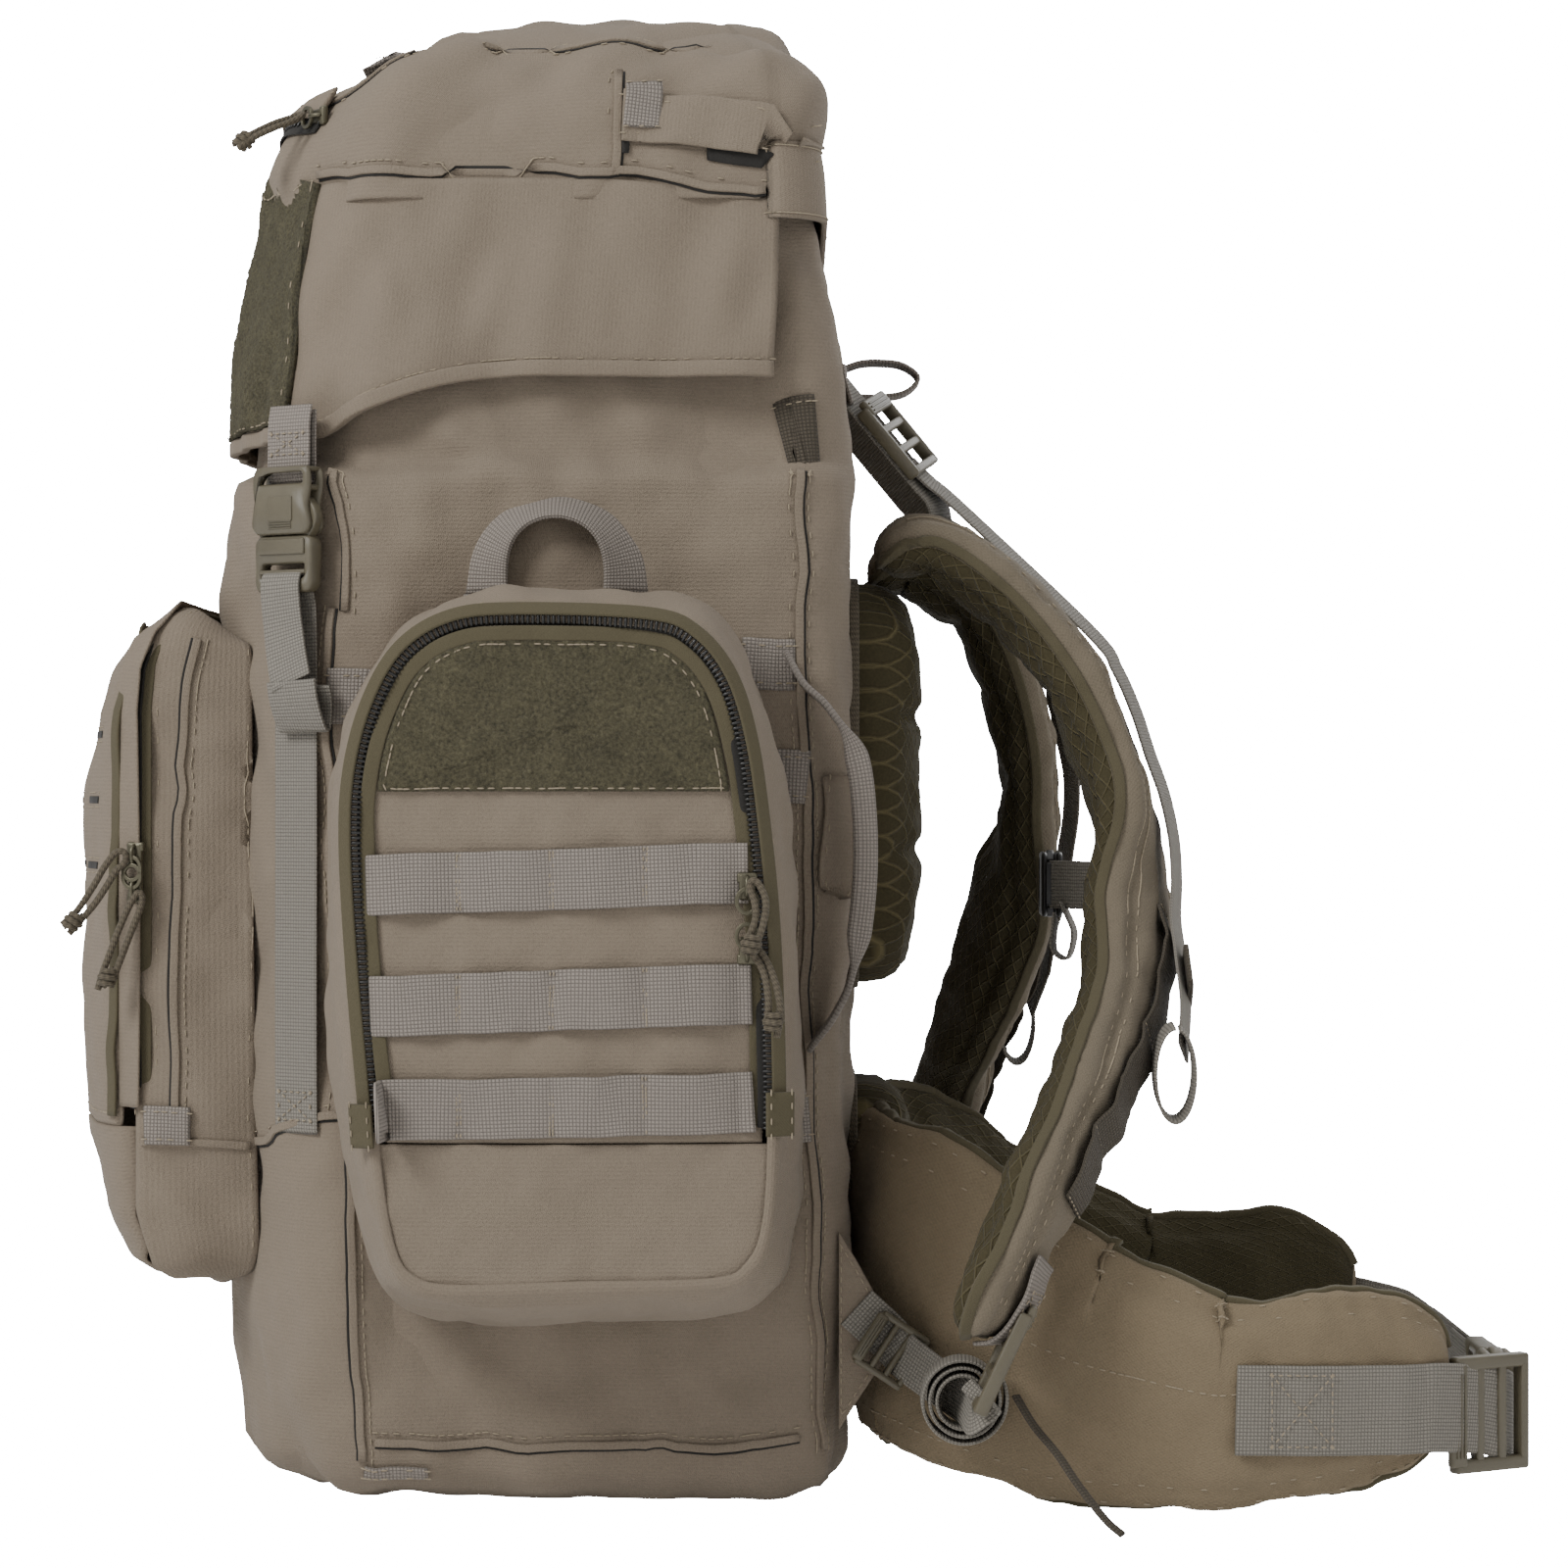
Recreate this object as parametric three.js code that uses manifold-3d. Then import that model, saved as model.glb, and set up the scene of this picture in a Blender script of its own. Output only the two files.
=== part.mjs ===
// A tall hunting backpack: hooded lid, one front and two side pockets, padded harness and hip belt.
// Millimetres. +Z is up, +X points to the wearer's back, -Y is the wearer's right-hand side.
// The origin is the centre of the bag's base, which stands on Z = 0.
import * as THREE from 'three';
import Module from 'manifold-3d';

const wasm = await Module();
wasm.setup();

// ---------------------------------------------------------------- driving dimensions
const BAG = { front: -141, rear: 142, half: 160, bulge: 74, corner: 22, wall: 4, mouth: 562 };
const LID = { front: -133, rear: 130, half: 161, bulge: 78, corner: 24, wall: 3, hem: 484, frontDip: 22 };
const LID_HINGE = { x: 127, z: 574 };
const FRONT_POCKET = { half: 120, depth: -204, edge: -168, bottom: 90, top: 383, wall: 4, doorSill: 158 };
const SIDE_POCKET = {
  base: { x0: -77, x1: 117, z0: 81, z1: 386, top: 80, bottom: 34 },
  face: { x0: -60, x1: 103, z0: 98, z1: 383, top: 72, bottom: 24 },
  inner: 160.6,
  outer: 235,
  wall: 4,
  doorSill: 160,
  rim: 7,
};
const WEBBING = { narrow: 20, standard: 25, wide: 38, thickness: 1.6 };
const PAD = { strapWidth: 64, strapTip: 44, strapThickness: 24, finThickness: 22 };
const GAP = 0.5;
const CORD = { diameter: 3, sides: 8 };
const SIDES = [['r', -1], ['l', 1]];

// ---------------------------------------------------------------- materials
const material = (color, roughness, metalness = 0) =>
  new THREE.MeshStandardMaterial({ color, roughness, metalness });
const FABRIC = material(0x8b8072, 0.85);
const WEB = material(0x85817a, 0.7);
const LOOP_PILE = material(0x4a4838, 0.95);
const MESH_PAD = material(0x2f2b20, 0.95);
const PLASTIC = material(0x5d5a48, 0.4);
const BOARD = material(0x2a2a2a, 0.5);
const ALUMINIUM = material(0xb8babd, 0.35, 1);
const ZIP_METAL = material(0x6e6b52, 0.4, 0.6);
const CORD_MATERIAL = material(0x77715f, 0.8);

// ---------------------------------------------------------------- geometry helpers
const at = (x, y, z) => new THREE.Vector3(x, y, z);
const Y_AXIS = at(0, 1, 0);
const Z_AXIS = at(0, 0, 1);

/** Closed solid through rings of equally many points, with a fan over each end. */
function loft(rings) {
  const count = rings[0].length;
  const points = rings.flat();
  const faces = [];
  for (let r = 0; r + 1 < rings.length; r++) {
    for (let i = 0; i < count; i++) {
      const a = r * count + i;
      const b = r * count + ((i + 1) % count);
      faces.push(a, b, b + count, a, b + count, a + count);
    }
  }
  const ends = [[rings[0], 0, true], [rings.at(-1), (rings.length - 1) * count, false]];
  for (const [ring, start, first] of ends) {
    const centre = points.length;
    points.push(ring.reduce((sum, p) => sum.add(p), at(0, 0, 0)).divideScalar(count));
    for (let i = 0; i < count; i++) {
      const a = start + i;
      const b = start + ((i + 1) % count);
      faces.push(...(first ? [centre, b, a] : [centre, a, b]));
    }
  }
  const geometry = new THREE.BufferGeometry().setFromPoints(points);
  geometry.setIndex(faces);
  return facingOut(geometry);
}

/** Turns every face over when the enclosed volume comes out negative. */
function facingOut(geometry) {
  const position = geometry.getAttribute('position');
  const index = geometry.getIndex().array;
  const corner = (i) => new THREE.Vector3().fromBufferAttribute(position, index[i]);
  let volume = 0;
  for (let i = 0; i < index.length; i += 3) volume += corner(i).dot(corner(i + 1).cross(corner(i + 2)));
  if (volume < 0) geometry.setIndex([...index].reverse());
  return geometry;
}

/** Position-only manifold solid of a three.js geometry, with equal corners welded. */
function solid(geometry) {
  const position = geometry.getAttribute('position');
  const index = geometry.getIndex() ? geometry.getIndex().array : [...Array(position.count).keys()];
  const numbers = new Map();
  const places = [];
  const corners = [];
  for (const i of index) {
    const p = [position.getX(i), position.getY(i), position.getZ(i)];
    const key = p.map((value) => value.toFixed(4)).join();
    if (!numbers.has(key)) {
      numbers.set(key, numbers.size);
      places.push(...p);
    }
    corners.push(numbers.get(key));
  }
  const triangles = [];
  for (let i = 0; i < corners.length; i += 3) {
    const [a, b, c] = corners.slice(i, i + 3);
    if (a !== b && b !== c && c !== a) triangles.push(a, b, c);
  }
  const mesh = new wasm.Mesh({
    numProp: 3,
    vertProperties: new Float32Array(places),
    triVerts: new Uint32Array(triangles),
  });
  return new wasm.Manifold(mesh);
}

/** three.js geometry of a manifold solid. */
function geometryOf(manifold) {
  const mesh = manifold.getMesh();
  const geometry = new THREE.BufferGeometry();
  geometry.setAttribute('position', new THREE.BufferAttribute(new Float32Array(mesh.vertProperties), 3));
  geometry.setIndex([...mesh.triVerts]);
  return geometry;
}

/** Box between two corners, given as [x, x], [y, y], [z, z] in either order. */
function box(xs, ys, zs) {
  const middle = [xs, ys, zs].map(([a, b]) => (a + b) / 2);
  const size = [xs, ys, zs].map(([a, b]) => Math.abs(b - a));
  return new THREE.BoxGeometry(...size).translate(...middle);
}

/** Value that runs from 0 to 1 with flat ends as x goes from low to high. */
const ease = (x, low, high) => THREE.MathUtils.smoothstep(x, low, high);

/**
 * Horizontal outline of the bag: a half-ellipse bulge in front, straight sides and rounded rear corners.
 * The points are numbered from the middle of the front round by the left side.
 */
function plan({ front, rear, half, bulge, corner }) {
  const points = [];
  const cornerSteps = 4;
  const frontSteps = 18;
  for (let i = 0; i <= frontSteps; i++) {
    const angle = Math.PI * (i / frontSteps - 0.5);
    points.push([front + bulge - bulge * Math.cos(angle), half * Math.sin(angle)]);
  }
  for (const side of [1, -1]) {
    for (let i = 0; i <= cornerSteps; i++) {
      const turn = (side > 0 ? i : cornerSteps - i) / cornerSteps * Math.PI / 2;
      const x = rear - corner + corner * Math.sin(turn);
      points.push([x, side * (half - corner + corner * Math.cos(turn))]);
    }
  }
  return points;
}

/** A ring of the outline at height z; dip lowers its front edge. */
function ring(outline, z, dip = 0) {
  return plan(outline).map(([x, y]) => at(x, y, z - dip * (1 - ease(x, -85, -40))));
}

const inset = (outline, by) => ({
  ...outline,
  front: outline.front + by,
  rear: outline.rear - by,
  half: outline.half - by,
  corner: Math.max(2, outline.corner - by),
});

/** Flat strap or pad along a smooth path: chamfered rectangles across the path, one after another. */
function band({ path, across = Y_AXIS, width, thickness, chamfer = 0, steps = 16, lean = 0 }) {
  const curve = new THREE.CatmullRomCurve3(path, false, 'centripetal');
  const rings = [];
  for (let i = 0; i <= steps; i++) {
    const t = i / steps;
    const frame = frameOn(curve, t, across, lean);
    const w = (typeof width === 'function' ? width(t) : width) / 2;
    const h = (typeof thickness === 'function' ? thickness(t) : thickness) / 2;
    const c = Math.min(chamfer, h * 0.9);
    const section = chamfer
      ? [[-w, -h + c], [-w + c, -h], [w - c, -h], [w, -h + c], [w, h - c], [w - c, h], [-w + c, h], [-w, h - c]]
      : [[-w, -h], [w, -h], [w, h], [-w, h]];
    rings.push(section.map(([u, v]) => frame.point.clone()
      .addScaledVector(frame.across, u)
      .addScaledVector(frame.out, v)));
  }
  return loft(rings);
}

/** Point, direction, width direction and outward direction on a curve. */
function frameOn(curve, t, across = Y_AXIS, lean = 0) {
  const point = curve.getPoint(t);
  const along = curve.getTangent(t).normalize();
  const wide = across.clone().applyAxisAngle(along, lean);
  wide.addScaledVector(along, -wide.dot(along)).normalize();
  const out = new THREE.Vector3().crossVectors(along, wide).normalize();
  return { point, along, across: wide, out };
}

/** Round cord along a route of points. */
function cord(route) {
  const shape = new THREE.Shape().absarc(0, 0, CORD.diameter / 2, 0, 2 * Math.PI);
  const extrudePath = new THREE.CatmullRomCurve3(route, false, 'centripetal');
  const steps = route.length * 3;
  return new THREE.ExtrudeGeometry(shape, { steps, curveSegments: CORD.sides / 2, extrudePath });
}

/** Adds one named piece to a group. */
function piece(group, name, geometry, look) {
  const mesh = new THREE.Mesh(geometry, look);
  mesh.name = name;
  group.add(mesh);
  return mesh;
}

const pack = new THREE.Group();

// ---------------------------------------------------------------- main bag and its frame
const BAG_LEVELS = [
  [0, { front: -112, rear: 132, half: 140 }],
  [8, { front: -126, rear: 138, half: 153 }],
  [26, { front: -134, rear: 141, half: 158 }],
  [110, { front: -138, half: 160 }],
  [300, {}],
  [430, { front: -139, half: 159.5 }],
  [450, { front: -127, rear: 141, half: 152 }],
  [520, { front: -124, rear: 137, half: 148 }],
  [BAG.mouth, { front: -119, rear: 126, half: 143 }],
];
const bagRings = (by, levels = BAG_LEVELS) =>
  levels.map(([z, change]) => ring(inset({ ...BAG, ...change }, by), z));

/** The open-mouthed bag, a shell with one opening at its top. */
function mainBag() {
  const room = bagRings(BAG.wall);
  for (const point of room[0]) point.z = BAG.wall;
  for (const point of room.at(-1)) point.z = BAG.mouth + 10;
  return geometryOf(solid(loft(bagRings(0))).subtract(solid(loft(room))));
}

/** A block a little larger than the bag, used to fit the front pocket to its curve. */
const bagClearance = () => solid(loft(bagRings(-GAP)));

function buildFrame() {
  const plate = { x: [132.5, 135], y: [-118, 118], z: [34, 470] };
  const stay = { x: [128.5, 132], y: [-12.5, 12.5], z: [30, 474] };
  piece(pack, 'frame_sheet', box(plate.x, plate.y, plate.z), BOARD);
  piece(pack, 'frame_stay', box(stay.x, stay.y, stay.z), ALUMINIUM);
}

// ---------------------------------------------------------------- front pocket
/** Outline of the front pocket seen from above: a shallow bulge between two straight gussets. */
function frontPocketPlan(by) {
  const { half, depth, edge } = FRONT_POCKET;
  const points = [];
  const steps = 12;
  for (let i = 0; i <= steps; i++) {
    const angle = Math.PI * (i / steps - 0.5);
    points.push([edge - (edge - depth - by) * Math.cos(angle), (half - by) * Math.sin(angle)]);
  }
  points.push([-70, half - by], [-70, by - half]);
  return points;
}

function frontPocketBlock(by) {
  const { bottom, top } = FRONT_POCKET;
  const levels = [[bottom + by, by + 7], [bottom + 10 + by, by], [top - 12 - by, by], [top - by, by + 9]];
  return solid(loft(levels.map(([z, shrink]) => frontPocketPlan(shrink).map(([x, y]) => at(x, y, z)))));
}

/** The gusseted tray sewn to the bag, and the face panel that its zip lets fall forward. */
function buildFrontPocket() {
  const { wall, doorSill, half, edge, top } = FRONT_POCKET;
  const backWall = solid(loft(bagRings(-GAP - wall)));
  const room = frontPocketBlock(wall).subtract(backWall);
  const shell = frontPocketBlock(0).subtract(bagClearance()).subtract(room);
  const door = (by) => solid(box([-260, edge + 3 - by], [by - half + 4, half - 4 - by], [doorSill + by, top - 9 - by]));
  piece(pack, 'front_pocket', geometryOf(shell.subtract(door(0))), FABRIC);
  piece(pack, 'front_pocket_face', geometryOf(shell.intersect(door(GAP))), FABRIC);
}

// ---------------------------------------------------------------- side pockets
/** Arched pocket outline in the X-Z plane with round top corners and smaller lower ones. */
function archOutline({ x0, x1, z0, z1, top, bottom }, by = 0) {
  const points = [];
  const corners = [
    [x0, z0, bottom, 180, 5],
    [x1, z0, bottom, 270, 5],
    [x1, z1, top, 0, 9],
    [x0, z1, top, 90, 9],
  ];
  for (const [x, z, radius, from, steps] of corners) {
    const cx = x + (x === x0 ? radius : -radius);
    const cz = z + (z === z0 ? radius : -radius);
    for (let i = 0; i <= steps; i++) {
      const angle = THREE.MathUtils.degToRad(from + 90 * i / steps);
      points.push([cx + (radius - by) * Math.cos(angle), cz + (radius - by) * Math.sin(angle)]);
    }
  }
  return points;
}

const archRing = (outline, by, y) => archOutline(outline, by).map(([x, z]) => at(x, y, z));

/** One side pocket: the tapered tray on the bag's side and the arched face hinged along its sill. */
function buildSidePocket(side, s) {
  const { base, face, inner, outer, wall, doorSill, rim } = SIDE_POCKET;
  const block = solid(loft([archRing(base, 0, s * inner), archRing(face, 0, s * outer)]));
  const room = solid(loft([archRing(base, wall, s * (inner + wall)), archRing(face, wall, s * (outer - wall))]));
  const shell = block.subtract(room);
  const door = (by) => solid(loft([archRing(face, rim + by, s * 225), archRing(face, rim + by, s * 250)]))
    .subtract(solid(box([-200, 200], [s * 200, s * 260], [0, doorSill + by])));
  piece(pack, `side_pocket_${side}`, geometryOf(shell.subtract(door(0))), FABRIC);
  piece(pack, `side_face_${side}`, geometryOf(shell.intersect(door(GAP))), FABRIC);
}

/** Webbing arch that stands above a side pocket. */
function buildArchHandle(side, s) {
  const middle = 18;
  const foot = 388.6;
  const arch = (rx, rz) => {
    const points = [];
    for (let i = 0; i <= 12; i++) {
      const angle = Math.PI * i / 12;
      points.push([middle + rx * Math.cos(angle), foot + rz * Math.sin(angle)]);
    }
    return points;
  };
  const outline = [...arch(40, 45), ...arch(19, 29).reverse()].map(([x, z]) => new THREE.Vector2(x, z));
  const geometry = new THREE.ExtrudeGeometry(new THREE.Shape(outline), { depth: 3.2, bevelEnabled: false });
  geometry.rotateX(Math.PI / 2);
  geometry.translate(0, s * 163 + 1.6, 0);
  piece(pack, `arch_handle_${side}`, geometry, WEB);
}

// ---------------------------------------------------------------- zip sliders and their pull cords
/** A small slider body centred on a point. */
const slider = (x, y, z) => box([x - 3.2, x + 3.2], [y - 2.4, y + 2.4], [z - 6, z + 6]);

function buildSliders() {
  const front = { x: FRONT_POCKET.edge + 3, y: -FRONT_POCKET.half - 3 };
  piece(pack, 'front_slider_upper', slider(front.x, front.y, 277), ZIP_METAL);
  piece(pack, 'front_slider_lower', slider(front.x, front.y, 262), ZIP_METAL);
  const side = { x: SIDE_POCKET.face.x1 - 3.1, y: -SIDE_POCKET.outer - 3 };
  piece(pack, 'side_slider_upper', slider(side.x, side.y, 266), ZIP_METAL);
  piece(pack, 'side_slider_lower', slider(side.x, side.y, 240), ZIP_METAL);
}

/** Each pull is a doubled cord that starts and ends at its knot and turns round at the slider's ring. */
const PULL_ROUTES = {
  front_pull_upper: [
    at(-195, -131, 243), at(-189, -130, 250), at(-184, -129.5, 256), at(-180, -129, 262), at(-177, -128.5, 267),
    at(-174.5, -128.2, 271), at(-172, -128, 273), at(-170.6, -128, 275.5), at(-171.5, -128, 278.5),
    at(-174.5, -128.2, 278.5), at(-177.5, -128.5, 275.5), at(-180.5, -129, 271), at(-183.5, -129.5, 265.5),
    at(-187.5, -130, 259), at(-192, -130.5, 252.5), at(-198, -131.5, 247),
  ],
  front_pull_lower: [
    at(-182, -134, 219), at(-180, -134, 226), at(-177.5, -133.5, 233), at(-175, -132.5, 240), at(-172.5, -131, 247),
    at(-170, -129.5, 253), at(-167.5, -128.6, 258), at(-165, -128.4, 261), at(-163.5, -128.4, 258.5),
    at(-164.3, -128.8, 254), at(-166.5, -130, 248), at(-169, -131.5, 241), at(-171.5, -133, 234),
    at(-174, -134, 227), at(-176.5, -134.5, 220),
  ],
  side_pull_upper: [
    at(102, -247.4, 237.5), at(103.4, -247.5, 242), at(105, -247.5, 246), at(106.5, -247, 251), at(107.5, -246, 256),
    at(107.5, -244.5, 260.5), at(106.2, -243.5, 264.5), at(104, -243.2, 268), at(101.5, -243.2, 268.3),
    at(101.5, -243.5, 264.5), at(103, -244.5, 260), at(103.6, -246, 255), at(102.5, -247, 250),
    at(100.5, -247.5, 245.5), at(98.5, -247.4, 242),
  ],
  side_pull_lower: [
    at(112, -245.5, 205), at(113, -246.5, 210), at(113.5, -247, 215.5), at(113, -247, 221), at(111.5, -246, 227),
    at(109.5, -244.8, 232.5), at(107, -243.8, 237.5), at(104.2, -243.2, 241), at(102, -243.2, 242.3),
    at(102.2, -243.8, 239.2), at(105.5, -245, 234), at(107.6, -246.2, 228), at(108.6, -247, 221),
    at(108.6, -247, 215), at(107.6, -246.5, 210),
  ],
  lid_pull: [
    at(-122, -128, 584), at(-117, -126.5, 588), at(-112, -125, 591), at(-107, -123.5, 593.5), at(-102.5, -121.5, 595.5),
    at(-98.5, -119.5, 597.5), at(-95.8, -117.3, 599.5), at(-95.4, -114.5, 600.8), at(-97.8, -112.8, 600.6),
    at(-101.5, -113.6, 599.2), at(-105.5, -115.8, 597.5), at(-109.5, -118, 595.5), at(-114, -120, 593),
    at(-119, -121.5, 590), at(-124, -122.5, 586.5),
  ],
};

// ---------------------------------------------------------------- lid
const LID_LEVELS = [
  [530, { front: -127, rear: 132, half: 159 }],
  [583, { front: -119, rear: 129, half: 155 }],
  [610, { front: -102, rear: 126, half: 146 }],
  [628, { front: -80, rear: 119, half: 130, bulge: 70 }],
  [645, { front: -44, rear: 98, half: 96, bulge: 60 }],
  [654, { front: -8, rear: 62, half: 52, bulge: 30 }],
];

/** The hood: a domed shell that is open below and, under its hinge line, at the back. */
function lidHood() {
  const outline = (change) => ({ ...LID, ...change });
  const outside = [ring(LID, LID.hem, LID.frontDip)];
  const room = [ring(inset(LID, LID.wall), LID.hem - 30, LID.frontDip)];
  for (const [z, change] of LID_LEVELS) {
    outside.push(ring(outline(change), z));
    room.push(ring(inset(outline(change), LID.wall), z - (z > 600 ? LID.wall : 0)));
  }
  const rearCut = solid(box([114, 200], [-200, 200], [400, LID_HINGE.z + 0.5]));
  const zipSlit = solid(box([-200, -74], [-116, 116], [597, 603]));
  const hood = solid(loft(outside)).subtract(solid(loft(room)));
  return geometryOf(hood.subtract(rearCut).subtract(zipSlit));
}

/** Flat panel that closes the lid's own zipped pocket from below. */
function lidLiner() {
  const outline = { ...LID, front: -113, rear: 119, half: 148 };
  return loft([ring(outline, 575), ring(outline, 577)]);
}

/** Patch of loop pile wrapped round the front of the hood: a slice of a skin just outside it. */
function lidLoopPatch() {
  const skin = (by) => {
    const levels = [[LID.hem, {}], ...LID_LEVELS.slice(0, 2)];
    return solid(loft(levels.map(([z, change]) => ring(inset({ ...LID, ...change }, by), z))));
  };
  const extent = solid(box([-200, -60], [-128, 128], [486, 578]));
  return geometryOf(skin(-2.6).subtract(skin(-0.8)).intersect(extent));
}

function buildLid() {
  piece(pack, 'lid_hood', lidHood(), FABRIC);
  piece(pack, 'lid_liner', lidLiner(), FABRIC);
  piece(pack, 'lid_loop_patch', lidLoopPatch(), LOOP_PILE);
  piece(pack, 'lid_slider', slider(-89.5, -114, 600), ZIP_METAL);
}

// ---------------------------------------------------------------- lid straps and their buckles
const BUCKLE = { width: 34, thickness: 11, top: 443, split: 415, bottom: 390, tongueHalf: 5 };
const STRAP_SEAT = { x: -93, y: 150 };

/** Group whose X runs along the bag's front corner, Y points into the bag and Z is up. */
function cornerFrame(s) {
  const slope = STRAP_SEAT.y / BAG.half;
  const turn = Math.atan2(Math.sqrt(1 - slope * slope) / BAG.bulge, slope / BAG.half);
  const frame = new THREE.Group();
  frame.position.set(STRAP_SEAT.x, s * STRAP_SEAT.y, 0);
  frame.rotation.z = s < 0 ? -turn : Math.PI + turn;
  pack.add(frame);
  return frame;
}

/** Socket half: a front plate, two cheeks and a top bar, open behind and below. */
function buckleFemale() {
  const { width, thickness, top, split } = BUCKLE;
  const body = solid(box([-width / 2, width / 2], [-1 - thickness, -1], [split, top]));
  return geometryOf(body.subtract(solid(box([-14, 14], [-9.5, 5], [split - 5, top - 6]))));
}

/** Plug half: a webbing frame with one centre tongue. */
function buckleMale() {
  const { width, split, bottom, tongueHalf } = BUCKLE;
  const frame = solid(box([-width / 2, width / 2], [-11, -3], [bottom, split - 1]));
  const slot = solid(box([-13, 13], [-20, 5], [bottom + 5, bottom + 12]));
  const tongue = solid(box([-tongueHalf, tongueHalf], [-8.5, -4.5], [split - 4, 434]));
  return geometryOf(frame.subtract(slot).add(tongue));
}

function buildLidFastening(side, s) {
  const frame = cornerFrame(s);
  const half = WEBBING.standard / 2;
  piece(frame, `lid_strap_${side}`, box([-half, half], [-6.8, -5.2], [BUCKLE.top + GAP, 460]), WEB);
  piece(frame, `buckle_female_${side}`, buckleFemale(), PLASTIC);
  piece(frame, `buckle_male_${side}`, buckleMale(), PLASTIC);
  piece(frame, `front_strap_${side}`, box([-half, half], [-2.2, -0.6], [162, 388]), WEB);
}

// ---------------------------------------------------------------- back padding
/** Pillow of foam: a rounded slab whose outer face is smaller than its inner one. */
function pillow([y0, y1], [z0, z1], [x0, x1], radius) {
  const levels = [[x0, 3], [x0 + 6, 0], [x1 - 8, 0], [x1, 9]];
  const outline = { x0: y0, x1: y1, z0, z1, top: radius, bottom: radius };
  return loft(levels.map(([x, shrink]) => archOutline(outline, shrink).map(([y, z]) => at(x, y, z))));
}

function buildBackPads() {
  const back = [BAG.rear + 0.8, 174];
  piece(pack, 'back_pad_r', pillow([-97, -10], [221, 384], back, 28), MESH_PAD);
  piece(pack, 'back_pad_l', pillow([10, 97], [221, 384], back, 28), MESH_PAD);
  piece(pack, 'lumbar_pad', pillow([-50, 50], [26, 172], back, 20), MESH_PAD);
}

// ---------------------------------------------------------------- shoulder straps
/** Centre lines from the bag's back over the shoulder and down outside the hip belt. */
const STRAP_PATHS = {
  r: [
    at(157, -75, 404), at(171, -75, 414), at(190, -75, 411), at(220, -77, 387), at(246, -80, 352), at(263, -87, 308),
    at(268, -97, 266), at(263, -118, 222), at(246, -156, 182), at(226, -197, 144), at(211, -211, 116),
    at(200, -214, 97), at(192, -214, 80),
  ],
  l: [
    at(157, 75, 404), at(171, 75, 413), at(188, 75, 407), at(209, 77, 390), at(226, 82, 355), at(235, 90, 308),
    at(229, 106, 260), at(213, 142, 204), at(200, 184, 162), at(193, 206, 125), at(190, 213, 95), at(189, 213, 80),
  ],
};
const LOCK = { width: 33, length: 46, thickness: 6 };

/** A ladder-lock plate with two webbing slots, laid flat on a frame. */
function ladderLock({ along, across, out }, centre, length = LOCK.length) {
  const { width, thickness } = LOCK;
  const plate = solid(box([-width / 2, width / 2], [-length / 2, length / 2], [-thickness / 2, thickness / 2]));
  const slot = (y) => solid(box([-width / 2 + 4, width / 2 - 4], [y - 3, y + 3], [-9, 9]));
  const geometry = geometryOf(plate.subtract(slot(length / 2 - 9)).subtract(slot(-length / 2 + 9)));
  const turn = new THREE.Matrix4().makeBasis(across, along, out).setPosition(centre);
  if (turn.determinant() < 0) turn.makeBasis(across.clone().negate(), along, out).setPosition(centre);
  return geometry.applyMatrix4(turn);
}

/** Outward is away from the wearer's back, whichever way the curve's own frame points. */
function outwardFrame(curve, t) {
  const frame = frameOn(curve, t);
  const away = at(1, 0, 0).addScaledVector(Z_AXIS, 0.3);
  if (frame.out.dot(away) < 0) frame.out.negate();
  return frame;
}

function buildShoulderStrap(side, s) {
  const path = STRAP_PATHS[side];
  const curve = new THREE.CatmullRomCurve3(path, false, 'centripetal');
  const taper = (t) => THREE.MathUtils.lerp(PAD.strapWidth, PAD.strapTip, ease(t, 0.5, 0.8));
  const strap = band({ path, width: taper, thickness: PAD.strapThickness, chamfer: 7, steps: 26 });
  piece(pack, `shoulder_strap_${side}`, strap, FABRIC);
  const end = outwardFrame(curve, 1);
  const centre = end.point.clone()
    .addScaledVector(end.out, PAD.strapThickness / 2 + LOCK.thickness / 2 + 1.2)
    .addScaledVector(end.along, 4);
  piece(pack, `lower_lock_${side}`, ladderLock(end, centre), PLASTIC);
  buildStrapWing(side, s, centre.addScaledVector(end.along, LOCK.length / 2 + 14));
}

/** Triangular fabric wing on the bag's rear edge with the webbing that runs from it to the strap's lock. */
function buildStrapWing(side, s, target) {
  const tip = at(160, s * 151, 71);
  const outline = [[139.6, 114], [162, 72], [139.6, 33]].map(([x, z]) => new THREE.Vector2(x, z));
  const plate = new THREE.ExtrudeGeometry(new THREE.Shape(outline), { depth: 3, bevelEnabled: false });
  plate.rotateX(Math.PI / 2);
  plate.translate(0, s * 151 + 1.5, 0);
  const middle = at(172, s * 176, 50);
  const path = [tip.clone().add(at(-8, 0, 2)), tip, middle, target];
  const web = band({ path, across: Z_AXIS, width: WEBBING.narrow, thickness: WEBBING.thickness, steps: 12 });
  piece(pack, `strap_wing_${side}`, geometryOf(solid(plate).add(solid(web))), FABRIC);
}

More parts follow.
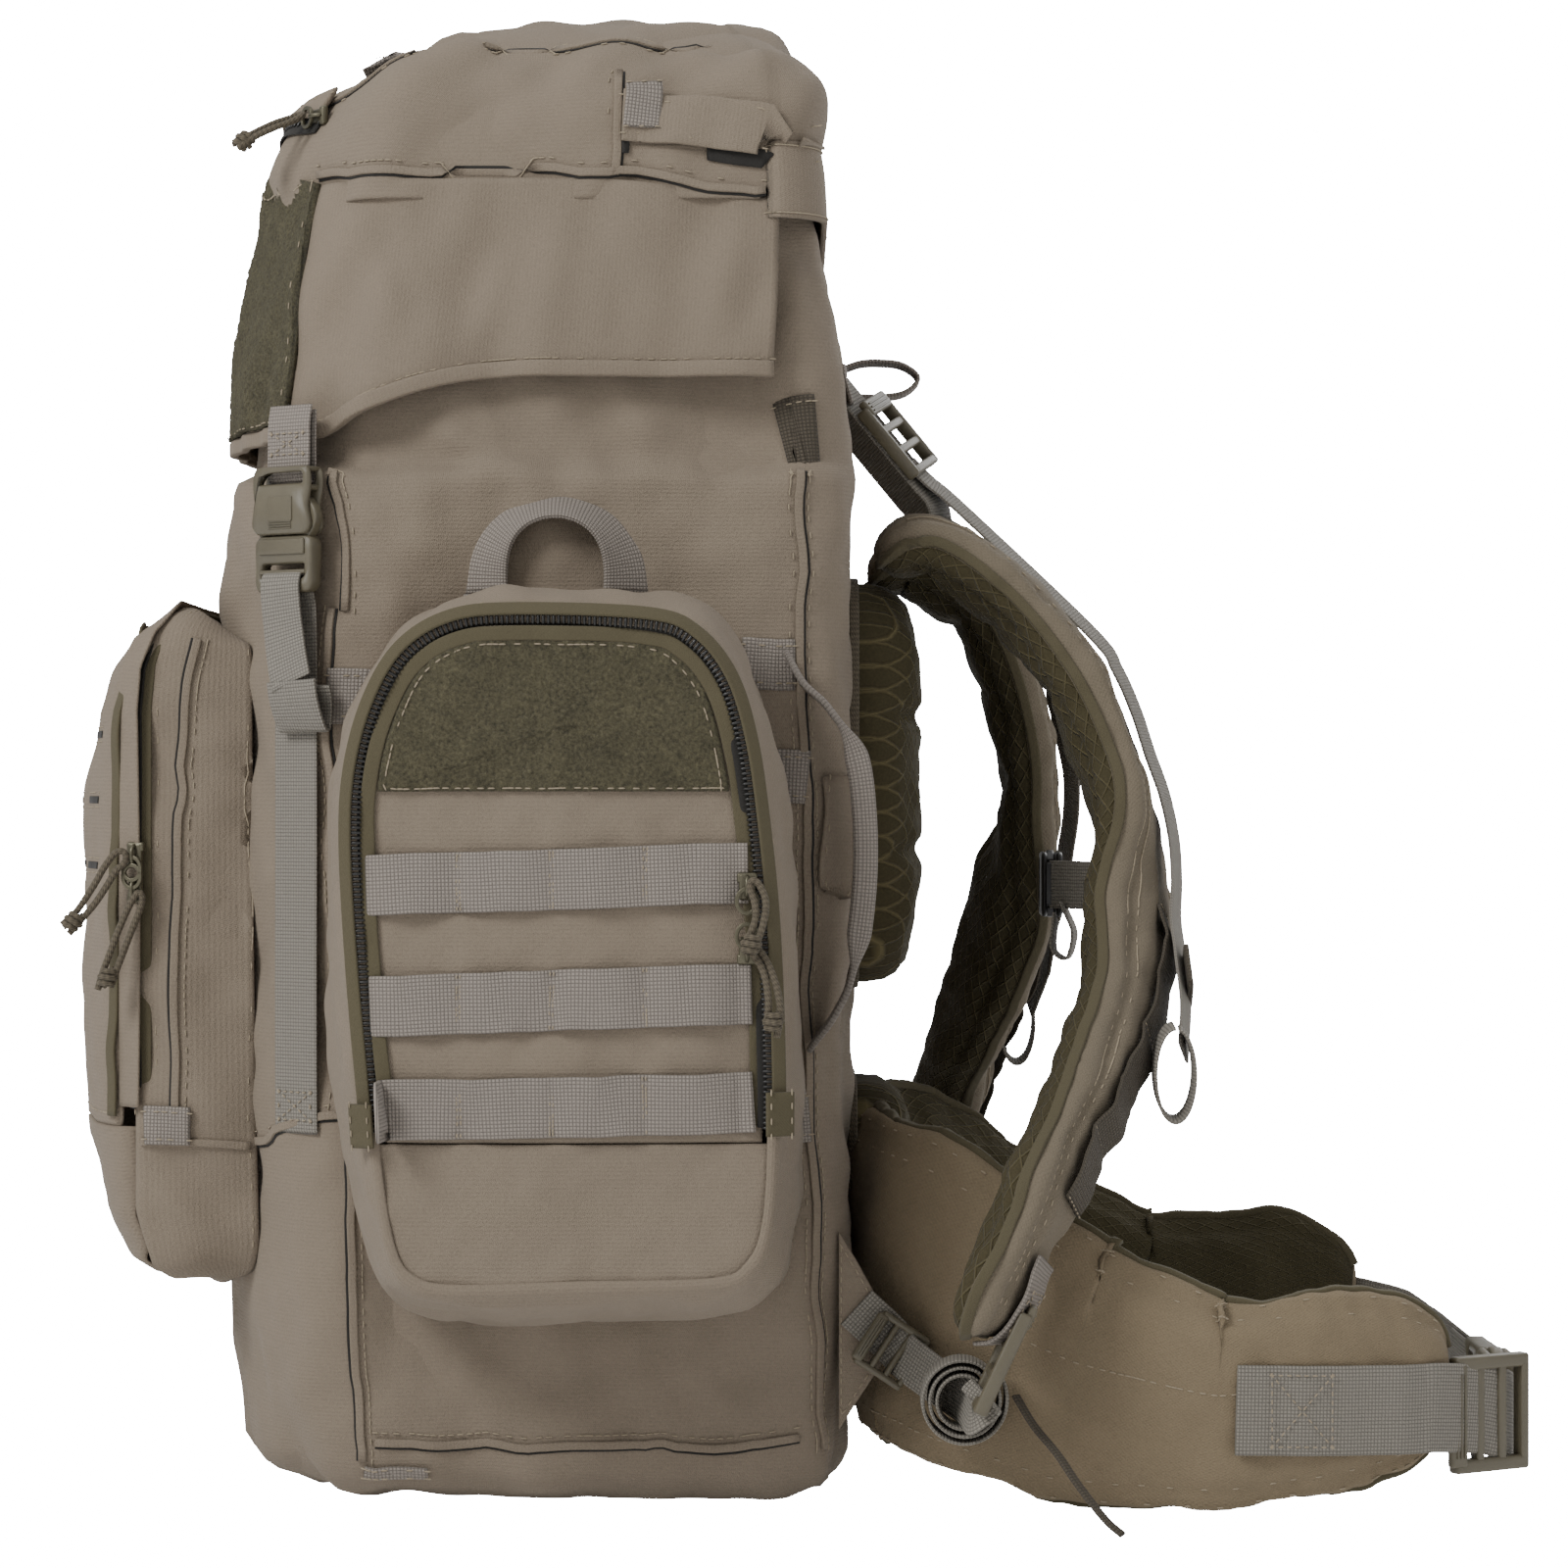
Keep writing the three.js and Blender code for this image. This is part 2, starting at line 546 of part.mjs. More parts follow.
/** Load lifter: webbing from the bag's top to the strap, its ladder-lock, and the free tail down the strap. */
function buildLoadLifter(side, s) {
  const path = [at(145, s * 75, 480), at(164, s * 75, 457), at(183, s * 75, 434)];
  const curve = new THREE.CatmullRomCurve3(path);
  const web = band({ path, width: WEBBING.standard, thickness: WEBBING.thickness, steps: 4 });
  piece(pack, `lifter_web_${side}`, web, WEB);
  const frame = outwardFrame(curve, 0.45);
  const centre = frame.point.clone().addScaledVector(frame.out, LOCK.thickness / 2 + 2);
  piece(pack, `lifter_lock_${side}`, ladderLock(frame, centre, 38), PLASTIC);
  const strap = new THREE.CatmullRomCurve3(STRAP_PATHS[side], false, 'centripetal');
  const tail = [];
  for (let i = 0; i <= 9; i++) {
    const place = outwardFrame(strap, 0.19 + 0.04 * i);
    tail.push(place.point.addScaledVector(place.out, PAD.strapThickness / 2 + 5 + 0.3 * i));
  }
  const tailWeb = band({ path: tail, width: WEBBING.narrow, thickness: WEBBING.thickness, steps: 20 });
  piece(pack, `lifter_tail_${side}`, tailWeb, WEB);
}

// ---------------------------------------------------------------- chest strap
const CHEST = { x: 238, z: 262, width: 22 };

function buildChestStrap() {
  const { x, z, width } = CHEST;
  const wide = { across: Z_AXIS, width, thickness: WEBBING.thickness, steps: 8 };
  const right = [at(262, -60, z), at(253, -44, z), at(243, -30, z), at(x, -25.5, z)];
  const left = [at(x, 25, z), at(243, 45, z), at(246, 62, z), at(246.5, 74, z)];
  const socket = solid(box([x - 5, x + 5], [-24, 0], [z - 15, z + 15]))
    .subtract(solid(box([x - 3, x + 3], [-16, 5], [z - 9, z + 9])));
  const plug = solid(box([x - 4, x + 4], [1.5, 24], [z - 14, z + 14]))
    .add(solid(box([x - 1.5, x + 1.5], [-14, 3], [z - 7, z + 7])));
  piece(pack, 'sternum_web_r', band({ ...wide, path: right }), WEB);
  piece(pack, 'sternum_female', geometryOf(socket), PLASTIC);
  piece(pack, 'sternum_male', geometryOf(plug), PLASTIC);
  piece(pack, 'sternum_web_l', band({ ...wide, path: left }), WEB);
}

// ---------------------------------------------------------------- hip belt
const finPath = (s) => [
  at(158, s * 56, 95), at(160, s * 96, 95), at(172, s * 130, 93), at(205, s * 156, 82), at(260, s * 175, 60),
  at(320, s * 176, 49), at(370, s * 163, 46), at(398, s * 150, 46),
];
const finHeight = (t) => THREE.MathUtils.lerp(142, 84, ease(t, 0.12, 0.85)) - 30 * ease(t, 0.9, 1);
const WAIST = { x: 432, z: 33 };

/** One belt fin and the webbing sewn along its outer face, up to its buckle half. */
function buildHipFin(side, s) {
  const path = finPath(s);
  const fin = band({ path, across: Z_AXIS, width: finHeight, thickness: PAD.finThickness, chamfer: 8, steps: 22 });
  piece(pack, `hip_fin_${side}`, fin, FABRIC);
  const curve = new THREE.CatmullRomCurve3(path, false, 'centripetal');
  const webPath = [];
  for (const t of [0.78, 0.86, 0.93, 1]) {
    const { point, out } = frameOn(curve, t, Z_AXIS);
    if (out.y * s < 0) out.negate();
    webPath.push(point.addScaledVector(out, PAD.finThickness / 2 + 2).setZ(45));
  }
  webPath.push(at(419, s * 153, 41), at(429, s * 138, 36), at(WAIST.x, s * 123, WAIST.z));
  if (side === 'l') webPath.push(at(WAIST.x, 60, WAIST.z), at(WAIST.x, -17, WAIST.z));
  const web = { across: Z_AXIS, width: WEBBING.wide, thickness: WEBBING.thickness + 0.6, steps: 18 };
  piece(pack, `belt_web_${side}`, band({ ...web, path: webPath }), WEB);
}

/** Waist buckle: the socket hangs on the right webbing, the plug on the left. */
function buildWaistBuckle() {
  const { x, z } = WAIST;
  const socket = solid(box([x - 7, x + 7], [-119, -68], [z - 23, z + 23]))
    .subtract(solid(box([x - 4.5, x + 4.5], [-100, -60], [z - 16, z + 16])));
  const plug = solid(box([x - 6, x + 6], [-66, -19], [z - 22, z + 22]))
    .add(solid(box([x - 2, x + 2], [-96, -60], [z - 13, z + 13])));
  piece(pack, 'waist_female', geometryOf(socket), PLASTIC);
  piece(pack, 'waist_male', geometryOf(plug), PLASTIC);
}

// ---------------------------------------------------------------- grab handles
/** Grab handle on the bag's rear side edge, used to lift the pack sideways. */
function buildCarryHandle(side, s) {
  const path = [[121, 352], [140, 336], [149, 300], [150, 262], [145, 226], [132, 204]];
  const handle = band({
    path: path.map(([x, z]) => at(x, s * 172, z)),
    width: WEBBING.narrow,
    thickness: 4,
    steps: 18,
  });
  piece(pack, `carry_handle_${side}`, handle, WEB);
}

function haulLoop() {
  const path = [[143.4, 498], [158, 504], [172, 502], [178, 495], [172, 488], [158, 486], [143.4, 487]];
  return band({ path: path.map(([x, z]) => at(x, 0, z)), width: WEBBING.standard, thickness: 2, steps: 20 });
}

// ---------------------------------------------------------------- assembly
piece(pack, 'main_bag', mainBag(), FABRIC);
buildFrame();
buildFrontPocket();
buildLid();
buildSliders();
buildBackPads();
buildChestStrap();
buildWaistBuckle();
piece(pack, 'haul_loop', haulLoop(), WEB);
for (const [side, s] of SIDES) {
  buildSidePocket(side, s);
  buildArchHandle(side, s);
  buildLidFastening(side, s);
  buildShoulderStrap(side, s);
  buildLoadLifter(side, s);
  buildHipFin(side, s);
  buildCarryHandle(side, s);
}
for (const [name, route] of Object.entries(PULL_ROUTES)) piece(pack, name, cord(route), CORD_MATERIAL);

export default pack;
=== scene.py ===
import math

import bpy
import numpy as np
from bpy.props import FloatProperty, FloatVectorProperty, PointerProperty
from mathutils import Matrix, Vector
from mathutils.bvhtree import BVHTree


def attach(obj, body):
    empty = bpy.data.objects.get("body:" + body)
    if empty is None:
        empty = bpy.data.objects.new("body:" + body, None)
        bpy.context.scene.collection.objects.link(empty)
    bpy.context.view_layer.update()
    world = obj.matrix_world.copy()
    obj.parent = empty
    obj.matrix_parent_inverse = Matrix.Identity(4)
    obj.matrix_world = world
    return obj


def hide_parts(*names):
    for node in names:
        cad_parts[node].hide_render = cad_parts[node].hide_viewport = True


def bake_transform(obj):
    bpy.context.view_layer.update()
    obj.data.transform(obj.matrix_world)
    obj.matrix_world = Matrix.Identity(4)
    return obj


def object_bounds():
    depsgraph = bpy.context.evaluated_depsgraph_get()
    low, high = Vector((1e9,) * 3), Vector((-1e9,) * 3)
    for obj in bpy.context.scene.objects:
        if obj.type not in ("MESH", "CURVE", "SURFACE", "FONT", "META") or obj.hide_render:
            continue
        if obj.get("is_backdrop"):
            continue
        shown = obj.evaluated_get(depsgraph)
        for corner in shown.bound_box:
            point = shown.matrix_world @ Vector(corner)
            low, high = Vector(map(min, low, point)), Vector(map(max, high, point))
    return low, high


bl_info = {
    "name": "Hunting backpack",
    "version": (1, 0, 0),
    "blender": (4, 5, 0),
    "location": "View3D > Sidebar > Backpack",
    "description": "Builds the sewn shell, pockets, harness and hardware of a hunting backpack",
    "category": "Add Mesh",
}

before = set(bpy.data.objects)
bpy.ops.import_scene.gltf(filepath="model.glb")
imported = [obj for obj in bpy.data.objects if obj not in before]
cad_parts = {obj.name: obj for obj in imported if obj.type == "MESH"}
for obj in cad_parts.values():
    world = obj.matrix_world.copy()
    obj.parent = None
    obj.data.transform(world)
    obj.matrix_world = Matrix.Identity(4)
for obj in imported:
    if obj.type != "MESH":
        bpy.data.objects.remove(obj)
CAD_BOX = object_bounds()
SIDES = (("r", -1), ("l", 1))
MM = 0.001

# Plan of the bag and of its lid at rising heights: (height, front, rear, half width, front bulge,
# corner), mm.
BAG_PLANS = [
    (0, -112, 132, 140, 74, 22),
    (8, -126, 138, 153, 74, 22),
    (26, -134, 141, 158, 74, 22),
    (110, -138, 142, 160, 74, 22),
    (300, -141, 142, 160, 74, 22),
    (430, -139, 142, 159.5, 74, 22),
    (450, -127, 141, 152, 74, 22),
    (520, -124, 137, 148, 74, 22),
    (562, -119, 126, 143, 74, 22),
]
LID_PLANS = [
    (484, -133, 130, 161, 78, 24),
    (530, -127, 132, 159, 78, 24),
    (566, -122, 131, 157, 78, 24),
    (583, -119, 129, 155, 78, 24),
    (600, -109, 129, 150.5, 77, 24),
    (614, -98, 126, 143, 74, 24),
    (628, -80, 119, 130, 70, 24),
    (641, -50, 104, 103, 62, 24),
    (647, -30, 86, 78, 48, 22),
    (651, -8, 62, 52, 30, 18),
]
HEM_DIP = 22
# Side pocket outlines in the X-Z plane, mm, from the bottom left round by the right.
POCKET_BASE = [
    (-60, 108), (-48, 91), (-20, 83), (20, 81), (74, 86), (107, 95), (117, 118), (119, 160), (118, 210),
    (117, 260),
    (113, 308), (107, 338), (98, 360), (86, 374), (66, 383), (33, 386), (0, 385), (-24, 381), (-43, 371),
    (-59, 354),
    (-70, 330), (-76, 303), (-76, 262), (-73, 205), (-68, 145),
]
POCKET_FACE = [
    (-47, 112), (-39, 101), (-22, 97), (30, 98), (88, 100), (103, 107), (110, 124), (113, 160), (113, 200),
    (111, 250),
    (107, 292), (102, 326), (94, 352), (80, 370), (60, 378), (5, 380), (-22, 377), (-42, 365), (-55, 344),
    (-63, 316),
    (-65, 284), (-62, 230), (-57, 175), (-53, 140),
]
POCKET_INNER = 160.6
POCKET_OUTER = 235
POCKET_SILL = 160
POCKET_RIM = 7
FRONT_HALF = 120
FRONT_BOTTOM = 90
FRONT_TOP = 383
FRONT_SILL = 158
COLUMNS = 360

# Middle lines of the padded straps from the bag's back to the hip, mm.
STRAP_PATHS = {
    "r": [(157, -75, 404), (171, -75, 414), (190, -75, 411), (220, -77, 387), (246, -80, 352), (263, -87,
        308),
          (268, -97, 266), (263, -118, 222), (246, -156, 182), (226, -197, 144), (211, -211, 116),
          (200, -214, 97), (192, -214, 80)],
    "l": [(157, 75, 404), (171, 75, 413), (188, 75, 407), (209, 77, 390), (226, 82, 355), (235, 90, 308),
          (229, 106, 260), (213, 142, 204), (200, 184, 162), (193, 206, 125), (190, 213, 95), (189, 213,
          80)],
}
FIN_PATH = [(158, 56, 95), (160, 96, 95), (172, 130, 93), (205, 156, 82), (260, 175, 60),
            (320, 176, 49), (370, 163, 46), (398, 150, 46)]

# Routes of the free pull cords, mm: each leaves its slider's eye and both ends hang down to a knot.
CORD_DIAMETER = 0.003
PULL_ROUTES = {
    "front_pull_upper": [
        (-195, -131, 243), (-189, -130, 250), (-184, -129.5, 256), (-180, -129, 262), (-177, -128.5, 267),
        (-174.5, -128.2, 271), (-172, -128, 273), (-170.6, -128, 275.5), (-171.5, -128, 278.5),
        (-174.5, -128.2, 278.5), (-177.5, -128.5, 275.5), (-180.5, -129, 271), (-183.5, -129.5, 265.5),
        (-187.5, -130, 259), (-192, -130.5, 252.5), (-198, -131.5, 247)],
    "front_pull_lower": [
        (-182, -134, 219), (-180, -134, 226), (-177.5, -133.5, 233), (-175, -132.5, 240), (-172.5, -131,
        247),
        (-170, -129.5, 253), (-167.5, -128.6, 258), (-165, -128.4, 261), (-163.5, -128.4, 258.5),
        (-164.3, -128.8, 254), (-166.5, -130, 248), (-169, -131.5, 241), (-171.5, -133, 234),
        (-174, -134, 227), (-176.5, -134.5, 220)],
    "side_pull_upper": [
        (102, -247.4, 237.5), (103.4, -247.5, 242), (105, -247.5, 246), (106.5, -247, 251), (107.5, -246,
        256),
        (107.5, -244.5, 260.5), (106.2, -243.5, 264.5), (104, -243.2, 268), (101.5, -243.2, 268.3),
        (101.5, -243.5, 264.5), (103, -244.5, 260), (103.6, -246, 255), (102.5, -247, 250),
        (100.5, -247.5, 245.5), (98.5, -247.4, 242)],
    "side_pull_lower": [
        (112, -245.5, 205), (113, -246.5, 210), (113.5, -247, 215.5), (113, -247, 221), (111.5, -246, 227),
        (109.5, -244.8, 232.5), (107, -243.8, 237.5), (104.2, -243.2, 241), (102, -243.2, 242.3),
        (102.2, -243.8, 239.2), (105.5, -245, 234), (107.6, -246.2, 228), (108.6, -247, 221),
        (108.6, -247, 215), (107.6, -246.5, 210)],
    "lid_pull": [
        (-122, -128, 584), (-117, -126.5, 588), (-112, -125, 591), (-107, -123.5, 593.5), (-102.5, -121.5,
        595.5),
        (-98.5, -119.5, 597.5), (-95.8, -117.3, 599.5), (-95.4, -114.5, 600.8), (-97.8, -112.8, 600.6),
        (-101.5, -113.6, 599.2), (-105.5, -115.8, 597.5), (-109.5, -118, 595.5), (-114, -120, 593),
        (-119, -121.5, 590), (-124, -122.5, 586.5)],
}
PULL_BODIES = {
    "front_pull_upper": "front_zip_upper",
    "front_pull_lower": "front_zip_lower",
    "side_pull_upper": "side_zip_upper",
    "side_pull_lower": "side_zip_lower",
    "lid_pull": "lid_zip",
}


# ---------------------------------------------------------------- settings
def srgb(red, green, blue):
    """Linear colour of three 0 to 255 display values."""
    values = np.array([red, green, blue]) / 255
    lifted = np.where(values <= 0.04045, values / 12.92, ((values + 0.055) / 1.055) ** 2.4)
    return tuple(float(value) for value in lifted)


def colour(name, description, red, green, blue):
    """A colour setting with its default given as display values."""
    return FloatVectorProperty(
        name=name, description=description, subtype="COLOR", size=3, min=0, max=1, default=srgb(red, green,
        blue)
    )


def length(name, description, metres):
    """A length setting in metres."""
    return FloatProperty(name=name, description=description, default=metres, min=0.0001, unit="LENGTH",
        precision=4)


class BackpackColours(bpy.types.PropertyGroup):
    """Colours of the cloths, webbing and hardware."""

    shell: colour("Shell cloth", "Bag, pockets and lid", 118, 107, 93)
    belt: colour("Belt cloth", "Hip fins", 116, 103, 82)
    strap: colour("Strap cloth", "Shoulder straps", 104, 95, 80)
    webbing: colour("Webbing", "Rows, straps and handles", 130, 122, 114)
    trim: colour("Trim webbing", "Narrow grey straps over the harness", 124, 119, 110)
    loop: colour("Loop pile", "Soft half of the touch fastener", 88, 83, 61)
    mesh: colour("Back mesh", "Spacer mesh against the back", 66, 60, 41)
    plastic: colour("Plastic", "Buckles and locks", 86, 80, 64)
    binding: colour("Binding", "Tape round the zipped edges", 76, 70, 52)
    thread: colour("Thread", "Sewing thread", 142, 130, 111)


class BackpackSizes(bpy.types.PropertyGroup):
    """Sizes of sewn details."""

    stitch: length("Stitch length", "Length of one stitch", 0.0028)
    stitch_gap: length("Stitch pitch", "Distance from one stitch to the next", 0.0042)
    wrinkle: length("Wrinkle depth", "Depth of the soft waves in the shell cloth", 0.0015)
    webbing: length("Webbing width", "Width of the standard webbing", 0.025)
    narrow: length("Narrow webbing width", "Width of the handle and tail webbing", 0.020)
    zip_pitch: length("Zip pitch", "Distance between zip teeth", 0.0021)


def colours():
    """The add-on's colours."""
    return bpy.context.scene.backpack_colours


def sizes():
    """The add-on's sizes."""
    return bpy.context.scene.backpack_sizes


# ---------------------------------------------------------------- curves and noise
def evenly(line, count, closed=False):
    """The same polyline with count stations spread evenly along its length."""
    line = np.asarray(line, float)
    if closed:
        line = np.vstack([line, line[:1]])
    steps = np.linalg.norm(np.diff(line, axis=0), axis=1)
    place = np.concatenate([[0], np.cumsum(steps)])
    wanted = np.linspace(0, place[-1], count, endpoint=not closed)
    return np.stack([np.interp(wanted, place, line[:, axis]) for axis in range(line.shape[1])], axis=1)


def smooth(points, count):
    """Catmull-Rom curve through the points, resampled to count even stations."""
    points = np.asarray(points, float)
    padded = np.vstack([2 * points[0] - points[1], points, 2 * points[-1] - points[-2]])
    t = np.linspace(0, 1, 16, endpoint=False)[:, None]
    a, b, c, d = (padded[i:len(padded) - 3 + i, None] for i in range(4))
    curve = 0.5 * (2 * b + (c - a) * t + (2 * a - 5 * b + 4 * c - d) * t**2 + (3 * b - a - 3 * c + d) * t**3)
    curve = np.vstack([curve.reshape(-1, points.shape[1]), points[-1:]])
    return evenly(curve, count)


def ripple(points, size, seed):
    """Soft bumps about size wide and one high: a sum of cosines along seeded directions."""
    rng = np.random.default_rng(seed)
    waves = rng.normal(size=(20, 3))
    waves *= 2 * math.pi / size * rng.uniform(0.6, 1.4, (20, 1)) / np.linalg.norm(waves, axis=1,
        keepdims=True)
    return np.cos(points @ waves.T + rng.uniform(0, 2 * math.pi, 20)).sum(-1) / math.sqrt(10)


def crease(points, start, end, width):
    """A ridge of unit height along the line from start to end, bell-shaped across and fading at both ends."""
    start, end = np.array(start) * MM, np.array(end) * MM
    line = end - start
    along = np.clip((points - start) @ line / (line @ line), 0, 1)
    gap = np.linalg.norm(points - (start + along[..., None] * line), axis=-1)
    return np.exp(-((gap / (width * MM)) ** 2)) * np.sin(math.pi * along)


def ease(value, start, end):
    """0 before start, 1 after end, and a smooth step between."""
    t = np.clip((value - start) / (end - start), 0, 1)
    return t * t * (3 - 2 * t)


def unit(vectors):
    """Vectors scaled to length one."""
    return vectors / np.maximum(np.linalg.norm(vectors, axis=-1, keepdims=True), 1e-12)


# ---------------------------------------------------------------- surfaces
class Surface:
    """Points, with quads and triangles over them, and a texture place in metres for each face corner."""

    def __init__(self):
        self.points = np.zeros((0, 3))
        self.quads = np.zeros((0, 4), int)
        self.triangles = np.zeros((0, 3), int)
        self.quad_uv = np.zeros((0, 4, 2))
        self.triangle_uv = np.zeros((0, 3, 2))

    def add(self, other):
        """Both surfaces as one."""
        shift = len(self.points)
        self.points = np.vstack([self.points, other.points])
        self.quads = np.vstack([self.quads, other.quads + shift])
        self.triangles = np.vstack([self.triangles, other.triangles + shift])
        self.quad_uv = np.vstack([self.quad_uv, other.quad_uv])
        self.triangle_uv = np.vstack([self.triangle_uv, other.triangle_uv])
        return self

    def volume(self):
        """Signed volume inside the faces: negative when they point inwards."""
        p = self.points
        t = np.vstack([self.quads[:, :3], self.quads[:, [0, 2, 3]], self.triangles])
        return float(np.einsum("ij,ij->", p[t[:, 0]], np.cross(p[t[:, 1]], p[t[:, 2]])))

    def outwards(self):
        """The surface with its faces turned to point outwards."""
        if self.volume() < 0:
            self.quads, self.quad_uv = self.quads[:, ::-1], self.quad_uv[:, ::-1]
            self.triangles, self.triangle_uv = self.triangles[:, ::-1], self.triangle_uv[:, ::-1]
        return self


def together(surfaces):
    """Many surfaces as one."""
    whole = Surface()
    for surface in surfaces:
        whole.add(surface)
    return whole


def skin(rows, round_along=False, planar=None, ends=True):
    """Closed surface over rows of points: row after row along, each row a closed ring, with a fan over both
    ends, or with the last row joined to the first when round_along is set. The texture runs by arc length,
    or by the two axes named in planar."""
    rows = np.asarray(rows, float)
    count, columns = rows.shape[:2]
    surface = Surface()
    surface.points = rows.reshape(-1, 3)
    i = np.arange(count if round_along else count - 1)[:, None]
    j = np.arange(columns)[None, :]
    a = i * columns + j
    b = i * columns + (j + 1) % columns
    c = (i + 1) % count * columns + (j + 1) % columns
    d = (i + 1) % count * columns + j
    surface.quads = np.stack([a, b, c, d], axis=-1).reshape(-1, 4)
    around = np.linalg.norm(np.diff(np.concatenate([rows, rows[:, :1]], axis=1), axis=1), axis=2)
    across = np.concatenate([[0], np.cumsum(around[np.argmax(around.sum(1))])])
    steps = np.linalg.norm(rows - np.roll(rows, -1, axis=0), axis=2).mean(1)
    along = np.concatenate([[0], np.cumsum(steps)])
    if planar is None:
        u0, u1 = across[j] + 0 * i, across[j + 1] + 0 * i
        v0, v1 = along[i] + 0 * j, along[i + 1] + 0 * j
        surface.quad_uv = np.stack(
            [np.stack([u0, v0], -1), np.stack([u1, v0], -1), np.stack([u1, v1], -1), np.stack([u0, v1],
            -1)], axis=2
        ).reshape(-1, 4, 2)
    else:
        surface.quad_uv = surface.points[surface.quads][:, :, list(planar)]
    if ends and not round_along:
        centres = np.stack([rows[0].mean(0), rows[-1].mean(0)])
        surface.points = np.vstack([surface.points, centres])
        ring = np.arange(columns)
        following = (ring + 1) % columns
        first = np.stack([following, ring, np.full(columns, count * columns)], axis=1)
        last_row = (count - 1) * columns
        last = np.stack([ring + last_row, following + last_row, np.full(columns, count * columns + 1)],
            axis=1)
        surface.triangles = np.vstack([first, last])
        flat = (0, 1) if planar is None else planar
        surface.triangle_uv = surface.points[surface.triangles][:, :, list(flat)]
    return surface.outwards()


def row_normals(rows):
    """Unit normals of a grid of closed rows, from the directions along and around it."""
    around = np.roll(rows, -1, axis=1) - np.roll(rows, 1, axis=1)
    along = np.gradient(rows, axis=0)
    return unit(np.cross(around, along))


def frames(path, across):
    """Directions along, across and out of a path, with across kept as near the wanted one as the path
    lets it."""
    along = unit(np.gradient(path, axis=0))
    across = np.broadcast_to(np.asarray(across, float), path.shape)
    across = unit(across - (across * along).sum(1, keepdims=True) * along)
    return along, across, np.cross(along, across)


def flat_section(count=20, roundness=0.28):
    """Section of a strap, one wide and one thick: two long sides joined by rounded edges, in half sizes."""
    angle = np.linspace(0, 2 * math.pi, count, endpoint=False) + math.pi / count
    x = np.sign(np.cos(angle)) * np.abs(np.cos(angle)) ** roundness
    y = np.sign(np.sin(angle)) * np.abs(np.sin(angle)) ** 0.6
    return np.stack([x, y], axis=1) / 2


def swept(path, across, width, thickness, section=None):
    """A section carried along a path, as wide and thick at each station as the two sizes say."""
    section = flat_section() if section is None else section
    _, side, out = frames(path, across)
    width = np.broadcast_to(width, len(path))[:, None, None]
    thickness = np.broadcast_to(thickness, len(path))[:, None, None]
    rows = path[:, None] + section[None, :, :1] * width * side[:, None]
    return rows + section[None, :, 1:] * thickness * out[:, None]


def strap(path, across, width, thickness=0.0016, section=None):
    """A closed flat strap along a path."""
    return skin(swept(path, across, width, thickness, section))


def tube(path, diameter, sides=10, across=(0.13, 0.31, 0.94)):
    """A closed round tube along a path."""
    angle = np.linspace(0, 2 * math.pi, sides, endpoint=False)
    section = np.stack([np.cos(angle), np.sin(angle)], axis=1) / 2
    return skin(swept(path, across, diameter, diameter, section))


def copies(shape, places, along, out):
    """Copies of a small surface at each place, its X along the path and its Z outwards."""
    side = np.cross(out, along)
    basis = np.stack([along, side, out], axis=1)
    count, size = len(places), len(shape.points)
    whole = Surface()
    whole.points = (np.einsum("pk,nkj->npj", shape.points, basis) + places[:, None]).reshape(-1, 3)
    shift = (np.arange(count) * size)[:, None, None]
    whole.quads = (shape.quads[None] + shift).reshape(-1, 4)
    whole.triangles = (shape.triangles[None] + shift).reshape(-1, 3)
    whole.quad_uv = np.tile(shape.quad_uv, (count, 1, 1))
    whole.triangle_uv = np.tile(shape.triangle_uv, (count, 1, 1))
    return whole


def spindle(size_along, size_across, height, sides=5):
    """A small capsule: two rings between two points, longest along X."""
    angle = np.linspace(0, 2 * math.pi, sides, endpoint=False)
    ring = np.stack([0 * angle, np.cos(angle) * size_across / 2, np.sin(angle) * height / 2], axis=1)
    end = np.array([size_along / 2, 0, 0])
    rows = np.stack([ring * 0.45 - end, ring - end * 0.55, ring + end * 0.55, ring * 0.45 + end])
    return skin(rows)


def stitches(path, out, slack=1.0):
    """A row of stitches along a path that lies on cloth, out being the cloth's normals."""
    pitch = sizes().stitch_gap * slack
    total = np.linalg.norm(np.diff(path, axis=0), axis=1).sum()
    count = max(2, int(total / pitch))
    both = evenly(np.hstack([path, out]), count)
    places, normals = both[:, :3], unit(both[:, 3:])
    along = unit(np.gradient(places, axis=0))
    normals = unit(normals - (normals * along).sum(1, keepdims=True) * along)
    return copies(spindle(sizes().stitch * slack, 0.0007, 0.0007), places + normals * 0.0001, along, normals)


def block(low, high, bevel=0.001):
    """A box between two corners with its edges rounded off, in metres."""
    low, high = np.array(low, float), np.array(high, float)
    middle, half = (low + high) / 2, (high - low) / 2
    bevel = min(bevel, float(half.min()) * 0.95)
    angle = np.linspace(0, 2 * math.pi, 24, endpoint=False) + math.pi / 24
    ring = np.stack([np.cos(angle), np.sin(angle)], axis=1)
    corner = np.sign(ring) * (half[:2] - bevel)
    rows = []
    for turn in np.linspace(-math.pi / 2, math.pi / 2, 8):
        flat = corner + ring * bevel * max(math.cos(turn), 0.02)
        lift = math.copysign(half[2] - bevel, turn) + bevel * math.sin(turn)
        rows.append(np.column_stack([flat, np.full(len(flat), lift)]) + middle)
    return skin(rows)


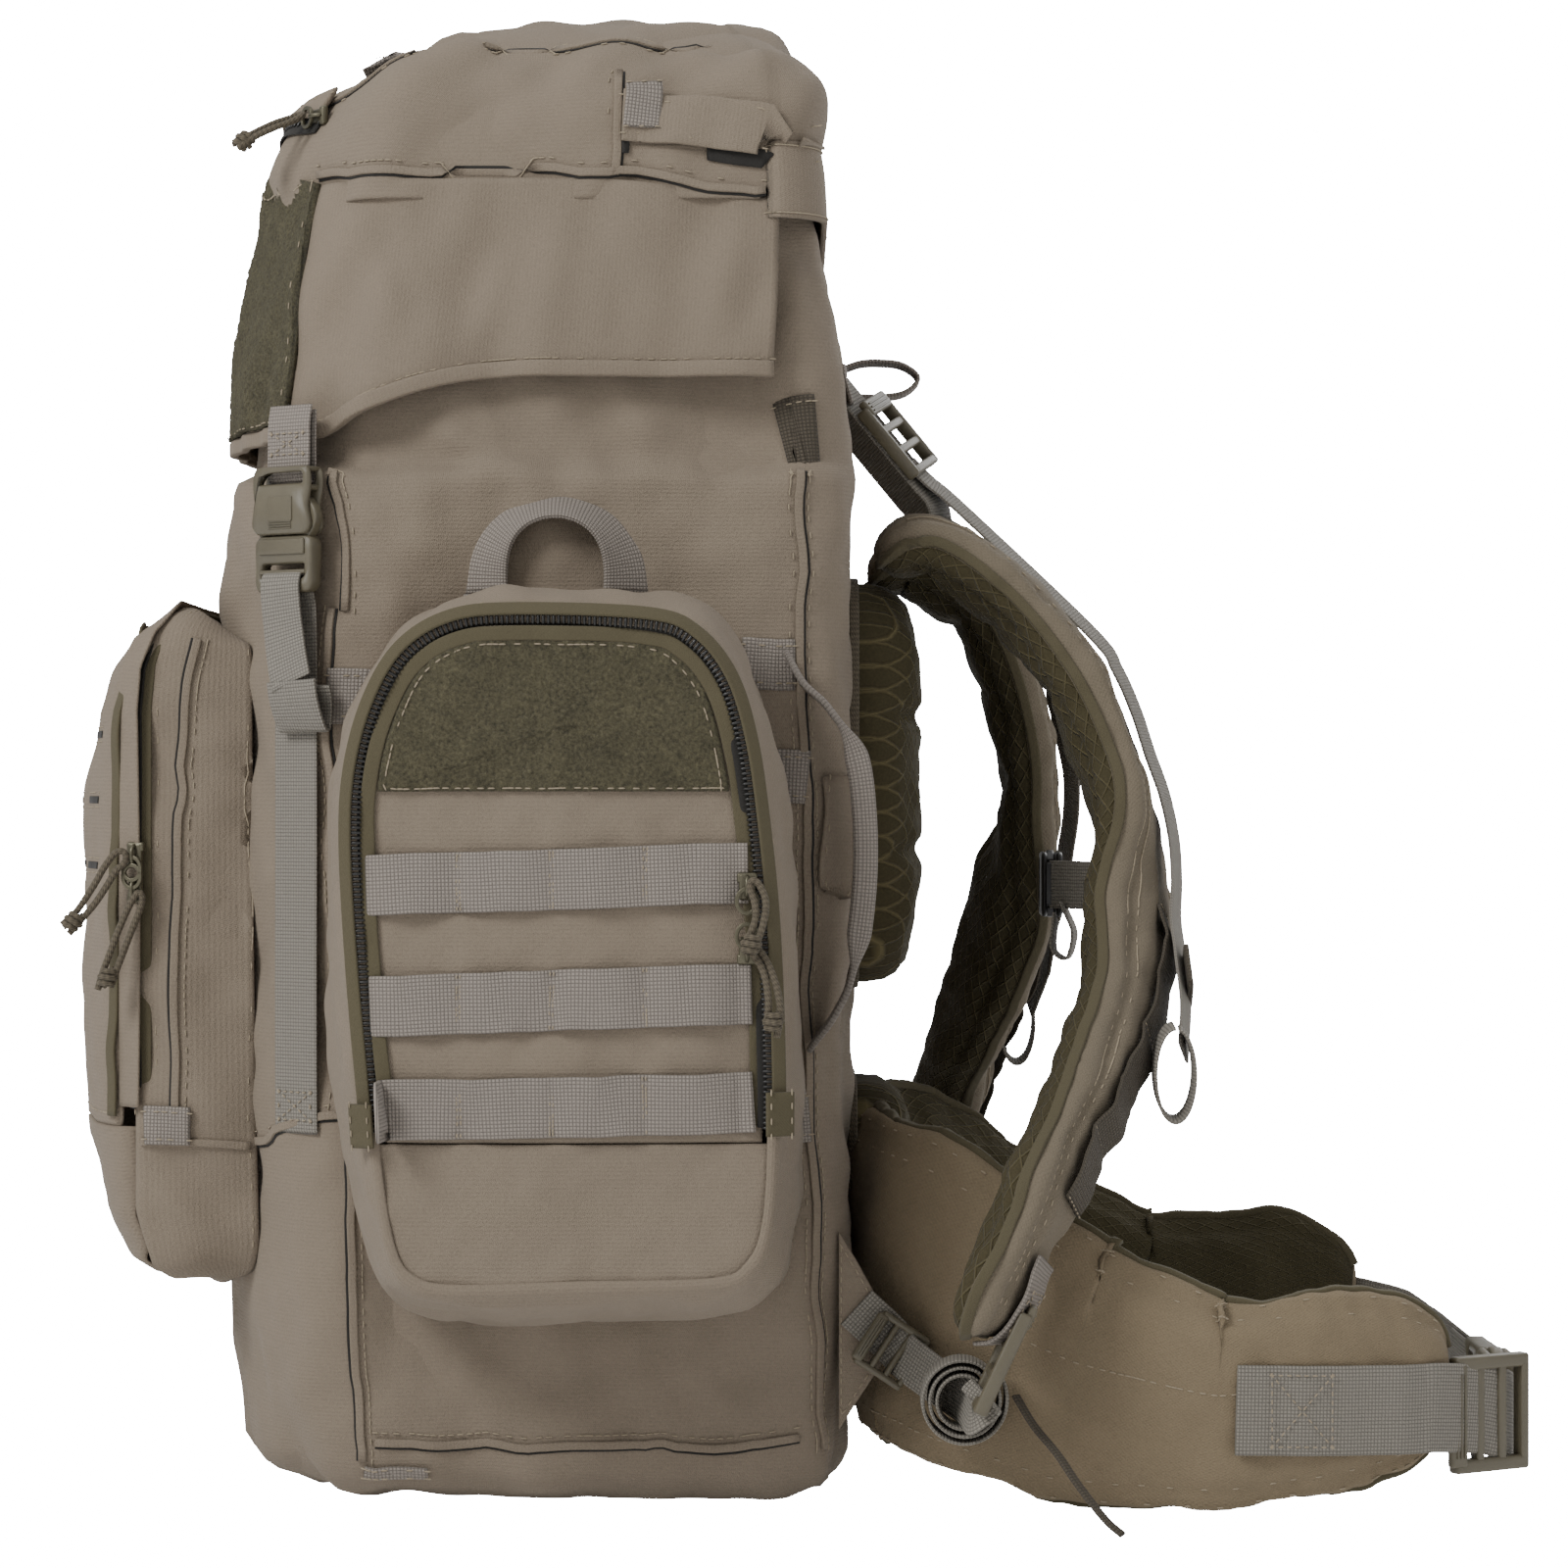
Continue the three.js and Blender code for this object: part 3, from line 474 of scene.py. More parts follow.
def outline_ring(points, inner, depth, bevel=0.0012):
    """A flat frame in the X-Y plane: a closed outline, an inner outline of as many points, and a thickness,
    with rounded edges. The rings run outer front, inner front, inner back, outer back."""
    outer, inner = np.asarray(points, float), np.asarray(inner, float)
    toward = unit(inner - outer) * bevel
    levels = [(outer, depth / 2 - bevel), (outer + toward, depth / 2), (inner - toward, depth / 2),
              (inner, depth / 2 - bevel), (inner, bevel - depth / 2), (inner - toward, -depth / 2),
              (outer + toward, -depth / 2), (outer, bevel - depth / 2)]
    rows = [np.column_stack([flat, np.full(len(flat), lift)]) for flat, lift in levels]
    return skin(rows, round_along=True, planar=(0, 1))


def placed(surface, origin, x_axis, z_axis):
    """The surface moved so that its own X and Z follow the two axes, from origin."""
    z = unit(np.array(z_axis, float))
    x = np.array(x_axis, float)
    x = unit(x - (x @ z) * z)
    surface.points = surface.points @ np.stack([x, np.cross(z, x), z]) + np.array(origin, float)
    return surface


def rounded_box(width, height, radius, count=64):
    """Closed outline of a rectangle with round corners, centred on the origin."""
    points = []
    for start, sx, sy in ((0, 1, 1), (90, -1, 1), (180, -1, -1), (270, 1, -1)):
        angle = np.radians(np.linspace(start, start + 90, 8))
        centre = np.array([sx * (width / 2 - radius), sy * (height / 2 - radius)])
        points.append(centre + radius * np.stack([np.cos(angle), np.sin(angle)], axis=1))
    return evenly(np.vstack(points), count, closed=True)


class Ground:
    """A finished surface that trims are laid on."""

    def __init__(self, surface):
        faces = [list(face) for face in surface.quads.tolist()] + surface.triangles.tolist()
        self.tree = BVHTree.FromPolygons([tuple(point) for point in surface.points.tolist()], faces)

    def lay(self, path, lift=0.0, reach=0.03):
        """Each path point moved to the nearest place on the surface and raised by lift, with the normals
        there."""
        path = np.asarray(path, float)
        places, normals = np.array(path), np.zeros_like(path)
        for index, point in enumerate(path):
            place, normal, _, _ = self.tree.find_nearest(Vector(point), reach)
            if place is not None:
                places[index], normals[index] = place, normal
        found = np.linalg.norm(normals, axis=1) > 0
        normals[~found] = normals[found].mean(0) if found.any() else (0, 0, 1)
        for _ in range(2):
            normals[1:-1] = unit(normals[:-2] + 2 * normals[1:-1] + normals[2:])
        return places + normals * lift, unit(normals)

    def cast(self, path, direction, lift=0.0, back=0.05):
        """Each path point moved along direction until it meets the surface from outside, then raised by
        lift."""
        path = np.asarray(path, float)
        direction = unit(np.array(direction, float))
        places, normals = np.array(path), np.tile(-direction, (len(path), 1))
        for index, point in enumerate(path):
            place, normal, _, _ = self.tree.ray_cast(Vector(point - direction * back), Vector(direction),
                4 * back)
            if place is not None:
                places[index], normals[index] = place, normal
        for _ in range(2):
            normals[1:-1] = unit(normals[:-2] + 2 * normals[1:-1] + normals[2:])
        return places + normals * lift, unit(normals)


def laid_strap(path, out, width, thickness=0.0016):
    """A strap whose face follows the normals of the cloth below it."""
    along = unit(np.gradient(path, axis=0))
    return strap(path + out * thickness / 2, np.cross(out, along), width, thickness)


# ---------------------------------------------------------------- pieces
def piece(name, surface, material, body, replaces=(), smooth_faces=True):
    """A finished mesh object riding on a body, standing for the CAD nodes it replaces."""
    mesh = bpy.data.meshes.new(name)
    counts = np.concatenate([np.full(len(surface.quads), 4), np.full(len(surface.triangles), 3)])
    corners = np.concatenate([surface.quads.ravel(), surface.triangles.ravel()])
    mesh.vertices.add(len(surface.points))
    mesh.vertices.foreach_set("co", surface.points.astype(np.float32).ravel())
    mesh.loops.add(len(corners))
    mesh.loops.foreach_set("vertex_index", corners.astype(np.int32))
    mesh.polygons.add(len(counts))
    mesh.polygons.foreach_set("loop_start", np.concatenate([[0], np.cumsum(counts)[:-1]]).astype(np.int32))
    mesh.polygons.foreach_set("loop_total", counts.astype(np.int32))
    layer = mesh.uv_layers.new(name="UVMap")
    uv = np.concatenate([surface.quad_uv.reshape(-1, 2), surface.triangle_uv.reshape(-1, 2)])
    layer.data.foreach_set("uv", uv.astype(np.float32).ravel())
    mesh.update(calc_edges=True)
    mesh.validate()
    mesh.polygons.foreach_set("use_smooth", np.full(len(mesh.polygons), smooth_faces))
    mesh.materials.append(finish(material))
    made = bpy.data.objects.new(name, mesh)
    bpy.context.scene.collection.objects.link(made)
    if replaces:
        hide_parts(*replaces)
    if body is not None:
        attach(made, body)
    return made


GROUNDS = {}


# ---------------------------------------------------------------- materials
FINISHES = {}


def new_group(name, inputs, outputs):
    """An empty shader node group with named sockets, given as (name, kind, default)."""
    group = bpy.data.node_groups.new(name, "ShaderNodeTree")
    for title, kind, default in inputs:
        socket = group.interface.new_socket(title, in_out="INPUT", socket_type=kind)
        if default is not None:
            socket.default_value = default
    for title, kind in outputs:
        group.interface.new_socket(title, in_out="OUTPUT", socket_type=kind)
    return group, group.nodes.new("NodeGroupInput"), group.nodes.new("NodeGroupOutput")


def maths(tree, operation, first, second=None, third=None, clamp=False):
    """A Math node over sockets or numbers, giving its output socket."""
    node = tree.nodes.new("ShaderNodeMath")
    node.operation = operation
    node.use_clamp = clamp
    for index, value in enumerate((first, second, third)):
        if value is None:
            continue
        if isinstance(value, (int, float)):
            node.inputs[index].default_value = value
        else:
            tree.links.new(value, node.inputs[index])
    return node.outputs[0]


def noise_value(tree, vector, scale, detail=2.0, roughness=0.5):
    """Output of a Noise node, about 0.5 on average."""
    node = tree.nodes.new("ShaderNodeTexNoise")
    node.inputs["Detail"].default_value = detail
    node.inputs["Roughness"].default_value = roughness
    if isinstance(scale, (int, float)):
        node.inputs["Scale"].default_value = scale
    else:
        tree.links.new(scale, node.inputs["Scale"])
    tree.links.new(vector, node.inputs["Vector"])
    return node.outputs["Fac"]


def weave_group():
    """Threads of a cloth: bands along u and v that pass over each other in turn, skewed by Twill, 0 to 1
    high."""
    group, given, made = new_group(
        "Threads",
        [("UV", "NodeSocketVector", None), ("Across", "NodeSocketFloat", 1400.0),
         ("Along", "NodeSocketFloat", 1400.0), ("Twill", "NodeSocketFloat", 0.0)],
        [("Height", "NodeSocketFloat")],
    )
    parts = group.nodes.new("ShaderNodeSeparateXYZ")
    group.links.new(given.outputs["UV"], parts.inputs[0])
    u = maths(group, "MULTIPLY", parts.outputs[0], given.outputs["Across"])
    v = maths(group, "MULTIPLY", parts.outputs[1], given.outputs["Along"])
    skewed = maths(group, "ADD", v, maths(group, "MULTIPLY", u, given.outputs["Twill"]))
    wave_u = maths(group, "SINE", maths(group, "MULTIPLY", u, 2 * math.pi))
    wave_v = maths(group, "SINE", maths(group, "MULTIPLY", skewed, math.pi))
    wave_w = maths(group, "COSINE", maths(group, "MULTIPLY", u, math.pi))
    thread = maths(group, "MULTIPLY", wave_v, wave_w)
    both = maths(group, "ADD", maths(group, "MULTIPLY", thread, 0.42), maths(group, "MULTIPLY", wave_u,
        0.08))
    group.links.new(maths(group, "ADD", both, 0.5, clamp=True), made.inputs["Height"])
    return group


def wear_group():
    """Fading and dust: broad mottling with finer flecks, about 0.5 on average."""
    group, given, made = new_group(
        "Mottling",
        [("Place", "NodeSocketVector", None), ("Patch", "NodeSocketFloat", 14.0), ("Fleck",
        "NodeSocketFloat", 1050.0)],
        [("Amount", "NodeSocketFloat"), ("Flecks", "NodeSocketFloat")],
    )
    broad = noise_value(group, given.outputs["Place"], given.outputs["Patch"], 4, 0.55)
    fine = noise_value(group, given.outputs["Place"], given.outputs["Fleck"], 2, 0.6)
    group.links.new(broad, made.inputs["Amount"])
    group.links.new(fine, made.inputs["Flecks"])
    return group


def net_group():
    """Open diamond net: thin ridges where two slanted sets of waves cross, with round cells between."""
    group, given, made = new_group(
        "Diamond net",
        [("UV", "NodeSocketVector", None), ("Cells", "NodeSocketFloat", 150.0)],
        [("Ridge", "NodeSocketFloat")],
    )
    parts = group.nodes.new("ShaderNodeSeparateXYZ")
    group.links.new(given.outputs["UV"], parts.inputs[0])
    u = maths(group, "MULTIPLY", parts.outputs[0], given.outputs["Cells"])
    v = maths(group, "MULTIPLY", maths(group, "MULTIPLY", parts.outputs[1], 0.62), given.outputs["Cells"])
    first = maths(group, "ABSOLUTE", maths(group, "SINE",
        maths(group, "MULTIPLY", maths(group, "ADD", u, v), math.pi)))
    second = maths(
        group, "ABSOLUTE", maths(group, "SINE", maths(group, "MULTIPLY", maths(group, "SUBTRACT", u, v),
        math.pi))
    )
    cell = maths(group, "MINIMUM", first, second)
    ridge = maths(group, "SUBTRACT", 1.0, maths(group, "MULTIPLY", cell, 2.6), clamp=True)
    group.links.new(ridge, made.inputs["Ridge"])
    return group


def shared(name, build):
    """The named node group, built the first time it is asked for."""
    return bpy.data.node_groups.get(name) or build()


def mixed(tree, factor, first, second):
    """A colour mix of two colours or colour sockets."""
    node = tree.nodes.new("ShaderNodeMix")
    node.data_type = "RGBA"
    tree.links.new(factor, node.inputs[0])
    for socket, value in ((node.inputs[6], first), (node.inputs[7], second)):
        if isinstance(value, tuple):
            socket.default_value = (*value, 1)
        else:
            tree.links.new(value, socket)
    return node.outputs[2]


def scaled(value, factor):
    """A colour made lighter or darker."""
    return tuple(min(1.0, channel * factor) for channel in value)


def base_material(name, roughness, sheen=0.0, specular=0.5, metallic=0.0):
    """A material with its Principled shader and Object coordinates and UV sockets."""
    material = bpy.data.materials.new(name)
    material.use_nodes = True
    tree = material.node_tree
    shader = tree.nodes["Principled BSDF"]
    shader.inputs["Roughness"].default_value = roughness
    shader.inputs["Sheen Weight"].default_value = sheen
    shader.inputs["Specular IOR Level"].default_value = specular
    shader.inputs["Metallic"].default_value = metallic
    coordinates = tree.nodes.new("ShaderNodeTexCoord")
    return material, tree, shader, coordinates.outputs["Object"], coordinates.outputs["UV"]


def add_group(tree, group, **values):
    """A group node with its inputs linked or set."""
    node = tree.nodes.new("ShaderNodeGroup")
    node.node_tree = group
    for title, value in values.items():
        if isinstance(value, (int, float)):
            node.inputs[title].default_value = value
        else:
            tree.links.new(value, node.inputs[title])
    return node


def bumped(tree, shader, height, distance, strength=1.0):
    """A Bump node of that depth feeding the shader's normal."""
    node = tree.nodes.new("ShaderNodeBump")
    node.inputs["Distance"].default_value = distance
    node.inputs["Strength"].default_value = strength
    tree.links.new(height, node.inputs["Height"])
    tree.links.new(node.outputs["Normal"], shader.inputs["Normal"])


def cloth_material(name, tint, threads, twill, depth, contrast=0.24, roughness=0.86, fuzz=0.04):
    """Woven cloth: threads by the texture place, mottled colour, and a rough, slightly fuzzy surface."""
    material, tree, shader, place, uv = base_material(name, roughness, sheen=fuzz, specular=0.25)
    shader.inputs["Sheen Roughness"].default_value = 0.6
    weave = add_group(tree, shared("Threads", weave_group), UV=uv, Across=threads, Along=threads,
        Twill=twill)
    wear = add_group(tree, shared("Mottling", wear_group), Place=place)
    dark, light = scaled(tint, 1 - contrast), scaled(tint, 1 + contrast)
    grain = maths(tree, "ADD", maths(tree, "MULTIPLY", weave.outputs["Height"], 0.3),
                  maths(tree, "MULTIPLY", wear.outputs["Flecks"], 0.7))
    threads_colour = mixed(tree, grain, dark, light)
    faded = mixed(tree, maths(tree, "MULTIPLY", wear.outputs["Amount"], 0.35), threads_colour, scaled(tint,
        1.16))
    tree.links.new(faded, shader.inputs["Base Color"])
    rough = maths(tree, "ADD", roughness - 0.08, maths(tree, "MULTIPLY", wear.outputs["Amount"], 0.16))
    tree.links.new(rough, shader.inputs["Roughness"])
    bumped(tree, shader, grain, depth)
    return material


def webbing_material(name, tint, ribs=640.0, picks=640.0):
    """Webbing: coarse ribs across and picks along, with fine flecks of lighter yarn."""
    material, tree, shader, place, uv = base_material(name, 0.72, sheen=0.03, specular=0.35)
    weave = add_group(tree, shared("Webbing grid", grid_group), UV=uv, Across=ribs, Along=picks)
    wear = add_group(tree, shared("Mottling", wear_group), Place=place, Fleck=900.0)
    shade = mixed(tree, weave.outputs["Height"], scaled(tint, 0.5), scaled(tint, 1.2))
    faded = mixed(tree, maths(tree, "MULTIPLY", wear.outputs["Flecks"], 0.3), shade, scaled(tint, 1.1))
    tree.links.new(faded, shader.inputs["Base Color"])
    tree.links.new(maths(tree, "ADD", 0.62, maths(tree, "MULTIPLY", wear.outputs["Amount"], 0.2)),
                   shader.inputs["Roughness"])
    bumped(tree, shader, weave.outputs["Height"], 0.0005)
    return material


def grid_group():
    """Webbing face: square picks between ribs, as the product of two rounded waves, 0 to 1 high."""
    group, given, made = new_group(
        "Webbing grid",
        [("UV", "NodeSocketVector", None), ("Across", "NodeSocketFloat", 900.0), ("Along",
        "NodeSocketFloat", 900.0)],
        [("Height", "NodeSocketFloat")],
    )
    parts = group.nodes.new("ShaderNodeSeparateXYZ")
    group.links.new(given.outputs["UV"], parts.inputs[0])
    waves = []
    for index, title in enumerate(("Across", "Along")):
        turn = maths(group, "MULTIPLY", parts.outputs[index], given.outputs[title])
        wave = maths(group, "ABSOLUTE", maths(group, "SINE", maths(group, "MULTIPLY", turn, math.pi)))
        waves.append(maths(group, "POWER", wave, 0.55))
    group.links.new(maths(group, "MULTIPLY", waves[0], waves[1], clamp=True), made.inputs["Height"])
    return group


def loop_material(name, tint):
    """Loop pile: a dense felt of tiny curls with darker hollows."""
    material, tree, shader, place, _ = base_material(name, 0.97, sheen=0.06, specular=0.1)
    shader.inputs["Sheen Roughness"].default_value = 0.75
    curls = noise_value(tree, place, 700.0, 4, 0.75)
    patches = noise_value(tree, place, 120.0, 3, 0.6)
    mixed_up = maths(tree, "ADD", maths(tree, "MULTIPLY", curls, 0.8), maths(tree, "MULTIPLY", patches, 0.2))
    fuzz = maths(tree, "ADD", maths(tree, "MULTIPLY", mixed_up, 3.2), -1.1, clamp=True)
    tree.links.new(mixed(tree, fuzz, scaled(tint, 0.42), scaled(tint, 1.5)), shader.inputs["Base Color"])
    bumped(tree, shader, fuzz, 0.0014)
    return material


def net_material(name, tint, cells=150.0):
    """Spacer mesh: raised diamond net over a darker ground."""
    material, tree, shader, place, uv = base_material(name, 0.9, sheen=0.04, specular=0.2)
    net = add_group(tree, shared("Diamond net", net_group), UV=uv, Cells=cells)
    wear = add_group(tree, shared("Mottling", wear_group), Place=place, Fleck=900.0)
    ground = mixed(tree, wear.outputs["Flecks"], scaled(tint, 0.55), scaled(tint, 1.15))
    tree.links.new(mixed(tree, net.outputs["Ridge"], ground, scaled(tint, 2.3)), shader.inputs["Base Color"])
    bumped(tree, shader, net.outputs["Ridge"], 0.0012)
    return material


def plastic_material(name, tint, roughness=0.42):
    """Moulded plastic with a fine spark-eroded texture and rubbed, paler patches."""
    material, tree, shader, place, _ = base_material(name, roughness, specular=0.5)
    wear = add_group(tree, shared("Mottling", wear_group), Place=place, Patch=60.0, Fleck=2200.0)
    tree.links.new(mixed(tree, wear.outputs["Amount"], scaled(tint, 0.82), scaled(tint, 1.2)),
                   shader.inputs["Base Color"])
    tree.links.new(maths(tree, "ADD", roughness - 0.1, maths(tree, "MULTIPLY", wear.outputs["Amount"],
        0.22)),
                   shader.inputs["Roughness"])
    bumped(tree, shader, wear.outputs["Flecks"], 0.00012)
    return material


def cord_material(name, tint):
    """Braided cord: slanted yarns wound both ways."""
    material, tree, shader, place, uv = base_material(name, 0.78, sheen=0.04, specular=0.3)
    weave = add_group(tree, shared("Threads", weave_group), UV=uv, Across=900.0, Along=900.0, Twill=1.0)
    tree.links.new(mixed(tree, weave.outputs["Height"], scaled(tint, 0.5), scaled(tint, 1.3)),
                   shader.inputs["Base Color"])
    bumped(tree, shader, weave.outputs["Height"], 0.0004)
    return material


def metal_material(name, tint, roughness, metallic=1.0):
    """Metal with fine flecks in its finish and a few duller patches."""
    material, tree, shader, place, _ = base_material(name, roughness, specular=0.5, metallic=metallic)
    wear = add_group(tree, shared("Mottling", wear_group), Place=place, Patch=90.0, Fleck=1600.0)
    tree.links.new(mixed(tree, wear.outputs["Amount"], scaled(tint, 0.8), scaled(tint, 1.15)),
                   shader.inputs["Base Color"])
    tree.links.new(maths(tree, "ADD", roughness - 0.08, maths(tree, "MULTIPLY", wear.outputs["Flecks"],
        0.2)),
                   shader.inputs["Roughness"])
    bumped(tree, shader, wear.outputs["Flecks"], 0.00008)
    return material


FINISH_MAKERS = {
    "shell": lambda name: cloth_material(name, tuple(colours().shell), 1150.0, 1.0, 0.0006),
    "belt": lambda name: cloth_material(name, tuple(colours().belt), 1000.0, 0.0, 0.0006),
    "strap": lambda name: cloth_material(name, tuple(colours().strap), 1000.0, 0.0, 0.0006, 0.2),
    "lining": lambda name: cloth_material(name, scaled(tuple(colours().shell), 0.55), 1800.0, 0.0, 0.0002,
    0.1),
    "webbing": lambda name: webbing_material(name, tuple(colours().webbing)),
    "trim": lambda name: webbing_material(name, tuple(colours().trim)),
    "dark_webbing": lambda name: webbing_material(name, srgb(70, 63, 52)),
    "binding": lambda name: cloth_material(name, tuple(colours().binding), 1600.0, 0.0, 0.0003, 0.18),
    "loop": lambda name: loop_material(name, tuple(colours().loop)),
    "mesh": lambda name: net_material(name, tuple(colours().mesh)),
    "plastic": lambda name: plastic_material(name, tuple(colours().plastic)),
    "black_plastic": lambda name: plastic_material(name, srgb(30, 29, 28), 0.36),
    "cord": lambda name: cord_material(name, srgb(88, 80, 66)),
    "zip_tape": lambda name: cloth_material(name, srgb(30, 28, 25), 1900.0, 1.0, 0.0002, 0.2, 0.7, 0.05),
    "zip_teeth": lambda name: plastic_material(name, srgb(24, 23, 21), 0.34),
    "zip_metal": lambda name: metal_material(name, srgb(94, 90, 74), 0.4, 0.7),
    "aluminium": lambda name: metal_material(name, srgb(188, 190, 192), 0.32),
    "board": lambda name: plastic_material(name, srgb(40, 40, 40), 0.5),
    "thread": lambda name: cloth_material(name, tuple(colours().thread), 2600.0, 1.0, 0.0001, 0.12),
}


def finish(name):
    """The named material, made the first time it is asked for."""
    if name not in FINISHES:
        FINISHES[name] = FINISH_MAKERS[name](name)
    return FINISHES[name]


# ---------------------------------------------------------------- shapes of the bag and lid
class Drum:
    """A stack of bag plans: rounded back, straight sides and half-ellipse front, blended smoothly upwards.
    Column 0 is the middle of the back, and the columns go round by the left side."""

    def __init__(self, plans, inset=0.0):
        table = smooth(plans, 200)
        self.low = plans[0][0]
        self.high = plans[-1][0]
        heights = np.arange(self.low, self.high + 2, 2)
        self.rings = []
        for height in heights:
            front, rear, half, bulge, corner = (np.interp(height, table[:, 0], table[:,
                k]) for k in range(1, 6))
            self.rings.append(plan_outline(front + inset, rear - inset, half - inset, bulge - inset / 2,
                corner))
        self.rings = np.array(self.rings)

    def at(self, heights):
        """Points in metres at heights in mm, one height for each row or for each row and column."""
        heights = np.asarray(heights, float)
        if heights.ndim == 1:
            heights = np.repeat(heights[:, None], COLUMNS, axis=1)
        place = np.clip((heights - self.low) / 2, 0, len(self.rings) - 1.001)
        below = place.astype(int)
        share = (place - below)[..., None]
        column = np.broadcast_to(np.arange(COLUMNS), heights.shape)
        flat = self.rings[below, column] * (1 - share) + self.rings[below + 1, column] * share
        return np.concatenate([flat, heights[..., None]], axis=-1) * MM


def plan_outline(front, rear, half, bulge, corner):
    """One closed plan outline in mm, as many points as there are columns, evenly spread."""
    turn = np.linspace(0, math.pi / 2, 10)
    rear_corner = np.stack([rear - corner * (1 - np.cos(turn)), half - corner * (1 - np.sin(turn))], axis=1)
    sweep = np.linspace(0, math.pi / 2, 40)
    front_arc = np.stack([front + bulge * (1 - np.sin(sweep)), half * np.cos(sweep)], axis=1)
    left = np.vstack([[[rear, 0]], rear_corner, front_arc])
    right = left[-2:0:-1] * (1, -1)
    return evenly(np.vstack([left, right]), COLUMNS, closed=True)


def lid_dip(x):
    """How far the skirt's hem hangs below its rear height, in mm, by x in metres: deeper towards the
    front."""
    return HEM_DIP * 1.15 * np.clip((6 - x / MM) / 86, 0, 1) ** 2


def cap_rows(row, shares, rise=0.0):
    """Smaller and smaller copies of a ring towards its centre, rising by that much in the middle."""
    centre = row.mean(0)
    return [centre + (row - centre) * share + (0, 0, rise * (1 - share**2)) for share in shares]


BAG_FOLDS = [
    ((-48, -153, 468), (8, -156, 436), 5, 2.6),
    ((-40, -153, 452), (0, -157, 424), 4, -1.8),
    ((-20, -152, 480), (-3, -156, 446), 4, 1.8),
    ((40, -152, 470), (88, -156, 440), 6, 1.8),
    ((-60, -150, 80), (-20, -158, 30), 6, 2.0),
    ((-84, -140, 70), (-40, -157, 20), 4, -1.6),
    ((-100, -120, 64), (-62, -150, 22), 5, 2.2),
    ((-132, -60, 60), (-104, -112, 24), 6, 1.6),
    ((60, -158, 70), (110, -156, 24), 6, 1.4),
    ((124, -150, 540), (119, -148, 500), 5, 1.6),
    ((128, -140, 470), (134, -130, 400), 6, 1.6),
    ((-128, -50, 470), (-136, -20, 410), 7, 1.8),
    ((-70, -158, 430), (-30, -160, 398), 5, 1.8),
]


def folded(rows, folds, seed, depth=1.0):
    """Rows pushed along their normals by soft ripples and by ridges along the given lines on both sides."""
    normals = row_normals(rows)
    if (normals * (rows - rows.mean((0, 1)))).sum() < 0:
        normals = -normals
    wrinkle = sizes().wrinkle * depth
    push = wrinkle * (ripple(rows, 0.075, seed) + 0.45 * ripple(rows, 0.028, seed + 1))
    push += wrinkle * 0.7 * ripple(rows * (1, 1, 0.35), 0.05, seed + 2)
    for start, end, width, height in folds:
        for _, s in SIDES:
            turn = np.array([1, -s, 1])
            push += height * MM * crease(rows, np.array(start) * turn, np.array(end) * turn, width)
    return rows + normals * push[..., None]


def build_bag():
    """The open bag: outer wall from the base up, over the mouth and down the inner wall."""
    heights = np.concatenate([[0, 2, 5, 9, 14, 20], np.arange(26, 560, 3.6), [559, 562]])
    outer = folded(Drum(BAG_PLANS).at(heights), BAG_FOLDS, 11)
    inner_heights = np.concatenate([[561], np.arange(552, 12, -14), [8, 4]])
    inner = Drum(BAG_PLANS, 4).at(np.maximum(inner_heights, 4))
    base = cap_rows(outer[0], (0.3, 0.6, 0.85, 0.96))
    floor = cap_rows(inner[-1], (0.9, 0.5))
    surface = skin(np.concatenate([base, outer, inner, floor]))
    GROUNDS["bag"] = Ground(surface)
    piece("bag_shell", surface, "shell", "pack", ["main_bag"])


# Thin dark strips beside the seams, painted shadow of the seams' folds, by the surface they lie on.
SEAM_SHADOW_STRIPS = {}


def seam_on(ground, path, width=0.0036, height=0.0019, rows=(0.0046,), count=None):
    """A felled seam laid on cloth: a raised ridge, a thin dark strip beside it that paints the shadow of its
    fold, and stitches at the given distances to its sides.
    """
    total = np.linalg.norm(np.diff(np.asarray(path, float), axis=0), axis=1).sum() * MM
    line = smooth(np.array(path) * MM, count or max(12, int(total / 0.005)))
    places, out = GROUNDS[ground].lay(line)
    along = unit(np.gradient(places, axis=0))
    side = np.cross(out, along)
    ridge = laid_strap(places - out * 0.0002, out, width, height)
    # Painted shadow: a thin strip of dark zip tape cloth beside the ridge stands in for the shade of the
    # seam's fold.
    SEAM_SHADOW_STRIPS.setdefault(ground,
        []).append(laid_strap(places - side * width * 0.62 * np.sign(rows[0]) - out * 0.0002,
                                                        out, 0.0013, 0.0007))
    threads = []
    for gap in rows:
        row, normals = GROUNDS[ground].lay(places + side * gap, 0.0004)
        threads.append(stitches(row, normals))
    return ridge, threads


def mirrored(path, s):
    """The path on the right side, or its mirror on the left, held a little outside the cloth it is laid
    on."""
    return [(x, y * -s * 1.08, z) for x, y, z in path]


BAG_SEAMS = [
    ([(-80, -152, 455), (-78, -156, 420), (-76, -158, 383)], (0.0042,)),
    ([(-85, -154, 384), (-82, -156, 280), (-76, -158, 169)], (-0.0042,)),
    ([(-70, -158, 149), (-68, -158, 80), (-67, -154, 17)], (0.0042,)),
    ([(124, -158, 455), (124, -158, 383), (128, -156, 182), (134, -148, 60), (135, -142, 23)], (-0.0042,
    0.0042)),
    ([(-134, -50, 153), (-111, -118, 153), (-101, -132, 160), (-77, -156, 168), (-60, -159, 166)],
    (0.0042,)),
    ([(-60, -156, 26), (20, -158, 24), (90, -158, 25), (122, -156, 27)], (0.0042,)),
]


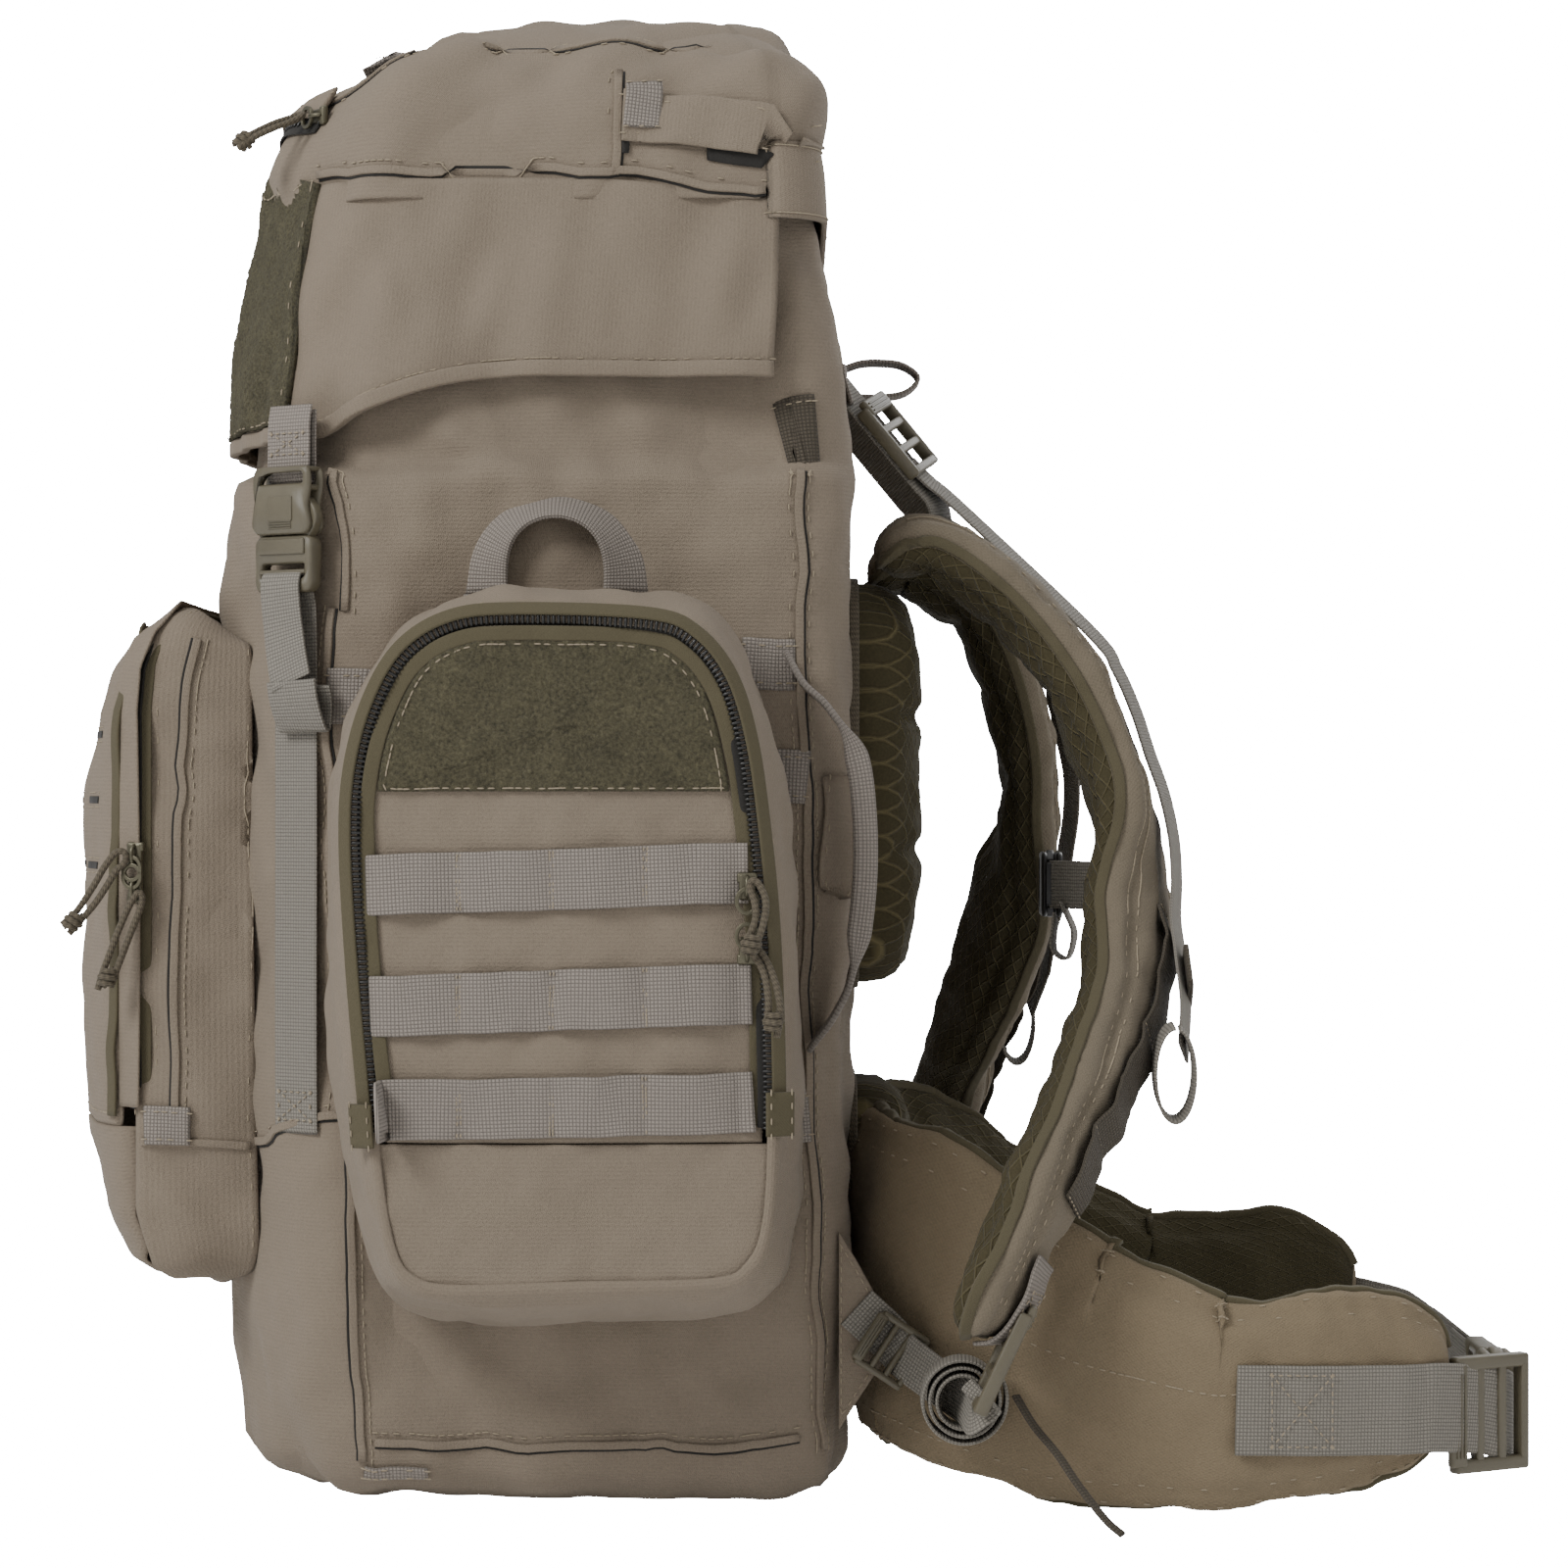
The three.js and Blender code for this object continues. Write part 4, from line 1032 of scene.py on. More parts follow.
def build_bag_trim():
    """Seams, edge piping, short webbing ends and the rear patches on the bag."""
    ridges, threads, webs, patches = [], [], [], []
    for _, s in SIDES:
        for path, rows in BAG_SEAMS:
            ridge, stitched = seam_on("bag", mirrored(path, s), rows=rows)
            ridges.append(ridge)
            threads += stitched
        pieces_of_web = [
            ([(-84, -158, 346), (-62, -160, 346)], 0.024), ([(98, -160, 359), (122, -158, 359)], 0.022),
            ([(104, -160, 311), (126, -156, 311)], 0.023), ([(112, -160, 167), (128, -156, 167)], 0.023),
            ([(-67, -157, 7), (-36, -158, 7)], 0.006),
        ]
        for path, width in pieces_of_web:
            line, out = GROUNDS["bag"].lay(smooth(np.array(mirrored(path, s)) * MM, 10), 0.0002)
            webs.append(laid_strap(line, out, width, 0.0018))
            for share in (-0.36, 0.36):
                side = np.cross(out, unit(np.gradient(line, axis=0)))
                threads.append(stitches(line + side * width * share + out * 0.0018, out))
        line, out = GROUNDS["bag"].lay(smooth(np.array(mirrored([(110, -155, 457), (134, -148, 457)],
            s)) * MM, 12))
        patches.append(laid_strap(line, out, 0.036, 0.0018))
        for share in (-0.015, 0.015):
            side = np.cross(out, unit(np.gradient(line, axis=0)))
            threads.append(stitches(line + side * share + out * 0.0018, out))
    mouth = Drum(BAG_PLANS, 2).at([561])[0]
    rim = np.vstack([mouth, mouth[:1]])
    ridges.append(tube(rim, 0.0052, 8, (0, 0, 1)))
    piece("bag_seams", together(ridges), "shell", "pack")
    # Dark strips of painted shadow beside the bag's seams.
    piece("bag_painted_seam_shadows", together(SEAM_SHADOW_STRIPS["bag"]), "zip_tape", "pack")
    piece("bag_threads", together(threads), "thread", "pack")
    piece("bag_webbing_ends", together(webs), "webbing", "pack")
    piece("rear_patches", together(patches), "dark_webbing", "pack")


LID_FOLDS = [
    ((-60, -120, 596), (-20, -135, 580), 7, 1.6),
    ((52, -130, 596), (100, -134, 588), 7, -1.8),
    ((-40, -80, 634), (30, -95, 628), 9, 1.4),
    ((50, -60, 646), (96, -90, 630), 8, 1.6),
    ((-20, -20, 652), (40, 10, 656), 9, 1.2),
    ((60, -150, 578), (110, -148, 566), 5, 1.6),
]
SKIRT_FOLDS = [
    ((-20, -160, 486), (-2, -161, 540), 6, 1.8),
    ((-40, -158, 500), (-58, -154, 556), 6, -1.6),
    ((40, -161, 490), (30, -160, 550), 8, 1.4),
    ((84, -160, 488), (98, -158, 556), 7, 1.8),
    ((100, -160, 500), (112, -150, 548), 5, -1.5),
]


def build_lid_dome():
    """The lid's dome: from its top down to the rim above the skirt, then back up inside."""
    drum, inside = Drum(LID_PLANS), Drum(LID_PLANS, 3)
    x = drum.at([566])[0][:, 0]
    rim = 558 + 17 * ease(x, 0.104, 0.114)
    shares = np.linspace(0, 1, 44)
    outer = drum.at(651 - (651 - rim)[None, :] * shares[:, None] ** 0.85)
    crown = cap_rows(outer[0], (0.08, 0.22, 0.36, 0.5, 0.64, 0.78, 0.9), 0.0022)
    outer = folded(np.concatenate([crown, outer]), LID_FOLDS, 31, 1.15)
    inner = inside.at(rim + (647 - rim)[None, :] * np.linspace(0.01, 1, 12)[:, None])
    ceiling = cap_rows(inner[-1] - (0, 0, 0.002), (0.7, 0.35), 0.001)
    surface = skin(np.concatenate([outer, inner, ceiling]), planar=None)
    GROUNDS["dome"] = Ground(surface)
    piece("lid_dome", surface, "shell", "lid", ["lid_hood"])


def wrapped(drum, first, last, top, bottom, lift, thickness, rows=34, folds=(), seed=0, depth=1.0):
    """A closed panel wrapped round a drum between two columns and two heights, that may vary with x:
    outer face, lower edge, inner face and upper edge make one ring at each column."""
    x = drum.at([520])[0][:, 0]
    shares = np.linspace(0, 1, rows)[:, None]
    grid = drum.at((top(x)[None] + (bottom(x) - top(x))[None] * shares))
    normals = row_normals(grid)
    centre = grid.mean((0, 1))
    normals *= np.sign((normals * (grid - centre)).sum())
    if folds:
        grid = folded(grid, folds, seed, depth)
    front = (grid + normals * lift)[:, first:last]
    back = (grid + normals * (lift - thickness))[:, first:last]
    ring = np.concatenate([front, back[::-1]])
    return skin(ring.transpose(1, 0, 2)), front, normals[:, first:last]


def columns_where(drum, height, test):
    """First and last column whose point at that height passes the test."""
    found = np.flatnonzero(test(drum.at([height])[0]))
    return found[0], found[-1] + 1


def build_lid_skirt():
    """Skirt that hangs from the dome's seam round the front and sides, with its hem and loop patch."""
    drum = Drum(LID_PLANS)
    first, last = columns_where(drum, 520, lambda p: p[:, 0] < 0.1135)
    surface, front, normals = wrapped(
        drum, first, last, lambda x: 567 - 9 * ease(x, 0.02, 0.12), lambda x: 484 - lid_dip(x),
        0.0014, 0.0026, folds=SKIRT_FOLDS, seed=41)
    GROUNDS["skirt"] = Ground(surface)
    piece("lid_skirt", surface, "shell", "lid")
    hem = front[-1]
    out = unit(normals[-1])
    bind = [strap(hem + out * 0.0001 + (0, 0, 0.001), (0, 0, 1), 0.007, 0.0042)]
    raised = hem + (0, 0, 0.0052)
    line, lay = GROUNDS["skirt"].lay(raised)
    threads = [stitches(line, lay)]
    first, last = columns_where(drum, 520, lambda p: (p[:, 0] < -0.086) & (np.abs(p[:, 1]) < 0.137))
    patch, face, normals = wrapped(
        drum, first, last, lambda x: 578 - 12 * ease(x, -0.125, -0.08), lambda x: 489 - lid_dip(x),
        0.0046, 0.0030, rows=60, folds=SKIRT_FOLDS, seed=41)
    noise = ripple(patch.points, 0.004, 5) * 0.00022 + ripple(patch.points, 0.0018, 6) * 0.00016
    patch.points = patch.points + (patch.points - (0.02, 0, patch.points[:, 2:].mean())) * noise[:, None] * 6
    piece("loop_patch", patch, "loop", "lid", ["lid_loop_patch"])
    edge = np.concatenate([face[0], face[:, -1], face[-1][::-1], face[::-1, 0]])
    centre = face.mean((0, 1))
    edge = edge + (centre - edge) * 0.022
    line, lay = GROUNDS["skirt"].lay(evenly(edge, 260, closed=True))
    threads.append(stitches(line + lay * 0.0036, lay))
    piece("lid_hem", together(bind), "shell", "lid")
    piece("skirt_threads", together(threads), "thread", "lid")


LID_SEAMS = [
    ([(-112, -40, 590), (-90, -100, 612), (-66, -112, 618), (-39, -118, 624), (-8, -121, 628), (40, -121,
    630),
      (80, -116, 628), (116, -80, 622)], (0.0042, -0.0042)),
    ([(44, -121, 629), (44, -140, 604), (44, -150, 580), (44, -152, 568)], (-0.0042,)),
    ([(-92, -122, 572), (-76, -138, 571), (-40, -152, 571), (0, -155, 571), (40, -156, 570), (80, -156, 565),
      (108, -152, 563)], (0.0042,)),
]


def lid_path(points, s, lift=0.0, count=60):
    """A path near the dome laid on it, with the normals."""
    line = smooth(np.array(mirrored(points, s)) * MM, count)
    return GROUNDS["dome"].lay(line, lift)


def build_lid_hinge():
    """Shell cloth across the rear, from the bag up to the dome's rear seam."""
    grid = np.roll(Drum(LID_PLANS).at(np.linspace(583, 550, 34)), COLUMNS // 2, axis=1)
    grid = grid[:, grid[0, :, 0] > 0.107]
    normals = row_normals(grid)
    normals *= np.sign(normals[:, :, 0].mean())
    front = grid + normals * 0.0022
    back = grid - normals * 0.0004
    surface = skin(np.concatenate([front, back[::-1]]).transpose(1, 0, 2))
    made = piece("lid_hinge_cloth", surface, "shell", None)
    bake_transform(made)
    for row, body in ((2, "lid"), (31, "pack")):
        threads = stitches(front[row] + normals[row] * 0.0002, normals[row])
        piece(f"lid_hinge_threads_{body}", threads, "thread", body)


def build_lid_trim():
    """Seams, storm flaps, zips and webbing tabs of the lid."""
    ridges, threads, flaps, tabs, tapes, teeth = [], [], [], [], [], []
    for _, s in SIDES:
        for path, rows in LID_SEAMS:
            ridge, stitched = seam_on("dome", mirrored(path, s), rows=rows)
            ridges.append(ridge)
            threads += stitched
        line, out = lid_path([(46, -146, 594), (72, -148, 593), (98, -146, 589), (124, -132, 584)], s)
        flaps.append(laid_strap(line + out * 0.0016, out, 0.023, 0.0022))
        drop = np.array([0, 0, -0.0125])
        low, normal = GROUNDS["dome"].lay(line + drop, 0.0004)
        tapes.append(laid_strap(low, normal, 0.008, 0.0012))
        for shift in (0.0085, -0.0085):
            row, normal = GROUNDS["dome"].lay(line + (0, 0, shift), 0.0038)
            threads.append(stitches(row, normal))
        for path, width in (([(-60, -113, 604), (-58, -106, 622)], 0.021),
            ([(54, -146, 588), (54, -138, 606)], 0.016)):
            line, out = lid_path(path, s, 0.0030, 12)
            tabs.append(laid_strap(line, out, width, 0.0020))
            for share in (0.0, 1.0):
                across = np.cross(out, unit(np.gradient(line, axis=0)))
                spot = int(share * 11)
                bar = line[spot] + np.linspace(-0.42, 0.42, 12)[:,
                    None] * across[spot] * width + out[spot] * 0.0021
                threads.append(stitches(bar, np.tile(out[spot], (12, 1)), 0.8))
    centre = np.linspace(-117, 117, 90)
    arc = np.column_stack([-30 - 94 * np.sqrt(1 - (centre / 151) ** 2), centre, np.full(90, 600.0)]) * MM
    line, out = GROUNDS["dome"].lay(arc, 0.0003)
    tapes.append(laid_strap(line, out, 0.013, 0.0012))
    teeth.append(zip_teeth(line + out * 0.0016, out))
    high, normal = GROUNDS["dome"].lay(line + (0, 0, 0.0115), 0.0026)
    flaps.append(laid_strap(high, normal, 0.016, 0.0022))
    row, normal = GROUNDS["dome"].lay(line + (0, 0, 0.0165), 0.0047)
    threads.append(stitches(row, normal))
    piece("lid_seams", together(ridges), "shell", "lid")
    # Dark strips of painted shadow beside the lid's seams.
    piece("lid_painted_seam_shadows", together(SEAM_SHADOW_STRIPS["dome"]), "zip_tape", "lid")
    build_lid_hinge()
    piece("lid_flaps", together(flaps), "shell", "lid")
    piece("lid_threads", together(threads), "thread", "lid")
    piece("lid_tabs", together(tabs), "webbing", "lid")
    piece("lid_zip_tapes", together(tapes), "zip_tape", "lid")
    piece("lid_zip_teeth", together(teeth), "zip_teeth", "lid")
    drum = Drum(LID_PLANS, 5)
    rim = drum.at([576])[0]
    lower = rim - (0, 0, 0.0016)
    sag = [row - (0, 0, 0.004 * (1 - share**2)) for share, row in
           zip((0.08, 0.4, 0.7, 0.93), cap_rows(rim, (0.08, 0.4, 0.7, 0.93)))]
    under = [row - (0, 0, 0.004 * (1 - share**2)) for share, row in
             zip((0.93, 0.7, 0.4, 0.08), cap_rows(lower, (0.93, 0.7, 0.4, 0.08)))]
    piece("lid_lining", skin(np.array(sag + [rim, lower] + under)), "lining", "lid",
        ["lid_liner"])


def zip_teeth(path, out, width=0.0052):
    """A closed coil zip: one small crosswise tooth after another along the path."""
    total = np.linalg.norm(np.diff(path, axis=0), axis=1).sum()
    count = int(total / sizes().zip_pitch)
    both = evenly(np.hstack([path, out]), count)
    places, normals = both[:, :3], unit(both[:, 3:])
    along = unit(np.gradient(places, axis=0))
    tooth = spindle(width, 0.0015, 0.0017, 5)
    return copies(tooth, places, np.cross(normals, along), normals)


# ---------------------------------------------------------------- pockets
def arch_outline(shape, inset=0.0, count=300):
    """Closed outline of an arched pocket in the X-Z plane, in mm, from the bottom left round by the right:
    a smooth loop through the shape's points, moved inwards by inset."""
    points = np.array(shape, float)
    loop = smooth(np.vstack([points[-2:], points, points[:3]]), 900)
    start = int(np.argmin(np.linalg.norm(loop[:200] - points[0], axis=1)))
    end = 700 + int(np.argmin(np.linalg.norm(loop[700:] - points[0], axis=1)))
    loop = evenly(loop[start:end], count, closed=True)
    along = unit(np.roll(loop, -1, axis=0) - np.roll(loop, 1, axis=0))
    return loop + inset * np.stack([-along[:, 1], along[:, 0]], axis=1)


def clipped(outline, keep, axis, limit, count=300):
    """The part of an outline above or below a limit on one axis, closed by the straight line between its
    ends."""
    inside = outline[:, axis] > limit if keep == "above" else outline[:, axis] < limit
    start = np.flatnonzero(inside & ~np.roll(inside, 1))[0]
    part = np.roll(outline, -start, axis=0)[: inside.sum()]
    ends = part[[0, -1]].copy()
    ends[:, axis] = limit
    closed = np.vstack([ends[:1], part, ends[1:]])
    bottom = np.linspace(closed[-1], closed[0], 60)[1:-1]
    return evenly(np.vstack([closed, bottom]), count, closed=True)


def panel(outline, place, thickness, fine=12):
    """A closed cloth panel over a flat outline: rings shrink to the middle on its front and grow again on its
    back. place turns flat points and a height above the panel into points in space."""
    centre = outline.mean(0)
    shares = np.concatenate([[0.03], np.linspace(0.12, 0.9, fine), [0.955, 0.985]])
    rows = [place(centre + (outline - centre) * share, 0.0) for share in shares]
    rows += [place(outline, -thickness * 0.3), place(outline, -thickness * 0.7)]
    rows += [place(centre + (outline - centre) * share, -thickness) for share in (0.985, 0.8, 0.5, 0.2,
        0.03)]
    return rows


def side_face_place(s):
    """Places flat points on a side pocket's face, which bows out a little and waves softly."""
    def place(flat, height):
        x, z = flat[:, 0], flat[:, 1]
        bow = 5.0 * np.clip(1 - ((x - 21) / 82) ** 2, 0, 1) * np.clip(1 - ((z - 240) / 170) ** 2, 0, 1)
        points = np.column_stack([x, s * (POCKET_OUTER - 2.5 + bow), z]) * MM
        wave = 0.0007 * ripple(points, 0.06, 71) + 0.0003 * ripple(points, 0.02, 72)
        points[:, 1] += s * (wave + height)
        return points
    return place


def gusset_rows(base, face, levels, place):
    """Rings of a pocket's gusset at levels of (depth, share from base to face outline, inset, outward
    bulge)."""
    rows = []
    for depth, share, inset, bulge in levels:
        flat = base * (1 - share) + face * share
        centre = flat.mean(0)
        outward = unit(flat - centre)
        rows.append(place(flat + outward * (bulge - inset), depth))
    return np.array(rows)


SIDE_FOLDS = [
    ((-66, -190, 330), (-70, -215, 290), 5, 1.6),
    ((-60, -180, 130), (-40, -215, 100), 6, 2.0),
    ((0, -180, 84), (40, -220, 90), 7, 1.8),
    ((80, -185, 92), (112, -215, 120), 7, 2.0),
    ((115, -185, 250), (110, -220, 200), 6, 1.6),
    ((60, -190, 384), (90, -215, 372), 5, 1.6),
]


def build_side_pockets():
    """Both side pockets: gusset tray, fixed lower face, hinged face with its loop panel and webbing rows,
    zip."""
    for side, s in SIDES:
        build_side_tray(side, s)
        build_side_face(side, s)
        build_side_zip(side, s)


def build_side_tray(side, s):
    """Gusset tray and fixed lower face of a side pocket."""
    base, face = arch_outline(POCKET_BASE), arch_outline(POCKET_FACE)
    depth = POCKET_OUTER - POCKET_INNER
    outer = [(depth * t, t, 0, 6.5 * math.sin(math.pi * min(t / 0.96, 1)) ** 0.8) for t in np.linspace(0,
        0.93, 22)]
    edge = [(depth * 0.965, 0.97, 0, 0.2), (depth * 0.99, 1, 1.2, 0), (depth, 1, 3, 0), (depth, 1, 5.6, 0),
            (depth - 0.6, 1, 6.4, 0), (depth - 1.8, 1, 6.0, 0), (depth - 2.6, 1, 3.5, 0)]
    inner = [(depth * t, t, 2.6,
        6.5 * math.sin(math.pi * min(t / 0.96, 1)) ** 0.8) for t in np.linspace(0.9, 0.0, 8)]

    def place(flat, height):
        return np.column_stack([flat[:, 0], np.full(len(flat), s * (POCKET_INNER + height)), flat[:,
            1]]) * MM

    rows = gusset_rows(base, face, outer + edge + inner, place)
    count = len(outer)
    rows[:count] = folded(rows[:count], SIDE_FOLDS, 51, 0.9)
    surface = skin(rows, round_along=True)
    GROUNDS["side_tray_" + side] = Ground(surface)
    piece(f"side_tray_{side}", surface, "shell", "pack", [f"side_pocket_{side}"])
    lower = clipped(arch_outline(POCKET_FACE, 3.0), "below", 1, POCKET_SILL + 0.5)
    sill = skin(np.array(panel(lower, side_face_place(s), 0.0028)), planar=(0, 2))
    piece(f"side_lower_face_{side}", sill, "shell", "pack")


def cast_side(name, points, s, lift):
    """Points in mm in the X-Z plane cast onto a side pocket's face."""
    points = np.asarray(points, float)
    start = np.column_stack([points[:, 0], np.full(len(points), s * 250.0), points[:, 1]]) * MM
    return GROUNDS[name].cast(start, (0, -s, 0), lift)


def build_side_face(side, s):
    """Hinged face of a side pocket: binding, loop panel, webbing rows and stitches."""
    body = f"side_door_{side}"
    outline = clipped(arch_outline(POCKET_FACE, POCKET_RIM), "above", 1, POCKET_SILL + 1.0)
    surface = skin(np.array(panel(outline, side_face_place(s), 0.0030, 26)), planar=(0, 2))
    ground = "side_face_" + side
    GROUNDS[ground] = Ground(surface)
    piece(f"side_panel_{side}", surface, "shell", body, [f"side_face_{side}"])
    threads, webs = [], []
    centre = outline.mean(0)
    rim, out = cast_side(ground, centre + (outline - centre) * 0.972, s, 0.0004)
    arch = rim[:, 2] > (POCKET_SILL + 8) * MM
    order = np.roll(np.arange(len(rim)), -int(np.flatnonzero(arch & ~np.roll(arch, 1))[0]))[: arch.sum()]
    binding = laid_strap(rim[order], out[order], 0.0062, 0.0016)
    inset, normal = cast_side(ground, centre + (outline - centre) * 0.945, s, 0.0)
    threads.append(stitches(inset[order], normal[order]))
    upper = clipped(arch_outline(POCKET_FACE, POCKET_RIM + 6), "above", 1, 305)
    rows = []
    for row in panel(upper, lambda flat, height: np.column_stack([flat, np.full(len(flat), height)]),
        0.0022, 20):
        line, normal = cast_side(ground, row[:, :2], s, 0.0020)
        rows.append(line + normal * row[:, 2:])
    patch = skin(np.array(rows), planar=(0, 2))
    noise = ripple(patch.points, 0.004, 8) * 0.0002 + ripple(patch.points, 0.0018, 9) * 0.00014
    patch.points[:, 1] += s * noise
    middle = upper.mean(0)
    line, normal = cast_side(ground, middle + (upper - middle) * 0.955, s, 0.0021)
    threads.append(stitches(np.vstack([line, line[:1]]), np.vstack([normal, normal[:1]])))
    for height, slope in ((268.5, 5), (219, 5), (176.5, 3)):
        left, right = -50.0 - (height - 173) * 0.06, 103.0 - (height - 173) * 0.03
        x = np.linspace(left, right, 90)
        loft = 0.4 + 2.3 * np.abs(np.sin(math.pi * (x - 20) / 38)) ** 0.7
        row, normal = cast_side(ground, np.column_stack([x, height - 2 + slope * (x + 52) / 147]), s, 0.0)
        webs.append(laid_strap(row + normal * loft[:, None] * MM, normal, sizes().webbing, 0.0017))
        for bar in (-18, 20, 58):
            middle_z = height - 2 + slope * (bar + 52) / 147
            for shift in (-0.7, 0.7):
                z = np.linspace(middle_z - 11, middle_z + 11, 16)
                line, normal = cast_side(ground, np.column_stack([np.full(16, bar + shift), z]), s, 0.0022)
                threads.append(stitches(line, normal, 0.62))
    piece(f"side_binding_{side}", binding, "binding", body)
    piece(f"side_loop_panel_{side}", patch, "loop", body)
    piece(f"side_webbing_rows_{side}", together(webs), "webbing", body)
    piece(f"side_face_threads_{side}", together(threads), "thread", body)


def build_side_zip(side, s):
    """Zip tape and teeth round the arch, the tray's bound edge, and the cloth garages over the zip's ends."""
    outline = arch_outline(POCKET_FACE, 4.6)
    arch = outline[:, 1] > POCKET_SILL + 6
    start = int(np.flatnonzero(arch & ~np.roll(arch, 1))[0])
    line = np.roll(outline, -start, axis=0)[: arch.sum()]
    path = np.column_stack([line[:, 0], np.full(len(line), s * (POCKET_OUTER + 0.4)), line[:, 1]]) * MM
    out = np.tile((0.0, float(s), 0.0), (len(path), 1))
    tape = laid_strap(path - out * 0.0022, out, 0.0092, 0.0014)
    teeth = zip_teeth(path + out * 0.0002, out, 0.0050)
    edge = arch_outline(POCKET_FACE, 0.6)
    edge = np.roll(edge, -start, axis=0)[: arch.sum()]
    raised = np.column_stack([edge[:, 0], np.full(len(edge), s * (POCKET_OUTER - 0.6)), edge[:, 1]]) * MM
    centre = raised.mean(0)
    slanted = unit(unit(raised - centre) * 0.75 + out)
    bound = laid_strap(raised, slanted, 0.0062, 0.0016)
    threads = []
    ground = GROUNDS["side_tray_" + side]
    away = unit((raised - centre) * (1, 0, 1))
    row, normal = ground.lay(raised + away * 0.002 - out * 0.007)
    threads.append(stitches(row, normal))
    garages = []
    for x, z, turn in ((-57, 168, -1), (112, 173, 1)):
        points = np.array([(x, 0, z - 9), (x, 0, z + 9)]) + (0, s * POCKET_OUTER, 0)
        line, normal = ground.lay(smooth(points * MM, 12), 0.0005)
        normal = unit(normal + np.array([turn * 0.6, s, 0]))
        garages.append(laid_strap(line + normal * 0.002, normal, 0.013, 0.0020))
        for shift in (-0.0048, 0.0048):
            across = np.cross(normal, unit(np.gradient(line, axis=0)))
            threads.append(stitches(line + across * shift + normal * 0.0042, normal))
    piece(f"side_zip_tape_{side}", tape, "zip_tape", "pack")
    piece(f"side_zip_teeth_{side}", teeth, "zip_teeth", "pack")
    piece(f"side_tray_binding_{side}", together([bound] + garages), "binding", "pack")
    piece(f"side_tray_threads_{side}", together(threads), "thread", "pack")


# ---------------------------------------------------------------- front pocket
FRONT_PLANS = np.array([
    (90, -160, -142, 108), (93, -170, -152, 114), (100, -182, -162, 118), (120, -193, -168, 120), (150,
    -202, -168, 120),
    (190, -204, -168, 120), (263, -204.5, -168, 120), (308, -202, -168, 120), (340, -196, -168, 119.5),
    (360, -188, -166, 118), (374, -177, -161, 115), (383, -163, -153, 109),
])


def front_value(z, column):
    """One column of the front pocket's plan table at heights in mm."""
    return np.interp(z, FRONT_PLANS[:, 0], FRONT_PLANS[:, column])


def front_face_place(flat, height):
    """Places flat (y, z) points on the front pocket's bulging face: half an ellipse from gusset to gusset."""
    y, z = flat[:, 0], flat[:, 1]
    depth, edge, half = (front_value(z, column) for column in (1, 2, 3))
    bow = np.sqrt(np.clip(1 - (y / (half - 2.5)) ** 2, 0, 1))
    x = edge - (edge - depth) * bow
    points = np.column_stack([x, y, z]) * MM
    slope = np.column_stack([np.full(len(y), -1.0), y / half * (edge - depth) / half / np.maximum(bow, 0.3),
        0 * y])
    wave = 0.0008 * ripple(points, 0.07, 81) + 0.0003 * ripple(points, 0.022, 82)
    return points + unit(slope) * (wave + height)[:, None]


def rounded_front(inset=0.0, count=320):
    """Outline of the front pocket in the Y-Z plane, in mm, with round corners."""
    width, height = 2 * (FRONT_HALF - inset), FRONT_TOP - FRONT_BOTTOM - 2 * inset
    flat = rounded_box(width, height, 22 - min(inset, 12), count)
    return flat + (0, (FRONT_TOP + FRONT_BOTTOM) / 2)


def build_front_pocket():
    """Front pocket: gusset tray, fixed lower face, hinged face, laser-cut slots, zip, binding and tab."""
    outline = rounded_front()
    y, z = outline[:, 0], outline[:, 1]
    drum = Drum(BAG_PLANS, -0.8)
    ring = drum.at(z)
    level = np.array([np.interp(abs(a), np.abs(r[90:181, 1])[::-1] / MM, r[90:181, 0][::-1] / MM)
                      for a, r in zip(y, ring)])
    face_x = front_value(z, 2)
    centre = outline.mean(0)
    outward = unit(outline - centre)
    rows = []
    outer = [(t, 0.0, 2.5 * math.sin(math.pi * t)) for t in np.linspace(0, 0.96, 20)]
    edge = [(0.99, 1.2, 0), (1.0, 3.0, 0), (1.0, 5.0, 0), (0.985, 5.6, 0), (0.96, 4.6, 0)]
    inner = [(t, 2.8, 2.5 * math.sin(math.pi * t)) for t in np.linspace(0.94, 0, 8)]
    slant = 9 * ease(z, 366, 383)
    for share, inset, bulge in outer + edge + inner:
        flat = outline + outward * (bulge - inset)
        x = level * (1 - share) + face_x * share
        height = flat[:, 1] - slant * (1 - share)
        rows.append(np.column_stack([x, flat[:, 0], height]) * MM)
    rows = np.array(rows)
    rows[:20] = folded(rows[:20], FRONT_FOLDS, 61, 0.9)
    surface = skin(rows, round_along=True)
    GROUNDS["front_tray"] = Ground(surface)
    piece("front_tray", surface, "shell", "pack", ["front_pocket"])
    lower = clipped(rounded_front(2.5), "below", 1, FRONT_SILL + 0.5)
    sill = skin(np.array(panel(lower, front_face_place, 0.0028, 20)), planar=(1, 2))
    piece("front_lower_face", sill, "shell", "pack")
    build_front_face()
    build_front_zip(outline, face_x)


FRONT_FOLDS = [
    ((-160, -121, 330), (-128, -121, 290), 6, 1.6),
    ((-150, -121, 240), (-120, -121, 215), 7, -1.4),
    ((-160, -121, 130), (-124, -121, 108), 5, 1.8),
    ((-140, -110, 383), (-152, -60, 383), 6, 1.4),
]


def front_row(points, lift, ground="front_face"):
    """Points given as (y, z) in mm cast from the front onto the pocket's face."""
    points = np.asarray(points, float)
    start = np.column_stack([np.full(len(points), -230.0), points]) * MM
    return GROUNDS[ground].cast(start, (1, 0, 0), lift)


